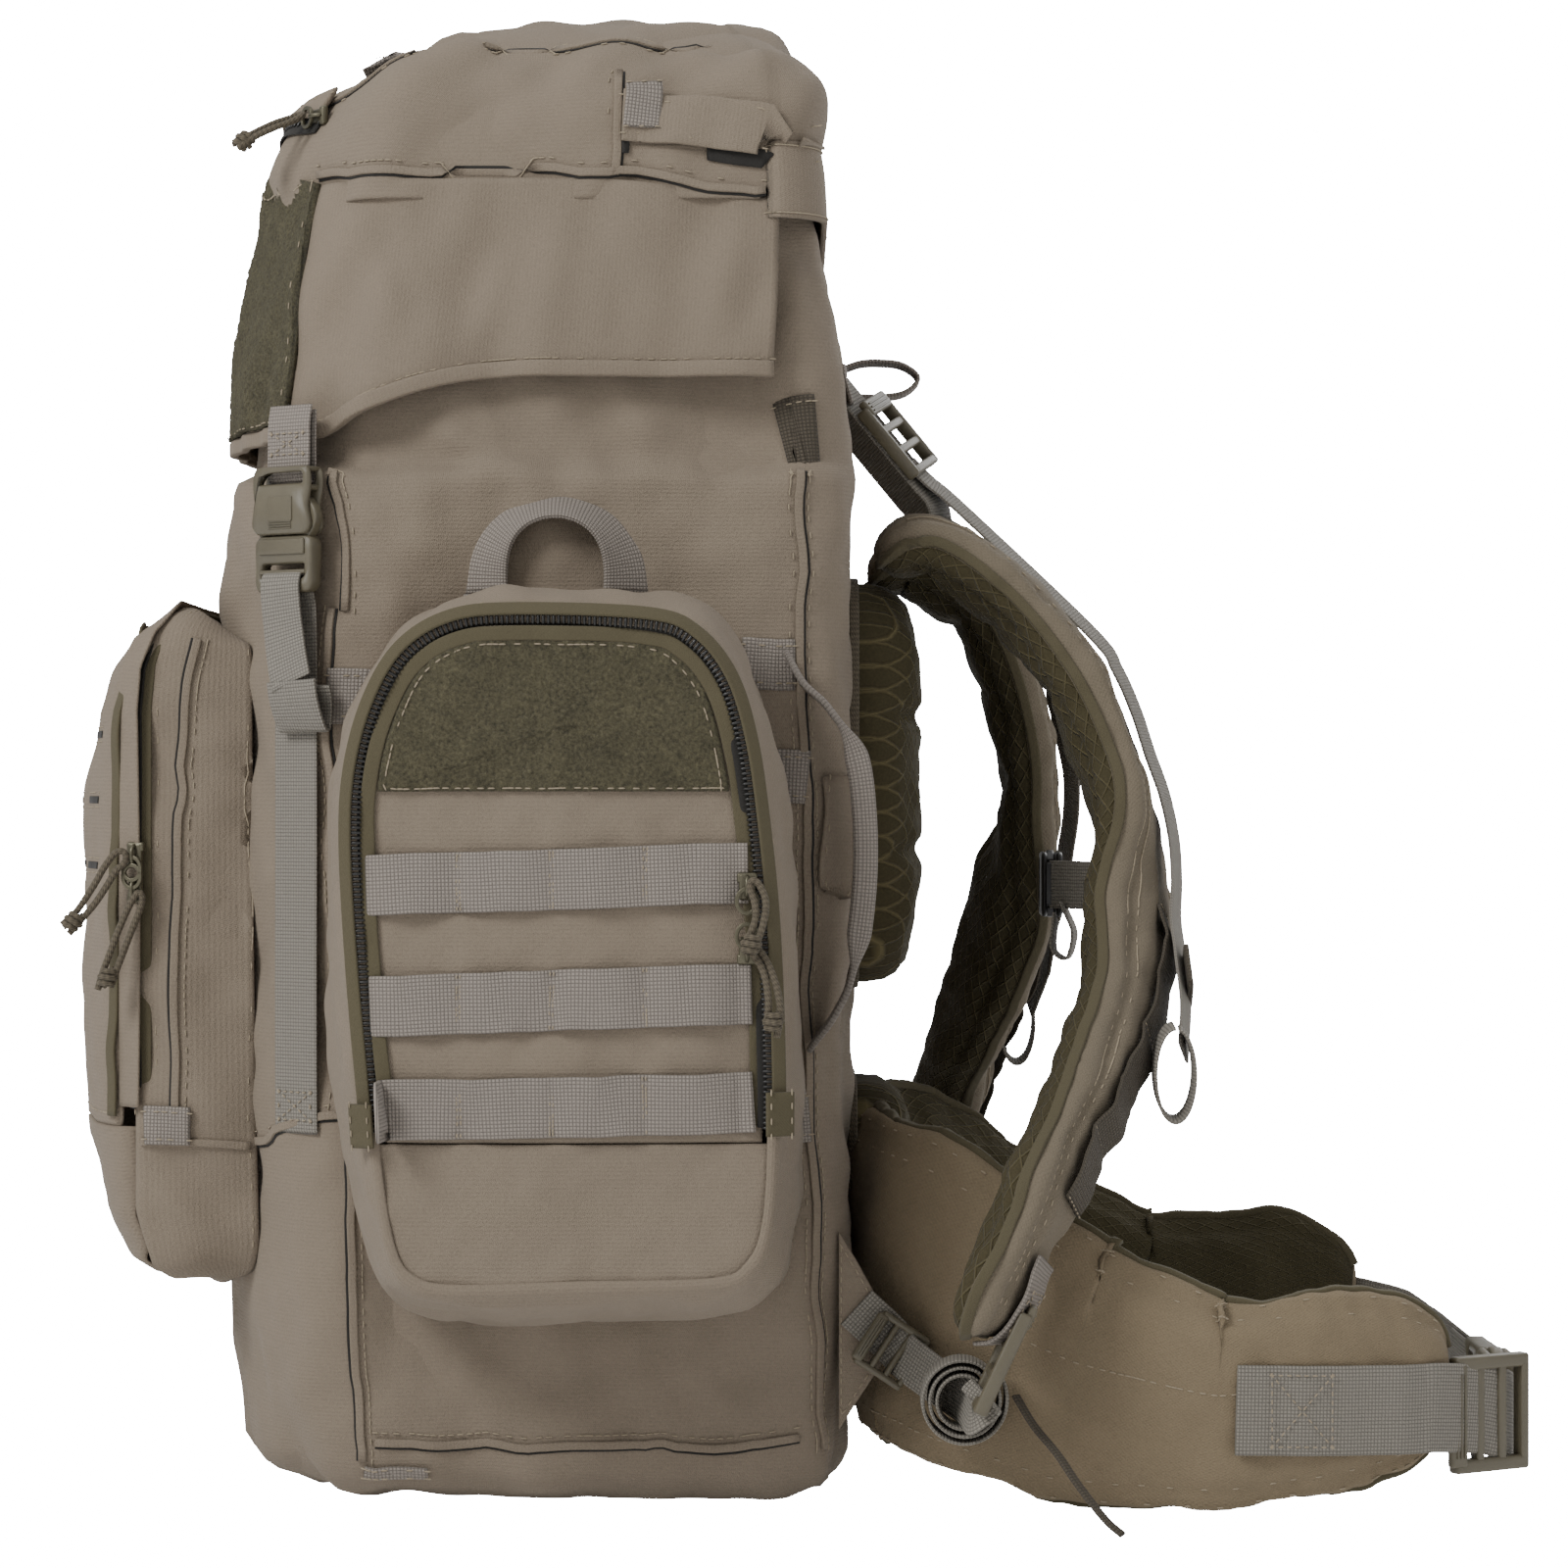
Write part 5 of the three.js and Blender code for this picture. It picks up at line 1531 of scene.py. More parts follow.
def build_front_face():
    """Hinged face of the front pocket: binding, laser-cut slots and stitches."""
    upper = clipped(rounded_front(4.5), "above", 1, FRONT_SILL + 0.6)
    surface = skin(np.array(panel(upper, front_face_place, 0.0030, 30)), planar=(1, 2))
    GROUNDS["front_face"] = Ground(surface)
    piece("front_panel", surface, "shell", "front_door", ["front_pocket_face"])
    threads, dark, bound = [], [], []
    centre = upper.mean(0)
    rim = front_face_place(centre + (upper - centre) * 0.982, 0.0004)
    ahead = front_face_place(centre + (upper - centre) * 0.982, 0.0050)
    out = unit(ahead - rim)
    arch = rim[:, 2] > (FRONT_SILL + 4) * MM
    start = int(np.flatnonzero(arch & ~np.roll(arch, 1))[0])
    order = np.roll(np.arange(len(rim)), -start)[: arch.sum()]
    bound.append(laid_strap(rim[order], out[order], 0.0062, 0.0016))
    inner = front_face_place(centre + (upper - centre) * 0.955, 0.0)
    threads.append(stitches(inner[order], out[order]))
    for height in (330, 301, 272):
        for middle in (-80, -40, 0, 40, 80):
            line = np.column_stack([np.linspace(middle - 12, middle + 12, 14), np.full(14, height)])
            path, normal = front_row(line, -0.0006)
            dark.append(laid_strap(path, normal, 0.0032, 0.0010))
            for shift in (-3.2, 3.2):
                path, normal = front_row(line + (0, shift), 0.0)
                threads.append(stitches(path, normal, 0.7))
    path, normal = front_row(np.column_stack([np.linspace(-113, 113, 90), np.full(90, FRONT_SILL + 6)]), 0.0)
    threads.append(stitches(path, normal))
    piece("front_binding", together(bound), "binding", "front_door")
    piece("front_slots", together(dark), "zip_tape", "front_door")
    piece("front_face_threads", together(threads), "thread", "front_door")


def build_front_zip(outline, face_x):
    """Zip tape and teeth between gusset and face, the bound gusset edge, its stitches and a webbing tab."""
    arch = outline[:, 1] > FRONT_SILL + 6
    start = int(np.flatnonzero(arch & ~np.roll(arch, 1))[0])
    order = np.roll(np.arange(len(outline)), -start)[: arch.sum()]
    centre = outline.mean(0)
    outward = unit(outline - centre)

    def ring(inset, ahead):
        flat = (outline - outward * inset)[order]
        return np.column_stack([face_x[order] - ahead, flat]) * MM

    side = np.column_stack([np.zeros(arch.sum()), outward[order]])
    forward = np.tile((-1.0, 0.0, 0.0), (arch.sum(), 1))
    slanted = unit(side + forward)
    tape = laid_strap(ring(2.4, -0.8), slanted, 0.0090, 0.0014)
    teeth = zip_teeth(ring(2.4, -0.8) + slanted * 0.0022, slanted)
    bound = laid_strap(ring(-0.4, -4.6), unit(side * 1.2 + forward * 0.2), 0.0062, 0.0016)
    threads = []
    ground = GROUNDS["front_tray"]
    row, normal = ground.lay(ring(-0.5, -10.0))
    threads.append(stitches(row, normal))
    webs, ridges = [], []
    for _, s in SIDES:
        upright = [(-150, s * 129, 156), (-150, s * 129, 262), (-146, s * 128, 340), (-140, s * 124, 372)]
        ridge, rows = seam_on("front_tray", upright, rows=(0.0046 * s,))
        ridges.append(ridge)
        threads += rows
        rear = [(-118, s * 128, 366), (-117, s * 129, 240), (-116, s * 128, 104)]
        line, normal = ground.lay(smooth(np.array(rear) * MM, 60))
        threads.append(stitches(line, normal))
        seam = [(-166, s * 129, 152), (-140, s * 129, 151), (-116, s * 128, 150)]
        line, normal = ground.lay(smooth(np.array(seam) * MM, 20))
        ridges.append(laid_strap(line - normal * 0.0003, normal, 0.0034, 0.0018))
        tab = [(-164, s * 129, 160), (-143, s * 129, 159)]
        line, normal = ground.lay(smooth(np.array(tab) * MM, 10), 0.0004)
        webs.append(laid_strap(line, normal, 0.017, 0.0022))
        for shift in (-0.006, 0.006):
            across = np.cross(normal, unit(np.gradient(line, axis=0)))
            threads.append(stitches(line + across * shift + normal * 0.0022, normal))
    flap = laid_strap(ring(2.0, 3.0), slanted, 0.0185, 0.0018)
    row = ring(-1.6, -1.4)
    threads.append(stitches(row + slanted * 0.0012, slanted))
    piece("front_tray_seams", together(ridges), "shell", "pack")
    # Dark strips of painted shadow beside the front pocket's seams.
    piece("front_painted_seam_shadows", together(SEAM_SHADOW_STRIPS["front_tray"]), "zip_tape", "pack")
    piece("front_storm_flap", flap, "shell", "pack")
    piece("front_zip_tape", tape, "zip_tape", "pack")
    piece("front_zip_teeth", teeth, "zip_teeth", "pack")
    piece("front_tray_binding", bound, "binding", "pack")
    piece("front_tray_tabs", together(webs), "webbing", "pack")
    piece("front_tray_threads", together(threads), "thread", "pack")


# ---------------------------------------------------------------- zip sliders
def slider_surface(place, along, out):
    """A zip slider: waisted body, raised bridge and a D-shaped puller ring through it."""
    body = block((-0.0055, -0.0034, -0.0020), (0.0055, 0.0034, 0.0016), 0.0012)
    nose = block((0.0015, -0.0042, -0.0018), (0.0058, 0.0042, 0.0014), 0.0012)
    angle = np.linspace(0, math.pi, 16)
    bridge = tube(np.column_stack([-0.0042 * np.cos(angle), 0 * angle, 0.0014 + 0.0030 * np.sin(angle)]),
        0.0018, 8,
                  (0, 1, 0))
    turn = np.linspace(0, 2 * math.pi, 40)
    ring_x = -0.0058 + 0.0050 * np.cos(turn)
    ring = np.column_stack([ring_x, 0.0042 * np.sin(turn), 0.0036 + 0 * turn])
    puller = skin(swept(evenly(ring[:-1], 40, closed=True), (0, 0, 1), 0.0017, 0.0017), round_along=True)
    whole = together([body, nose, bridge, puller])
    side = np.cross(out, along)
    whole.points = whole.points @ np.stack([along, side, out]) + place
    return whole


SLIDERS = {
    "front_slider_upper": ((-167, -124, 277), (0, 0, 1), (-0.35, -1, 0), "front_zip_upper"),
    "front_slider_lower": ((-167, -124, 262), (0, 0, -1), (-0.35, -1, 0), "front_zip_lower"),
    "side_slider_upper": ((99.9, -237, 266), (0, 0, 1), (0, -1, 0), "side_zip_upper"),
    "side_slider_lower": ((99.9, -237, 240), (0, 0, -1), (0, -1, 0), "side_zip_lower"),
    "lid_slider": ((-88, -114, 600), (0.49, -0.87, 0), (-0.87, -0.49, 0), "lid_zip"),
}
EXTRA_SLIDERS = {
    "side_slider_left_upper": ((99.4, 237, 266), (0, 0, 1), (0, 1, 0)),
    "side_slider_left_lower": ((99.4, 237, 240), (0, 0, -1), (0, 1, 0)),
    "front_slider_left": ((-167, 124, 270), (0, 0, 1), (-0.35, 1, 0)),
}


def build_sliders():
    """All zip sliders; the ones with a joint ride on their own body."""
    for name, (place, along, out, body) in SLIDERS.items():
        surface = slider_surface(np.array(place) * MM, unit(np.array(along, float)),
            unit(np.array(out, float)))
        piece(name + "_metal", surface, "zip_metal", body, [name])
    for name, (place, along, out) in EXTRA_SLIDERS.items():
        surface = slider_surface(np.array(place) * MM, unit(np.array(along, float)),
            unit(np.array(out, float)))
        piece(name, surface, "zip_metal", "pack")


# ---------------------------------------------------------------- pull cords
def knot(place, along, size=0.0052):
    """An overhand knot: three turns of cord wound tightly round the cord's end."""
    turn = np.linspace(0, 6 * math.pi, 80)
    swell = 0.62 * size * np.sin(np.linspace(0.25, math.pi - 0.25, 80)) ** 0.5
    line = np.column_stack([size * np.linspace(-0.75, 0.75, 80), swell * np.cos(turn), swell * np.sin(turn)])
    out = unit(np.cross(along, (0.3, 0.8, 0.5)))
    line = line @ np.stack([along, np.cross(out, along), out]) + place
    return tube(line, CORD_DIAMETER * 0.92, 8, (0.3, 0.2, 0.9))


def build_cords():
    """The five pull cords: a round braided tube along each route, with a knot near its ends."""
    for name, points in PULL_ROUTES.items():
        path = smooth(np.array(points) * MM, 90)
        surface = tube(path, CORD_DIAMETER, 10)
        body = PULL_BODIES[name]
        made = piece(name + "_cord", surface, "cord", body, [name])
        near = path[5]
        along = unit(path[9] - path[1])
        far = path[-6]
        knots = piece(name + "_knot", together([knot((near + far) / 2, along)]), "cord", body)


# ---------------------------------------------------------------- fastenings of the lid
def corner_frame(s):
    """Origin on the bag's front corner, the direction across the strap and the direction outwards."""
    slope = 150 / 160
    normal_y = slope / 160
    normal_x = math.sqrt(1 - slope**2) / 74
    out = unit(np.array([-normal_x, s * normal_y, 0.0]))
    across = np.array([-out[1], out[0], 0.0])
    return np.array([-93, s * 150.0, 0.0]) * MM, across, out


def buckle_socket(width, size, depth):
    """Socket half of a side-release buckle, X across, Y along with its mouth at low Y, Z out: a hollow sleeve
    open at its mouth and windowed at both sides, with a bar for its webbing and ribs on its face."""
    outer = rounded_box(width, size, 0.004, 72)
    outer[:, 0] *= 1 - 0.10 * np.exp(-((outer[:, 1] + size * 0.08) / (size * 0.16)) ** 2)
    slot = rounded_box(width * 0.76, size * 0.17, 0.0012, 72) + (0, size * 0.33)
    face = outline_ring(outer, slot, depth * 0.30, 0.0011)
    face.points[:, 2] += depth * 0.34
    back = outline_ring(outer, slot, depth * 0.26, 0.0011)
    back.points[:, 2] -= depth * 0.36
    core = block((-width * 0.33, -size * 0.47, -depth * 0.42), (width * 0.33, size * 0.14, depth * 0.42),
        0.0012)
    bar = block((-width * 0.46, size * 0.14, -depth * 0.44), (width * 0.46, size * 0.235, depth * 0.44),
        0.0014)
    top = block((-width * 0.46, size * 0.42, -depth * 0.44), (width * 0.46, size * 0.495, depth * 0.44),
        0.0014)
    plate = block((-width * 0.22, -size * 0.30, depth * 0.46), (width * 0.22, size * 0.06, depth * 0.55),
        0.0006)
    parts = [face, back, core, bar, top, plate]
    for rib in range(4):
        y = -size * (0.42 - 0.035 * rib)
        parts.append(block((-width * 0.2, y, depth * 0.47), (width * 0.2, y + size * 0.018, depth * 0.54),
            0.0003))
    return together(parts)


def buckle_prongs(width, size, depth, reach):
    """Plug half, X across, Y along with its prongs towards high Y: webbing frame, bar, two sprung prongs
    whose
    ribbed thumb pads show at the sides, and a middle guide."""
    outer = rounded_box(width, size, 0.004, 72)
    slot = rounded_box(width * 0.76, size * 0.28, 0.0014, 72) - (0, size * 0.14)
    parts = [outline_ring(outer, slot, depth * 0.72, 0.0012)]
    parts.append(block((-width * 0.40, -size * 0.18, -depth * 0.20), (width * 0.40, -size * 0.10,
        depth * 0.42), 0.001))
    parts.append(block((-width * 0.40, size * 0.16, depth * 0.30), (width * 0.40, size * 0.44,
        depth * 0.48), 0.001))
    parts.append(block((-width * 0.09, size * 0.4, -depth * 0.12), (width * 0.09, size * 0.5 + reach,
        depth * 0.12)))
    for s in (-1, 1):
        t = np.linspace(0, 1, 24)
        x = s * width * (0.36 + 0.13 * np.sin(math.pi * t**1.2))
        line = np.column_stack([x, size * 0.42 + (reach + size * 0.02) * t, 0 * t])
        parts.append(strap(line, (1, 0, 0), width * 0.085 * (1 + 0.5 * np.sin(math.pi * t)), depth * 0.46))
        for rib in range(4):
            y = size * 0.5 + reach * (0.28 + 0.11 * rib)
            low = (s * width * 0.485 - 0.0010, y, -depth * 0.22)
            parts.append(block(low, (s * width * 0.485 + 0.0010, y + reach * 0.05, depth * 0.22), 0.0004))
    return together(parts)


def on_corner(s, points):
    """Points given as (across, out, z) in mm in the corner's own frame, in space."""
    origin, across, out = corner_frame(s)
    points = np.asarray(points, float) * MM
    return origin + points[:, :1] * across + points[:, 1:2] * out + points[:, 2:] * (0, 0, 1)


def bar_tacks(place, across, up, out, width, height, cross=True):
    """A box of stitches with a cross inside it, centred on place."""
    corners = [(-1, -1), (1, -1), (1, 1), (-1, 1), (-1, -1)]
    if cross:
        corners += [(1, 1), (1, -1), (-1, 1)]
    line = np.array([place + across * a * width / 2 + up * b * height / 2 for a, b in corners])
    rows = []
    for start, end in zip(line[:-1], line[1:]):
        row = start + np.linspace(0, 1, 10)[:, None] * (end - start)
        rows.append(stitches(row, np.tile(out, (10, 1)), 0.75))
    return together(rows)


def build_lid_fastenings():
    """Both buckled straps that hold the lid down: lid strap, buckle halves, free tail, keeper and long
    strap."""
    for side, s in SIDES:
        origin, across, out = corner_frame(s)
        up = np.array([0.0, 0, 1])
        width = sizes().webbing
        upper = on_corner(s, [(0, 4.6, 470), (0, 6.0, 462), (0, 6.2, 452), (0, 6.4, 443), (0, 6.0, 438.5),
            (0, 3.4, 437),
                              (0, 2.4, 443), (0, 2.4, 454), (0, 2.2, 468)])
        piece(f"lid_strap_{side}_web", strap(smooth(upper, 60), across, width, 0.0017), "webbing", "lid",
              [f"lid_strap_{side}"])
        middle = origin + out * 0.0066
        socket = placed(buckle_socket(0.034, 0.029, 0.0105), middle + up * 0.4290, across, out)
        piece(f"lid_buckle_socket_{side}", socket, "plastic", "lid",
            [f"buckle_female_{side}"])
        plug = placed(buckle_prongs(0.034, 0.0245, 0.0100, 0.0165), middle + up * 0.4020, across, out)
        plug_body = f"lid_plug_{side}"
        piece(f"lid_buckle_plug_{side}", plug, "plastic", plug_body,
            [f"buckle_male_{side}"])
        long = on_corner(s, [(0, 1.3, 160), (0, 1.7, 164), (0, 1.9, 220), (0, 1.7, 290), (0, 1.9, 350), (0,
            2.3, 380),
                             (0, 3.4, 388), (0, 5.2, 394.5)])
        piece(f"front_strap_{side}_web", strap(smooth(long, 160), across, width, 0.0017), "trim", "pack",
              [f"front_strap_{side}"])
        tail = on_corner(s, [(0, 5.5, 396), (0, 9.2, 398.5), (0, 11.4, 394), (0.5, 11.6, 386), (2, 11.4,
            374), (5, 12.4, 362),
                             (9, 13.8, 351)])
        roll = on_corner(s, [(9, 14.0, 352), (9.4, 12.8, 344), (9.6, 10.0, 336), (9.4, 6.4, 331), (9, 4.0,
            336),
                             (9, 4.0, 344), (9, 5.4, 350)])
        piece(f"lid_tail_{side}", together([strap(smooth(tail, 70), across, width * 0.92, 0.0017)]), "trim",
            plug_body)
        piece(f"lid_keeper_{side}", strap(smooth(roll, 50), across, 0.029, 0.0018), "trim", plug_body)
        threads = [bar_tacks(origin + out * 0.0029 + up * 0.170, across, up, out, 0.019, 0.012)]
        piece(f"front_strap_threads_{side}", together(threads), "thread", "pack")
        tacks = bar_tacks(origin + out * 0.0074 + up * 0.4535, across, up, out, 0.019, 0.009)
        piece(f"lid_strap_threads_{side}", tacks, "thread", "lid")


# ---------------------------------------------------------------- handles
def build_handles():
    """Webbing arches over the side pockets, grab handles on the rear edges and the haul loop."""
    for side, s in SIDES:
        angle = np.linspace(0, math.pi, 60)
        arch = np.column_stack([18 + 30 * np.cos(angle) * (1 + 0.05 * np.sin(angle)),
                                s * (163 + 1.6 * np.sin(angle) ** 2), 389 + 37 * np.sin(angle) ** 0.82]) * MM
        outward = np.column_stack([0.55 * np.cos(angle), s * (1 - 0.5 * np.sin(angle)), 0.9 * np.sin(angle)])
        along = unit(np.gradient(arch, axis=0))
        arch_web = strap(arch, np.cross(along, unit(outward)), 0.0220 - 0.003 * np.sin(angle), 0.0034)
        piece(f"arch_handle_{side}_web", arch_web, "webbing", f"arch_{side}",
            [f"arch_handle_{side}"])
        legs = []
        for x in (-11, 47):
            line, out = GROUNDS["bag"].lay(np.array([(x, s * 160, 389), (x, s * 161, 376)]) * MM, 0.0006)
            legs.append(laid_strap(smooth(line, 6), np.repeat(out[:1], 6, axis=0), 0.021, 0.0024))
        piece(f"arch_anchor_{side}", together(legs), "webbing", "pack")
        path = smooth(np.array([(118, s * 160, 360), (124, s * 168, 350), (134, s * 172, 340), (145,
            s * 173, 322), (149, s * 173, 296),
                                (149, s * 173, 264), (144, s * 172, 228), (137, s * 170, 211), (128,
                                s * 162, 198)]) * MM, 120)
        grip = np.linspace(0, 1, 120)
        rolled = ease(grip, 0.2, 0.3) * (1 - ease(grip, 0.7, 0.8))
        handle = strap(path, (0, s, 0), 0.020 - 0.005 * rolled, 0.0030 + 0.0075 * rolled)
        piece(f"carry_handle_{side}_web", handle, "webbing", "pack", [f"carry_handle_{side}"])
        sleeve_path = np.array([(134, s * 150, 334), (135, s * 152, 280), (133, s * 150, 218)]) * MM
        line, out = GROUNDS["bag"].lay(smooth(sleeve_path, 30), 0.0006)
        sleeve = laid_strap(line, out, 0.020, 0.0024)
        rows = [stitches(line + np.cross(out, unit(np.gradient(line, axis=0))) * shift + out * 0.0024, out)
                for shift in (-0.008, 0.008)]
        piece(f"handle_sleeve_{side}", sleeve, "shell", "pack")
        piece(f"handle_threads_{side}", together(rows), "thread", "pack")
    loop = np.array([(140.5, 0, 499), (150, 0, 502.5), (160, 0, 503), (170, 0, 501.5), (177, 0, 495.5),
        (171, 0, 489),
                     (160, 0, 487), (150, 0, 487), (140.5, 0, 487)]) * MM
    piece("haul_loop_web", strap(smooth(loop, 90), (0, 1, 0), sizes().webbing, 0.0022), "webbing", "pack",
          ["haul_loop"])


# ---------------------------------------------------------------- padding
def plumped(surface, cap, pressure=4.0):
    """The surface blown up from inside as cloth with no gravity for 20 frames, no point moving more than cap.
    The cloth's own wrinkles stay, and its mean drift is taken out."""
    mesh = bpy.data.meshes.new("cloth_trial")
    mesh.from_pydata(surface.points.tolist(), [], surface.quads.tolist() + surface.triangles.tolist())
    trial = bpy.data.objects.new("cloth_trial", mesh)
    scene = bpy.context.scene
    scene.collection.objects.link(trial)
    cloth = trial.modifiers.new("Cloth", "CLOTH")
    settings = cloth.settings
    settings.quality = 4
    settings.mass = 0.25
    settings.use_pressure = True
    settings.uniform_pressure_force = pressure
    settings.tension_stiffness = 18
    settings.compression_stiffness = 12
    settings.shear_stiffness = 6
    settings.bending_stiffness = 0.4
    settings.effector_weights.gravity = 0
    cloth.collision_settings.use_collision = False
    cloth.point_cache.frame_start = 1
    cloth.point_cache.frame_end = 20
    for number in range(1, 21):
        scene.frame_set(number)
    evaluated = trial.evaluated_get(bpy.context.evaluated_depsgraph_get())
    moved = np.zeros(len(surface.points) * 3)
    evaluated.data.vertices.foreach_get("co", moved)
    push = moved.reshape(-1, 3) - surface.points
    push -= push.mean(0)
    size = np.linalg.norm(push, axis=1, keepdims=True)
    surface.points = surface.points + push * np.minimum(1, cap / np.maximum(size, 1e-9))
    bpy.data.objects.remove(trial)
    bpy.data.meshes.remove(mesh)
    scene.frame_set(1)
    return surface


def soft_section(count=56, roundness=0.42):
    """Section of a padded strap, one wide and one thick, evenly spaced: flat sides and full round edges."""
    angle = np.linspace(0, 2 * math.pi, 400, endpoint=False)
    x = np.sign(np.cos(angle)) * np.abs(np.cos(angle)) ** roundness
    y = np.sign(np.sin(angle)) * np.abs(np.sin(angle)) ** 0.62
    return evenly(np.stack([x * 2.6, y], axis=1), count, closed=True) * (1 / 5.2, 0.5)


def padded_band(path, across, width, thickness, channels, cap, seed, end_round=0.02):
    """A padded band along a path: a soft section swept along it, with rounded ends, pinched stitch
    channels at
    the given places across its outer face, light ripples, and cloth fullness."""
    section = soft_section()
    travelled = np.concatenate([[0], np.cumsum(np.linalg.norm(np.diff(path, axis=0), axis=1))])
    to_end = np.minimum(travelled, travelled[-1] - travelled)
    rounding = np.sqrt(np.clip(1 - (1 - np.clip(to_end / end_round, 0, 1)) ** 2, 0, 1))
    width = width * (0.55 + 0.45 * rounding)
    thickness = thickness * (0.22 + 0.78 * rounding)
    rows = swept(path, across, width, thickness, section)
    surface = plumped(skin(rows), cap)
    count, columns = rows.shape[:2]
    grid = surface.points[: count * columns].reshape(count, columns, 3)
    normals = row_normals(grid)
    normals *= np.sign((normals * (grid - grid.mean(1, keepdims=True))).sum())
    push = 0.0007 * ripple(grid, 0.045, seed) + 0.00035 * ripple(grid, 0.016, seed + 1)
    for place in channels:
        gap = np.abs(section[:, 0] - place)[None, :] * width[:, None]
        push -= 0.0026 * np.exp(-((gap / 0.0030) ** 2)) * rounding[:, None]
    grid = grid + normals * push[..., None]
    surface.points[: count * columns] = grid.reshape(-1, 3)
    outer = np.tile(section[:, 1] > -0.10, count - 1)
    return surface, grid, normals, section, outer


def two_faced(name, surface, front, back, front_mask, body, replaces):
    """A piece with one material on its outer face and another on its inner one."""
    made = piece(name, surface, front, body, replaces)
    made.data.materials.append(finish(back))
    index = np.zeros(len(made.data.polygons), np.int32)
    index[: len(front_mask)] = np.where(front_mask, 0, 1)
    made.data.polygons.foreach_set("material_index", index)
    return made


def edge_lines(grid, section):
    """The two edge lines of a padded band."""
    left = int(np.argmax(section[:, 0] - np.abs(section[:, 1]) * 0.5))
    right = int(np.argmin(section[:, 0] + np.abs(section[:, 1]) * 0.5))
    return grid[:, left], grid[:, right]


def line_at(grid, normals, section, place, outer=True):
    """The line along a padded band at a place across it, on its outer or inner face, with normals."""
    side = section[:, 1] > 0 if outer else section[:, 1] < 0
    column = int(np.argmin(np.abs(section[:, 0] - place) + np.where(side, 0, 9)))
    return grid[:, column], normals[:, column]


def ladder_lock(width, size, thickness):
    """A ladder lock, X across, Y along, Z out: two side rails, two webbing bars and a ribbed, raised lip."""
    rail = width * 0.12
    parts = []
    for s in (-1, 1):
        x = s * (width / 2 - rail / 2)
        parts.append(block((x - rail / 2, -size / 2, -thickness * 0.5), (x + rail / 2, size / 2,
            thickness * 0.5), 0.0016))
    for y, tall in ((-0.44, 0.5), (-0.14, 0.42), (0.16, 0.42), (0.44, 0.5)):
        parts.append(block((-width / 2 + rail * 0.6, size * (y - 0.055), -thickness * tall),
                           (width / 2 - rail * 0.6, size * (y + 0.055), thickness * tall), 0.0012))
    parts.append(block((-width * 0.44, size * 0.36, 0), (width * 0.44, size * 0.58, thickness * 0.62),
        0.0014))
    for rib in range(3):
        y = size * (0.40 + 0.05 * rib)
        parts.append(block((-width * 0.36, y, thickness * 0.55), (width * 0.36, y + 0.0009,
            thickness * 0.72), 0.0003))
    return together(parts)


def strap_line(side):
    """Middle line of a shoulder strap."""
    return smooth(np.array(STRAP_PATHS[side]) * MM, 150)


def turned(path, s, degrees):
    """Directions across a strap whose face turns outwards to its own side by an angle at each station."""
    _, across, out = frames(path, (0, 1, 0))
    out = out * np.sign(out[:, :1] + 1e-9)
    angle = np.radians(degrees)[:, None]
    return unit(across * np.cos(angle) - s * out * np.sin(angle))


def build_shoulder_straps():
    """Padded straps: cloth outside, mesh inside, piped edges, a webbing ladder, and stitching."""
    for side, s in SIDES:
        path = strap_line(side)
        t = np.linspace(0, 1, len(path))
        width = (64 - 20 * ease(t, 0.5, 0.8)) * MM
        twist = 31 * ease(t, 0.36, 0.52) * (1 - 0.4 * ease(t, 0.8, 0.95))
        surface, grid, normals, section, outer = padded_band(
            path, turned(path, s, twist), width, 0.0235, (-0.36, 0.36), 0.006, 91)
        sign = 1 if normals[40, int(np.argmax(section[:, 1]))][0] > 0 else -1
        mask = outer if sign > 0 else ~outer
        made = two_faced(f"shoulder_strap_{side}_pad", surface, "strap", "mesh", mask, "pack",
                         [f"shoulder_strap_{side}"])
        facing = sign > 0
        threads, webs = [], []
        for place in (-0.40, 0.40, -0.32, 0.32):
            line, out = line_at(grid, normals, section, place, facing)
            threads.append(stitches(line[6:-6], out[6:-6]))
        for edge in edge_lines(grid, section):
            webs.append(strap(edge, (1, 0, 0.2), 0.0050, 0.0040))
        line, out = line_at(grid, normals, section, 0.0, facing)
        run = slice(int(0.50 * 150), int(0.86 * 150))
        place = np.linspace(0, 1, run.stop - run.start)
        rise = 0.6 + 2.6 * np.abs(np.sin(math.pi * place * 5)) ** 0.7
        ladder = laid_strap(line[run] + out[run] * rise[:, None] * MM, out[run], sizes().narrow, 0.0018)
        bars = []
        for step in range(6):
            spot = run.start + int((run.stop - run.start - 1) * step / 5)
            across = np.cross(out[spot], unit(line[spot] - line[spot - 1]))
            row = line[spot] + np.linspace(-0.0085, 0.0085, 12)[:, None] * across + out[spot] * 0.0026
            bars.append(stitches(row, np.tile(out[spot], (12, 1)), 0.65))
        end = slice(136, 150)
        tab = laid_strap(line[end] + out[end] * 0.0016, out[end], 0.0245, 0.0020)
        middle = 143
        along = unit(line[middle] - line[middle - 2])
        across = np.cross(out[middle], along)
        threads.append(bar_tacks(line[middle] + out[middle] * 0.0038, across, along, out[middle], 0.018,
            0.018))
        piece(f"strap_piping_{side}", together(webs), "binding", "pack")
        piece(f"strap_ladder_{side}", ladder, "dark_webbing", "pack")
        piece(f"strap_tab_{side}", tab, "webbing", "pack")
        piece(f"strap_threads_{side}", together(threads + bars), "thread", "pack")
        GROUNDS[f"strap_{side}"] = (line, out)


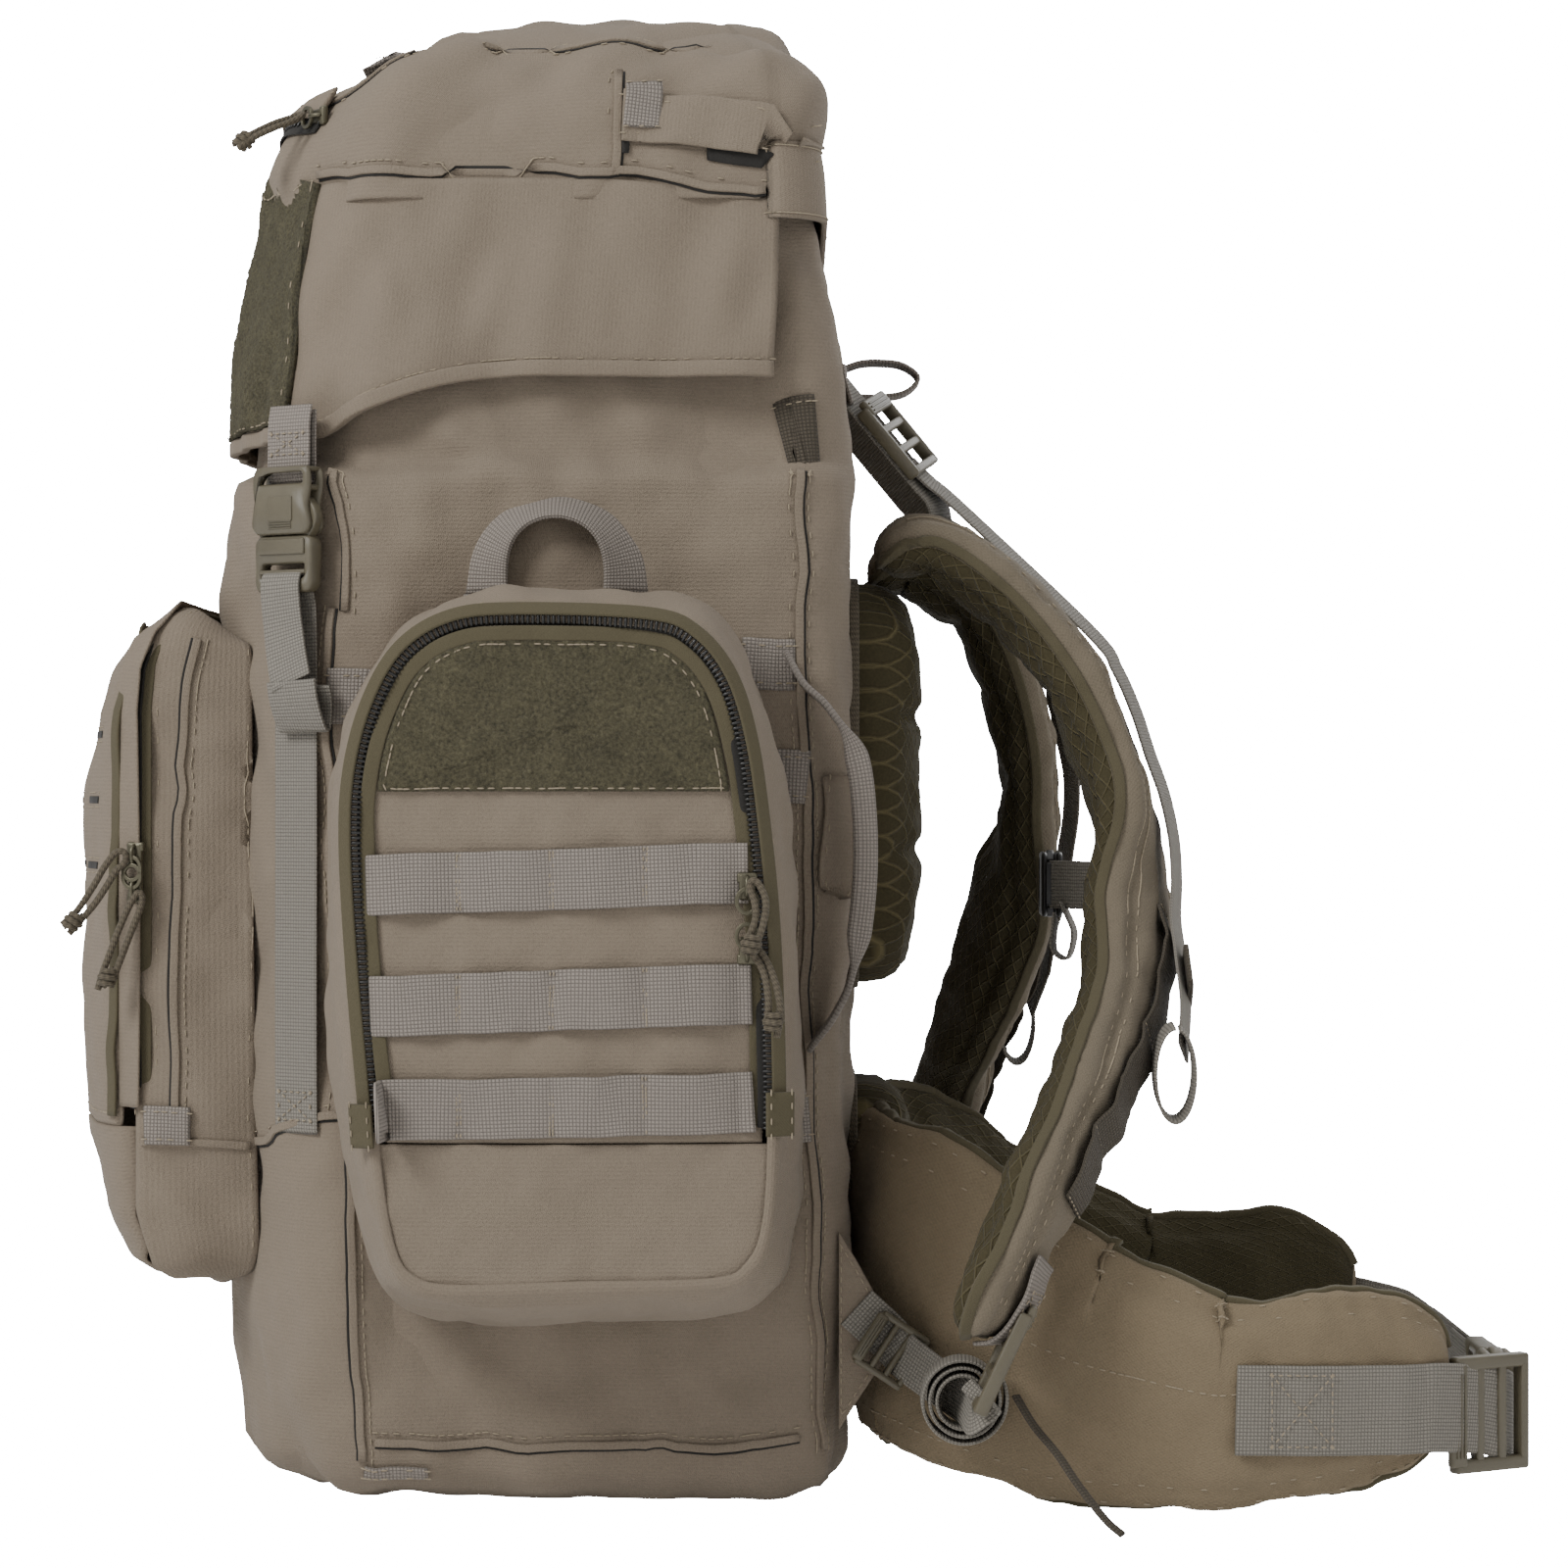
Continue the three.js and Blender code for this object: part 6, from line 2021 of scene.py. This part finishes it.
LOWER_LOCKS = {
    "r": ((204.96, -214, 69.5), (-0.4257, 0, -0.9048), (0.9048, 0, -0.4257)),
    "l": ((204.9, 213, 74.9), (-0.0665, 0, -0.9978), (0.9978, 0, -0.0665)),
}


def tilted_strap(path, s, degrees, width):
    """Webbing along a path, tilted by one angle towards its own side."""
    return strap(path, turned(path, s, np.full(len(path), float(degrees))), width, 0.0017)


def build_lifters():
    """Load lifters: webbing from the bag's top, its lock, and the free tail that follows the strap to a
    loop."""
    for side, s in SIDES:
        y = s * 75
        web = np.array([(139.5, y, 487), (146, y, 479), (164, y, 457), (174, y, 445), (183, y, 434), (186,
            y, 420)]) * MM
        piece(f"lifter_web_{side}_strap", tilted_strap(smooth(web, 60), s, 24, 0.025), "trim", "pack",
              [f"lifter_web_{side}"])
        lock = placed(ladder_lock(0.033, 0.038, 0.0062), np.array([165.95, y, 462.5]) * MM,
                      (-0.314 * s, 0.9135, -0.259 * s), (0.7044, s * 0.4067, 0.5818))
        piece(f"lifter_lock_{side}_frame", lock, "plastic", f"lifter_tilt_{side}",
              [f"lifter_lock_{side}"])
        line, out = GROUNDS[f"strap_{side}"]
        lower = line[28:84] + out[28:84] * (5 + 3.5 * np.linspace(0, 1, 56) ** 1.5)[:, None] * MM
        top = np.array([(171, y, 452), (180, y, 443), (194, y, 431)]) * MM
        end = lower[-1]
        drop = unit(lower[-1] - lower[-5])
        forward = np.array([1.0, 0, 0])
        free = end + np.array([drop * 0.02 + forward * 0.002, drop * 0.044 + forward * 0.001])
        route = np.vstack([top, lower[6::6], free])
        tail = tilted_strap(smooth(route, 150), s, 18, 0.020)
        turn = np.linspace(-0.42 * math.pi, 1.5 * math.pi, 60)
        last = free[-1] + drop * 0.010 - forward * 0.004
        loop_line = last + 0.0085 * np.cos(turn)[:, None] * forward - 0.020 * np.sin(turn)[:,
            None] * np.array([0, 0, 1.0])
        loop = strap(loop_line, (0, 1, 0.12), 0.018, 0.0017)
        band = strap(smooth(np.array([end - drop * 0.003 + forward * 0.0022,
            end + drop * 0.016 + forward * 0.0042]), 8),
                     (0, 1, 0), 0.0235, 0.0026)
        piece(f"lifter_tail_{side}_strap", together([tail, loop]), "trim", "pack",
            [f"lifter_tail_{side}"])
        piece(f"lifter_keeper_{side}", band, "dark_webbing", "pack")
        anchor = np.array([(140.2, y, 494), (141.0, y, 484), (141.4, y, 476)]) * MM
        line, normal = GROUNDS["bag"].lay(smooth(anchor, 12), 0.0004)
        piece(f"lifter_anchor_{side}", laid_strap(line, normal, 0.032, 0.0024), "webbing", "pack")


def build_lower_straps():
    """Cloth wing, its webbing and lock, the rolled spare webbing, and the lock at the strap's foot."""
    for side, s in SIDES:
        outline = evenly(np.array([(138.5, 116), (146, 104), (162.5, 74), (163.5, 69), (146, 43), (138.5,
            31)]), 120,
                         closed=True)

        def place(flat, height):
            wave = 0.0006 * ripple(np.column_stack([flat, 0 * flat[:, 0]]) * MM, 0.03, 15)
            return np.column_stack([flat[:, 0] * MM, s * (0.1525 + height + wave), flat[:, 1] * MM])

        wing = skin(np.array(panel(outline, place, 0.0032)), planar=(0, 2))
        centre = outline.mean(0)
        line = place(centre + (outline - centre) * 0.86, 0.0001)
        threads = [stitches(line, np.tile((0.0, s, 0.0), (len(line), 1)))]
        origin, direction, out = (np.array(value, float) for value in LOWER_LOCKS[side])
        lock = placed(ladder_lock(0.033, 0.046, 0.0062), origin * MM, np.cross(-direction, out), out)
        piece(f"lower_lock_{side}_frame", lock, "plastic", f"lower_tilt_{side}",
              [f"lower_lock_{side}"])
        foot = (origin + direction * 22) * MM
        web = smooth(np.array([(146, s * 153.5, 84), (160, s * 154.5, 71), (166, s * 158, 64), (178,
            s * 170, 56),
                               (190, s * 190, 50), tuple(foot / MM - (2, s * 4, 2)),
                               tuple(foot / MM + (3, 0, 6))]) * MM, 110)
        webs = strap(web, (0.2, 0, 1), 0.020, 0.0017)
        small = placed(ladder_lock(0.026, 0.024, 0.0060), np.array([161, s * 157.5, 66]) * MM, (0.55, 0,
            0.83),
                       (0.1, s, 0))
        turn = np.linspace(0, 6.2 * math.pi, 220)
        radius = 0.0085 + 0.0017 * turn / (2 * math.pi) * 1.55
        roll = np.column_stack([0.190 + radius * np.cos(turn) * 1.12,
            s * (0.188 + 0.0008 * np.sin(turn * 0.7)),
                                0.050 + radius * np.sin(turn) * 1.15])
        rolled = strap(roll, (0, 1, 0), 0.020, 0.0016)
        tail = smooth(np.array([(212, s * 196, 52), (219, s * 206, 41), (228, s * 218, 31), (236, s * 230,
            20),
                                (246, s * 241, 8), (253, s * 245, 2.2)]) * MM, 70)
        spare = strap(tail, (0.8, -0.6 * s, 0), 0.0040, 0.0016)
        piece(f"strap_wing_{side}_cloth", wing, "shell", "pack", [f"strap_wing_{side}"])
        piece(f"wing_threads_{side}", together(threads), "thread", "pack")
        piece(f"wing_webbing_{side}", together([webs, rolled]), "trim", "pack")
        piece(f"wing_lock_{side}", small, "plastic", "pack")
        piece(f"wing_tail_{side}", spare, "dark_webbing", "pack")


FIN_X = (158, 172, 205, 239, 281, 297, 363, 390, 402)
FIN_MIDDLE = (95, 90, 74, 60, 51, 48, 52, 52, 51)
FIN_HEIGHT = (141, 142, 127, 116, 100, 93, 83, 66, 50)


def fin_line(s):
    """Middle line of a hip fin, following the belt's own rise and fall."""
    line = smooth(np.array([(x, s * y, z) for x, y, z in FIN_PATH]), 150)
    line[:, 2] = np.interp(line[:, 0], FIN_X, FIN_MIDDLE)
    return line * MM


def build_hip_fins():
    """Padded hip fins: cloth outside, mesh inside, piped edges and a stitched middle line."""
    for side, s in SIDES:
        path = fin_line(s)
        height = np.interp(path[:, 0] / MM, FIN_X, FIN_HEIGHT) * MM
        surface, grid, normals, section, outer = padded_band(path, (0, 0, 1), height, 0.0215, (-0.42, 0.42),
            0.006, 95,
                                                             0.028)
        top = int(np.argmax(section[:, 1]))
        facing = normals[90, top][1] * s > 0
        made = two_faced(f"hip_fin_{side}_pad", surface, "belt", "mesh", outer if facing else ~outer, "pack",
                         [f"hip_fin_{side}"])
        threads = []
        for place in (-0.455, 0.455, -0.385, 0.385):
            line, out = line_at(grid, normals, section, place, facing)
            threads.append(stitches(line[6:-4], out[6:-4]))
        line, out = line_at(grid, normals, section, 0.04, facing)
        threads.append(stitches(line[62:116], out[62:116]))
        piping = [strap(edge, (0, 1, 0), 0.0064, 0.0044) for edge in edge_lines(grid, section)]
        piece(f"fin_piping_{side}", together(piping), "binding", "pack")
        piece(f"fin_threads_{side}", together(threads), "thread", "pack")
        GROUNDS[f"fin_{side}"] = line_at(grid, normals, section, -0.03, facing)


def build_belt():
    """Belt webbing sewn to the fins, and the big side-release buckle at the front."""
    for side, s in SIDES:
        line, out = GROUNDS[f"fin_{side}"]
        sewn = line[104:148:4] + out[104:148:4] * 0.0016
        sewn[:, 2] = np.linspace(0.0455, 0.0430, len(sewn))
        ahead = [(414, s * 151, 40), (424, s * 143, 37), (430, s * 131, 34), (432, s * 121, 33)]
        if side == "l":
            ahead += [(433, 95, 33), (433, 62, 33), (433, 20, 33), (433, -12, 33), (431, -20, 33), (429.5,
                -12, 33),
                      (429.5, 30, 33)]
        else:
            ahead += [(431, -113, 33), (428.5, -120, 33), (426, -130, 32.5)]
        route = np.vstack([sewn, np.array(ahead) * MM])
        body = "pack" if side == "r" else "waist_plug"
        web = strap(smooth(route, 200), (0, 0, 1), 0.038, 0.0020)
        piece(f"belt_web_{side}_strap", web, "trim", body, [f"belt_web_{side}"])
        along = unit(sewn[4] - sewn[2])
        tacks = bar_tacks(sewn[3] + out[116] * 0.0012, along, np.array([0.0, 0, 1]), out[116], 0.026, 0.030)
        piece(f"belt_threads_{side}", tacks, "thread", body)
        if side == "r":
            glide = placed(ladder_lock(0.050, 0.040, 0.0066), np.array([418, -147.5, 38]) * MM, (0, 0, 1),
                           (0.5, -0.866, 0))
            piece("belt_glide_frame", glide, "plastic", "pack")
    middle = np.array([432, 0, 33.0])
    socket = placed(buckle_socket(0.046, 0.051, 0.0138), (middle + (0, -93.5, 0)) * MM, (0, 0, 1), (1, 0, 0))
    socket.points[:, 1] = 2 * -0.0935 - socket.points[:, 1]
    piece("waist_buckle_socket", socket.outwards(), "plastic", "pack", ["waist_female"])
    plug = placed(buckle_prongs(0.044, 0.047, 0.0122, 0.028), (middle + (0, -42.5, 0)) * MM, (0, 0, 1), (1,
        0, 0))
    plug.points[:, 1] = 2 * -0.0425 - plug.points[:, 1] if plug.points[:,
        1].max() > -0.010 else plug.points[:, 1]
    piece("waist_buckle_plug", plug.outwards(), "plastic", "waist_plug", ["waist_male"])


def build_chest_strap():
    """Chest webbing on both sides, their small buckle, and the hanging spare loop."""
    level = 262
    right = np.array([(268, -72, level), (262, -60, level), (253, -44, level), (243, -30, level), (239, -24,
        level),
                      (237, -21, level)]) * MM
    left = np.array([(238, 22, level), (240, 28, level), (243, 45, level), (246, 62, level), (246.5, 76,
        level)]) * MM
    piece("sternum_web_right_strap", strap(smooth(right, 50), (0, 0, 1), 0.022, 0.0017), "trim", "pack",
          ["sternum_web_r"])
    piece("sternum_web_left_strap", strap(smooth(left, 50), (0, 0, 1), 0.022, 0.0017), "trim",
        "sternum_plug",
          ["sternum_web_l"])
    hanging = smooth(np.array([(243, -30, 252), (247, -36, 240), (244, -38, 229), (238, -36, 233), (239,
        -31, 247)]) * MM, 50)
    piece("sternum_spare", strap(hanging, (0.2, 1, 0), 0.016, 0.0016), "trim", "pack")
    socket = placed(buckle_socket(0.030, 0.024, 0.0098), np.array([238, -12, level]) * MM, (0, 0, 1), (1, 0,
        0))
    socket.points[:, 1] = -0.024 - socket.points[:, 1]
    piece("sternum_socket", socket.outwards(), "black_plastic", "pack", ["sternum_female"])
    plug = placed(buckle_prongs(0.028, 0.022, 0.0078, 0.0130), np.array([238, 12.75, level]) * MM, (0, 0,
        1), (1, 0, 0))
    plug.points[:, 1] = 0.0255 - plug.points[:, 1] if plug.points[:, 1].max() > 0.03 else plug.points[:, 1]
    piece("sternum_plug_half", plug.outwards(), "black_plastic", "sternum_plug",
        ["sternum_male"])


def build_back_pads():
    """Mesh-covered back pads and lumbar pad with bound edges and stitched channels."""
    for name, y0, y1, z0, z1, radius in (("back_pad_r", -97, -10, 219, 398, 30), ("back_pad_l", 10, 97, 219,
        398, 30),
                                         ("lumbar_pad", -50, 50, 26, 172, 22)):
        flat = rounded_box(y1 - y0, z1 - z0, radius, 180) + ((y0 + y1) / 2, (z0 + z1) / 2)
        centre = flat.mean(0)
        rows = []
        levels = [(0.05, 142.5), (0.5, 142.5), (0.97, 142.5), (1.0, 146), (1.0, 153), (0.985, 160), (0.95,
            166), (0.9, 170.5)]
        levels += [(share, 170.5 + 4.5 * (1 - share**2)) for share in np.linspace(0.84, 0.03, 17)]
        for share, x in levels:
            ring = centre + (flat - centre) * share
            rows.append(np.column_stack([np.full(len(ring), x), ring]) * MM)
        rows = np.array(rows)
        surface = plumped(skin(rows, planar=(1, 2)), 0.006)
        count, columns = rows.shape[:2]
        grid = surface.points[: count * columns].reshape(count, columns, 3)
        push = 0.0008 * ripple(grid, 0.05, 21) + 0.0004 * ripple(grid, 0.02, 22)
        for height in ((z0 * 2 + z1) / 3, (z0 + z1 * 2) / 3) if name != "lumbar_pad" else ((z0 + z1) / 2,):
            push -= 0.0045 * np.exp(-(((grid[..., 2] / MM - height) / 4) ** 2))
        front = (grid[..., 0] > 0.150)[..., None]
        grid = grid + np.array([1.0, 0, 0]) * push[..., None] * front
        surface.points[: count * columns] = grid.reshape(-1, 3)
        made = piece(f"{name}_cushion", surface, "mesh", "pack", [name])
        edge = centre + (flat - centre) * 1.0
        braid = np.column_stack([np.full(len(edge), 146.0), edge]) * MM
        bound = skin(swept(braid, (1, 0, 0), 0.0046, 0.0046), round_along=True)
        piece(f"{name}_braid", bound, "cord", "pack")


# ---------------------------------------------------------------- stage
def build_stage():
    """Camera level with the middle of the pack, pale floor, soft studio lights."""
    lens = bpy.data.cameras.new("camera")
    lens.lens = 99
    lens.sensor_width = 36
    lens.clip_end = 60
    camera = bpy.data.objects.new("camera", lens)
    camera.location = (0.115, -2.0, 0.308)
    camera.rotation_euler = (math.pi / 2, 0, 0)
    bpy.context.scene.collection.objects.link(camera)
    bpy.context.scene.camera = camera
    mesh = bpy.data.meshes.new("floor")
    size = 14
    mesh.from_pydata([(-size, -size, 0), (size, -size, 0), (size, size, 0), (-size, size, 0)], [],
        [(0, 1, 2, 3)])
    floor = bpy.data.objects.new("floor", mesh)
    pale = bpy.data.materials.new("pale_floor")
    pale.use_nodes = True
    shader = pale.node_tree.nodes["Principled BSDF"]
    shader.inputs["Base Color"].default_value = (0.86, 0.86, 0.86, 1)
    shader.inputs["Roughness"].default_value = 0.8
    shader.inputs["Emission Color"].default_value = (1, 1, 1, 1)
    tree = pale.node_tree
    rays = tree.nodes.new("ShaderNodeLightPath")
    glow = maths(tree, "ADD", maths(tree, "MULTIPLY", rays.outputs["Is Camera Ray"], 30.0), 0.22)
    tree.links.new(glow, shader.inputs["Emission Strength"])
    mesh.materials.append(pale)
    bpy.context.scene.collection.objects.link(floor)
    floor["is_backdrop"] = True
    world = bpy.data.worlds.new("studio")
    world.use_nodes = True
    tree = world.node_tree
    daylight = tree.nodes["Background"]
    daylight.inputs["Color"].default_value = (1, 1, 1, 1)
    daylight.inputs["Strength"].default_value = 0.54
    paper = tree.nodes.new("ShaderNodeBackground")
    paper.inputs["Color"].default_value = (1, 1, 1, 1)
    paper.inputs["Strength"].default_value = 30.0
    rays = tree.nodes.new("ShaderNodeLightPath")
    either = tree.nodes.new("ShaderNodeMixShader")
    tree.links.new(rays.outputs["Is Camera Ray"], either.inputs[0])
    tree.links.new(daylight.outputs[0], either.inputs[1])
    tree.links.new(paper.outputs[0], either.inputs[2])
    tree.links.new(either.outputs[0], tree.nodes["World Output"].inputs["Surface"])
    bpy.context.scene.world = world
    target = Vector((0.05, 0, 0.33))
    lights = (
        ("key", (-1.7, -1.7, 2.1), 1.0, 72),
        ("fill", (1.9, -2.0, 1.2), 1.8, 8),
        ("top", (0.1, -0.2, 2.6), 1.6, 12),
        ("rear", (1.4, 1.6, 1.6), 1.4, 22),
    )
    for name, place, size, power in lights:
        lamp = bpy.data.lights.new(name, "AREA")
        lamp.size = size
        lamp.energy = power
        made = bpy.data.objects.new(name, lamp)
        made.location = place
        made.rotation_euler = (target - Vector(place)).to_track_quat("-Z", "Y").to_euler()
        bpy.context.scene.collection.objects.link(made)


def finish_frame():
    """The board and the stay inside the bag keep their own solids, with board and metal finishes."""
    for node, material in (("frame_sheet", "board"), ("frame_stay", "aluminium")):
        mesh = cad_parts[node].data
        mesh.materials.clear()
        mesh.materials.append(finish(material))


# ---------------------------------------------------------------- operators and panel
class BuildOperator:
    """What every build step shares: it registers, undoes, and raises when its work fails."""

    bl_options = {"REGISTER", "UNDO"}


class BACKPACK_OT_stage(BuildOperator, bpy.types.Operator):
    """Set up the camera, floor and lights"""

    bl_idname = "backpack.stage"
    bl_label = "Stage"

    def execute(self, context):
        build_stage()
        return {"FINISHED"}


class BACKPACK_OT_cords(BuildOperator, bpy.types.Operator):
    """Lay the free pull cords and their knots"""

    bl_idname = "backpack.cords"
    bl_label = "Pull cords"

    def execute(self, context):
        build_cords()
        return {"FINISHED"}


class BACKPACK_OT_bag(BuildOperator, bpy.types.Operator):
    """Sew the main bag with its seams and small webbing ends"""

    bl_idname = "backpack.bag"
    bl_label = "Bag"

    def execute(self, context):
        build_bag()
        build_bag_trim()
        finish_frame()
        return {"FINISHED"}


class BACKPACK_OT_lid(BuildOperator, bpy.types.Operator):
    """Sew the hooded lid: dome, skirt, loop patch, flaps and zips"""

    bl_idname = "backpack.lid"
    bl_label = "Lid"

    def execute(self, context):
        build_lid_dome()
        build_lid_skirt()
        build_lid_trim()
        return {"FINISHED"}


class BACKPACK_OT_side_pockets(BuildOperator, bpy.types.Operator):
    """Sew both side pockets with their webbing rows"""

    bl_idname = "backpack.side_pockets"
    bl_label = "Side pockets"

    def execute(self, context):
        build_side_pockets()
        return {"FINISHED"}


class BACKPACK_OT_front_pocket(BuildOperator, bpy.types.Operator):
    """Sew the front pocket"""

    bl_idname = "backpack.front_pocket"
    bl_label = "Front pocket"

    def execute(self, context):
        build_front_pocket()
        return {"FINISHED"}


class BACKPACK_OT_sliders(BuildOperator, bpy.types.Operator):
    """Put the zip sliders on"""

    bl_idname = "backpack.sliders"
    bl_label = "Zip sliders"

    def execute(self, context):
        build_sliders()
        return {"FINISHED"}


class BACKPACK_OT_fastenings(BuildOperator, bpy.types.Operator):
    """Fit the straps and side-release buckles that hold the lid down"""

    bl_idname = "backpack.fastenings"
    bl_label = "Lid fastenings"

    def execute(self, context):
        build_lid_fastenings()
        return {"FINISHED"}


class BACKPACK_OT_handles(BuildOperator, bpy.types.Operator):
    """Sew the arch handles, grab handles and haul loop"""

    bl_idname = "backpack.handles"
    bl_label = "Handles"

    def execute(self, context):
        build_handles()
        return {"FINISHED"}


class BACKPACK_OT_shoulder_straps(BuildOperator, bpy.types.Operator):
    """Sew the padded shoulder straps and the load lifters over them"""

    bl_idname = "backpack.shoulder_straps"
    bl_label = "Shoulder straps"

    def execute(self, context):
        build_shoulder_straps()
        build_lifters()
        return {"FINISHED"}


class BACKPACK_OT_lower_straps(BuildOperator, bpy.types.Operator):
    """Sew the wings, webbing and locks that hold the straps' feet"""

    bl_idname = "backpack.lower_straps"
    bl_label = "Lower straps"

    def execute(self, context):
        build_lower_straps()
        return {"FINISHED"}


class BACKPACK_OT_hip_belt(BuildOperator, bpy.types.Operator):
    """Sew the hip fins with their webbing and buckle"""

    bl_idname = "backpack.hip_belt"
    bl_label = "Hip belt"

    def execute(self, context):
        build_hip_fins()
        build_belt()
        return {"FINISHED"}


class BACKPACK_OT_chest_strap(BuildOperator, bpy.types.Operator):
    """Fit the chest strap and its buckle"""

    bl_idname = "backpack.chest_strap"
    bl_label = "Chest strap"

    def execute(self, context):
        build_chest_strap()
        return {"FINISHED"}


class BACKPACK_OT_back_pads(BuildOperator, bpy.types.Operator):
    """Sew the padding against the wearer's back"""

    bl_idname = "backpack.back_pads"
    bl_label = "Back pads"

    def execute(self, context):
        build_back_pads()
        return {"FINISHED"}


class BACKPACK_PT_panel(bpy.types.Panel):
    """Lists the build steps and their settings"""

    bl_idname = "BACKPACK_PT_panel"
    bl_label = "Hunting backpack"
    bl_space_type = "VIEW_3D"
    bl_region_type = "UI"
    bl_category = "Backpack"

    def draw(self, context):
        layout = self.layout
        for group in (context.scene.backpack_sizes, context.scene.backpack_colours):
            for name in type(group).__annotations__:
                layout.prop(group, name)
        for operator in OPERATORS:
            layout.operator(operator.bl_idname)


OPERATORS = (
    BACKPACK_OT_stage,
    BACKPACK_OT_cords,
    BACKPACK_OT_bag,
    BACKPACK_OT_lid,
    BACKPACK_OT_side_pockets,
    BACKPACK_OT_front_pocket,
    BACKPACK_OT_sliders,
    BACKPACK_OT_fastenings,
    BACKPACK_OT_handles,
    BACKPACK_OT_shoulder_straps,
    BACKPACK_OT_lower_straps,
    BACKPACK_OT_hip_belt,
    BACKPACK_OT_chest_strap,
    BACKPACK_OT_back_pads,
)
CLASSES = (BackpackColours, BackpackSizes, *OPERATORS, BACKPACK_PT_panel)


def register():
    """Adds the classes and the scene's settings."""
    for item in CLASSES:
        bpy.utils.register_class(item)
    bpy.types.Scene.backpack_colours = PointerProperty(type=BackpackColours)
    bpy.types.Scene.backpack_sizes = PointerProperty(type=BackpackSizes)


def unregister():
    """Removes what register added."""
    del bpy.types.Scene.backpack_sizes
    del bpy.types.Scene.backpack_colours
    for item in reversed(CLASSES):
        bpy.utils.unregister_class(item)


def main():
    """Register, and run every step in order."""
    register()
    for operator in OPERATORS:
        getattr(bpy.ops.backpack, operator.bl_idname.split(".")[1])()
    for name, box in (("cad", CAD_BOX), ("visual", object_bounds())):
        [list(corner) for corner in box]


if __name__ == "__main__":
    main()
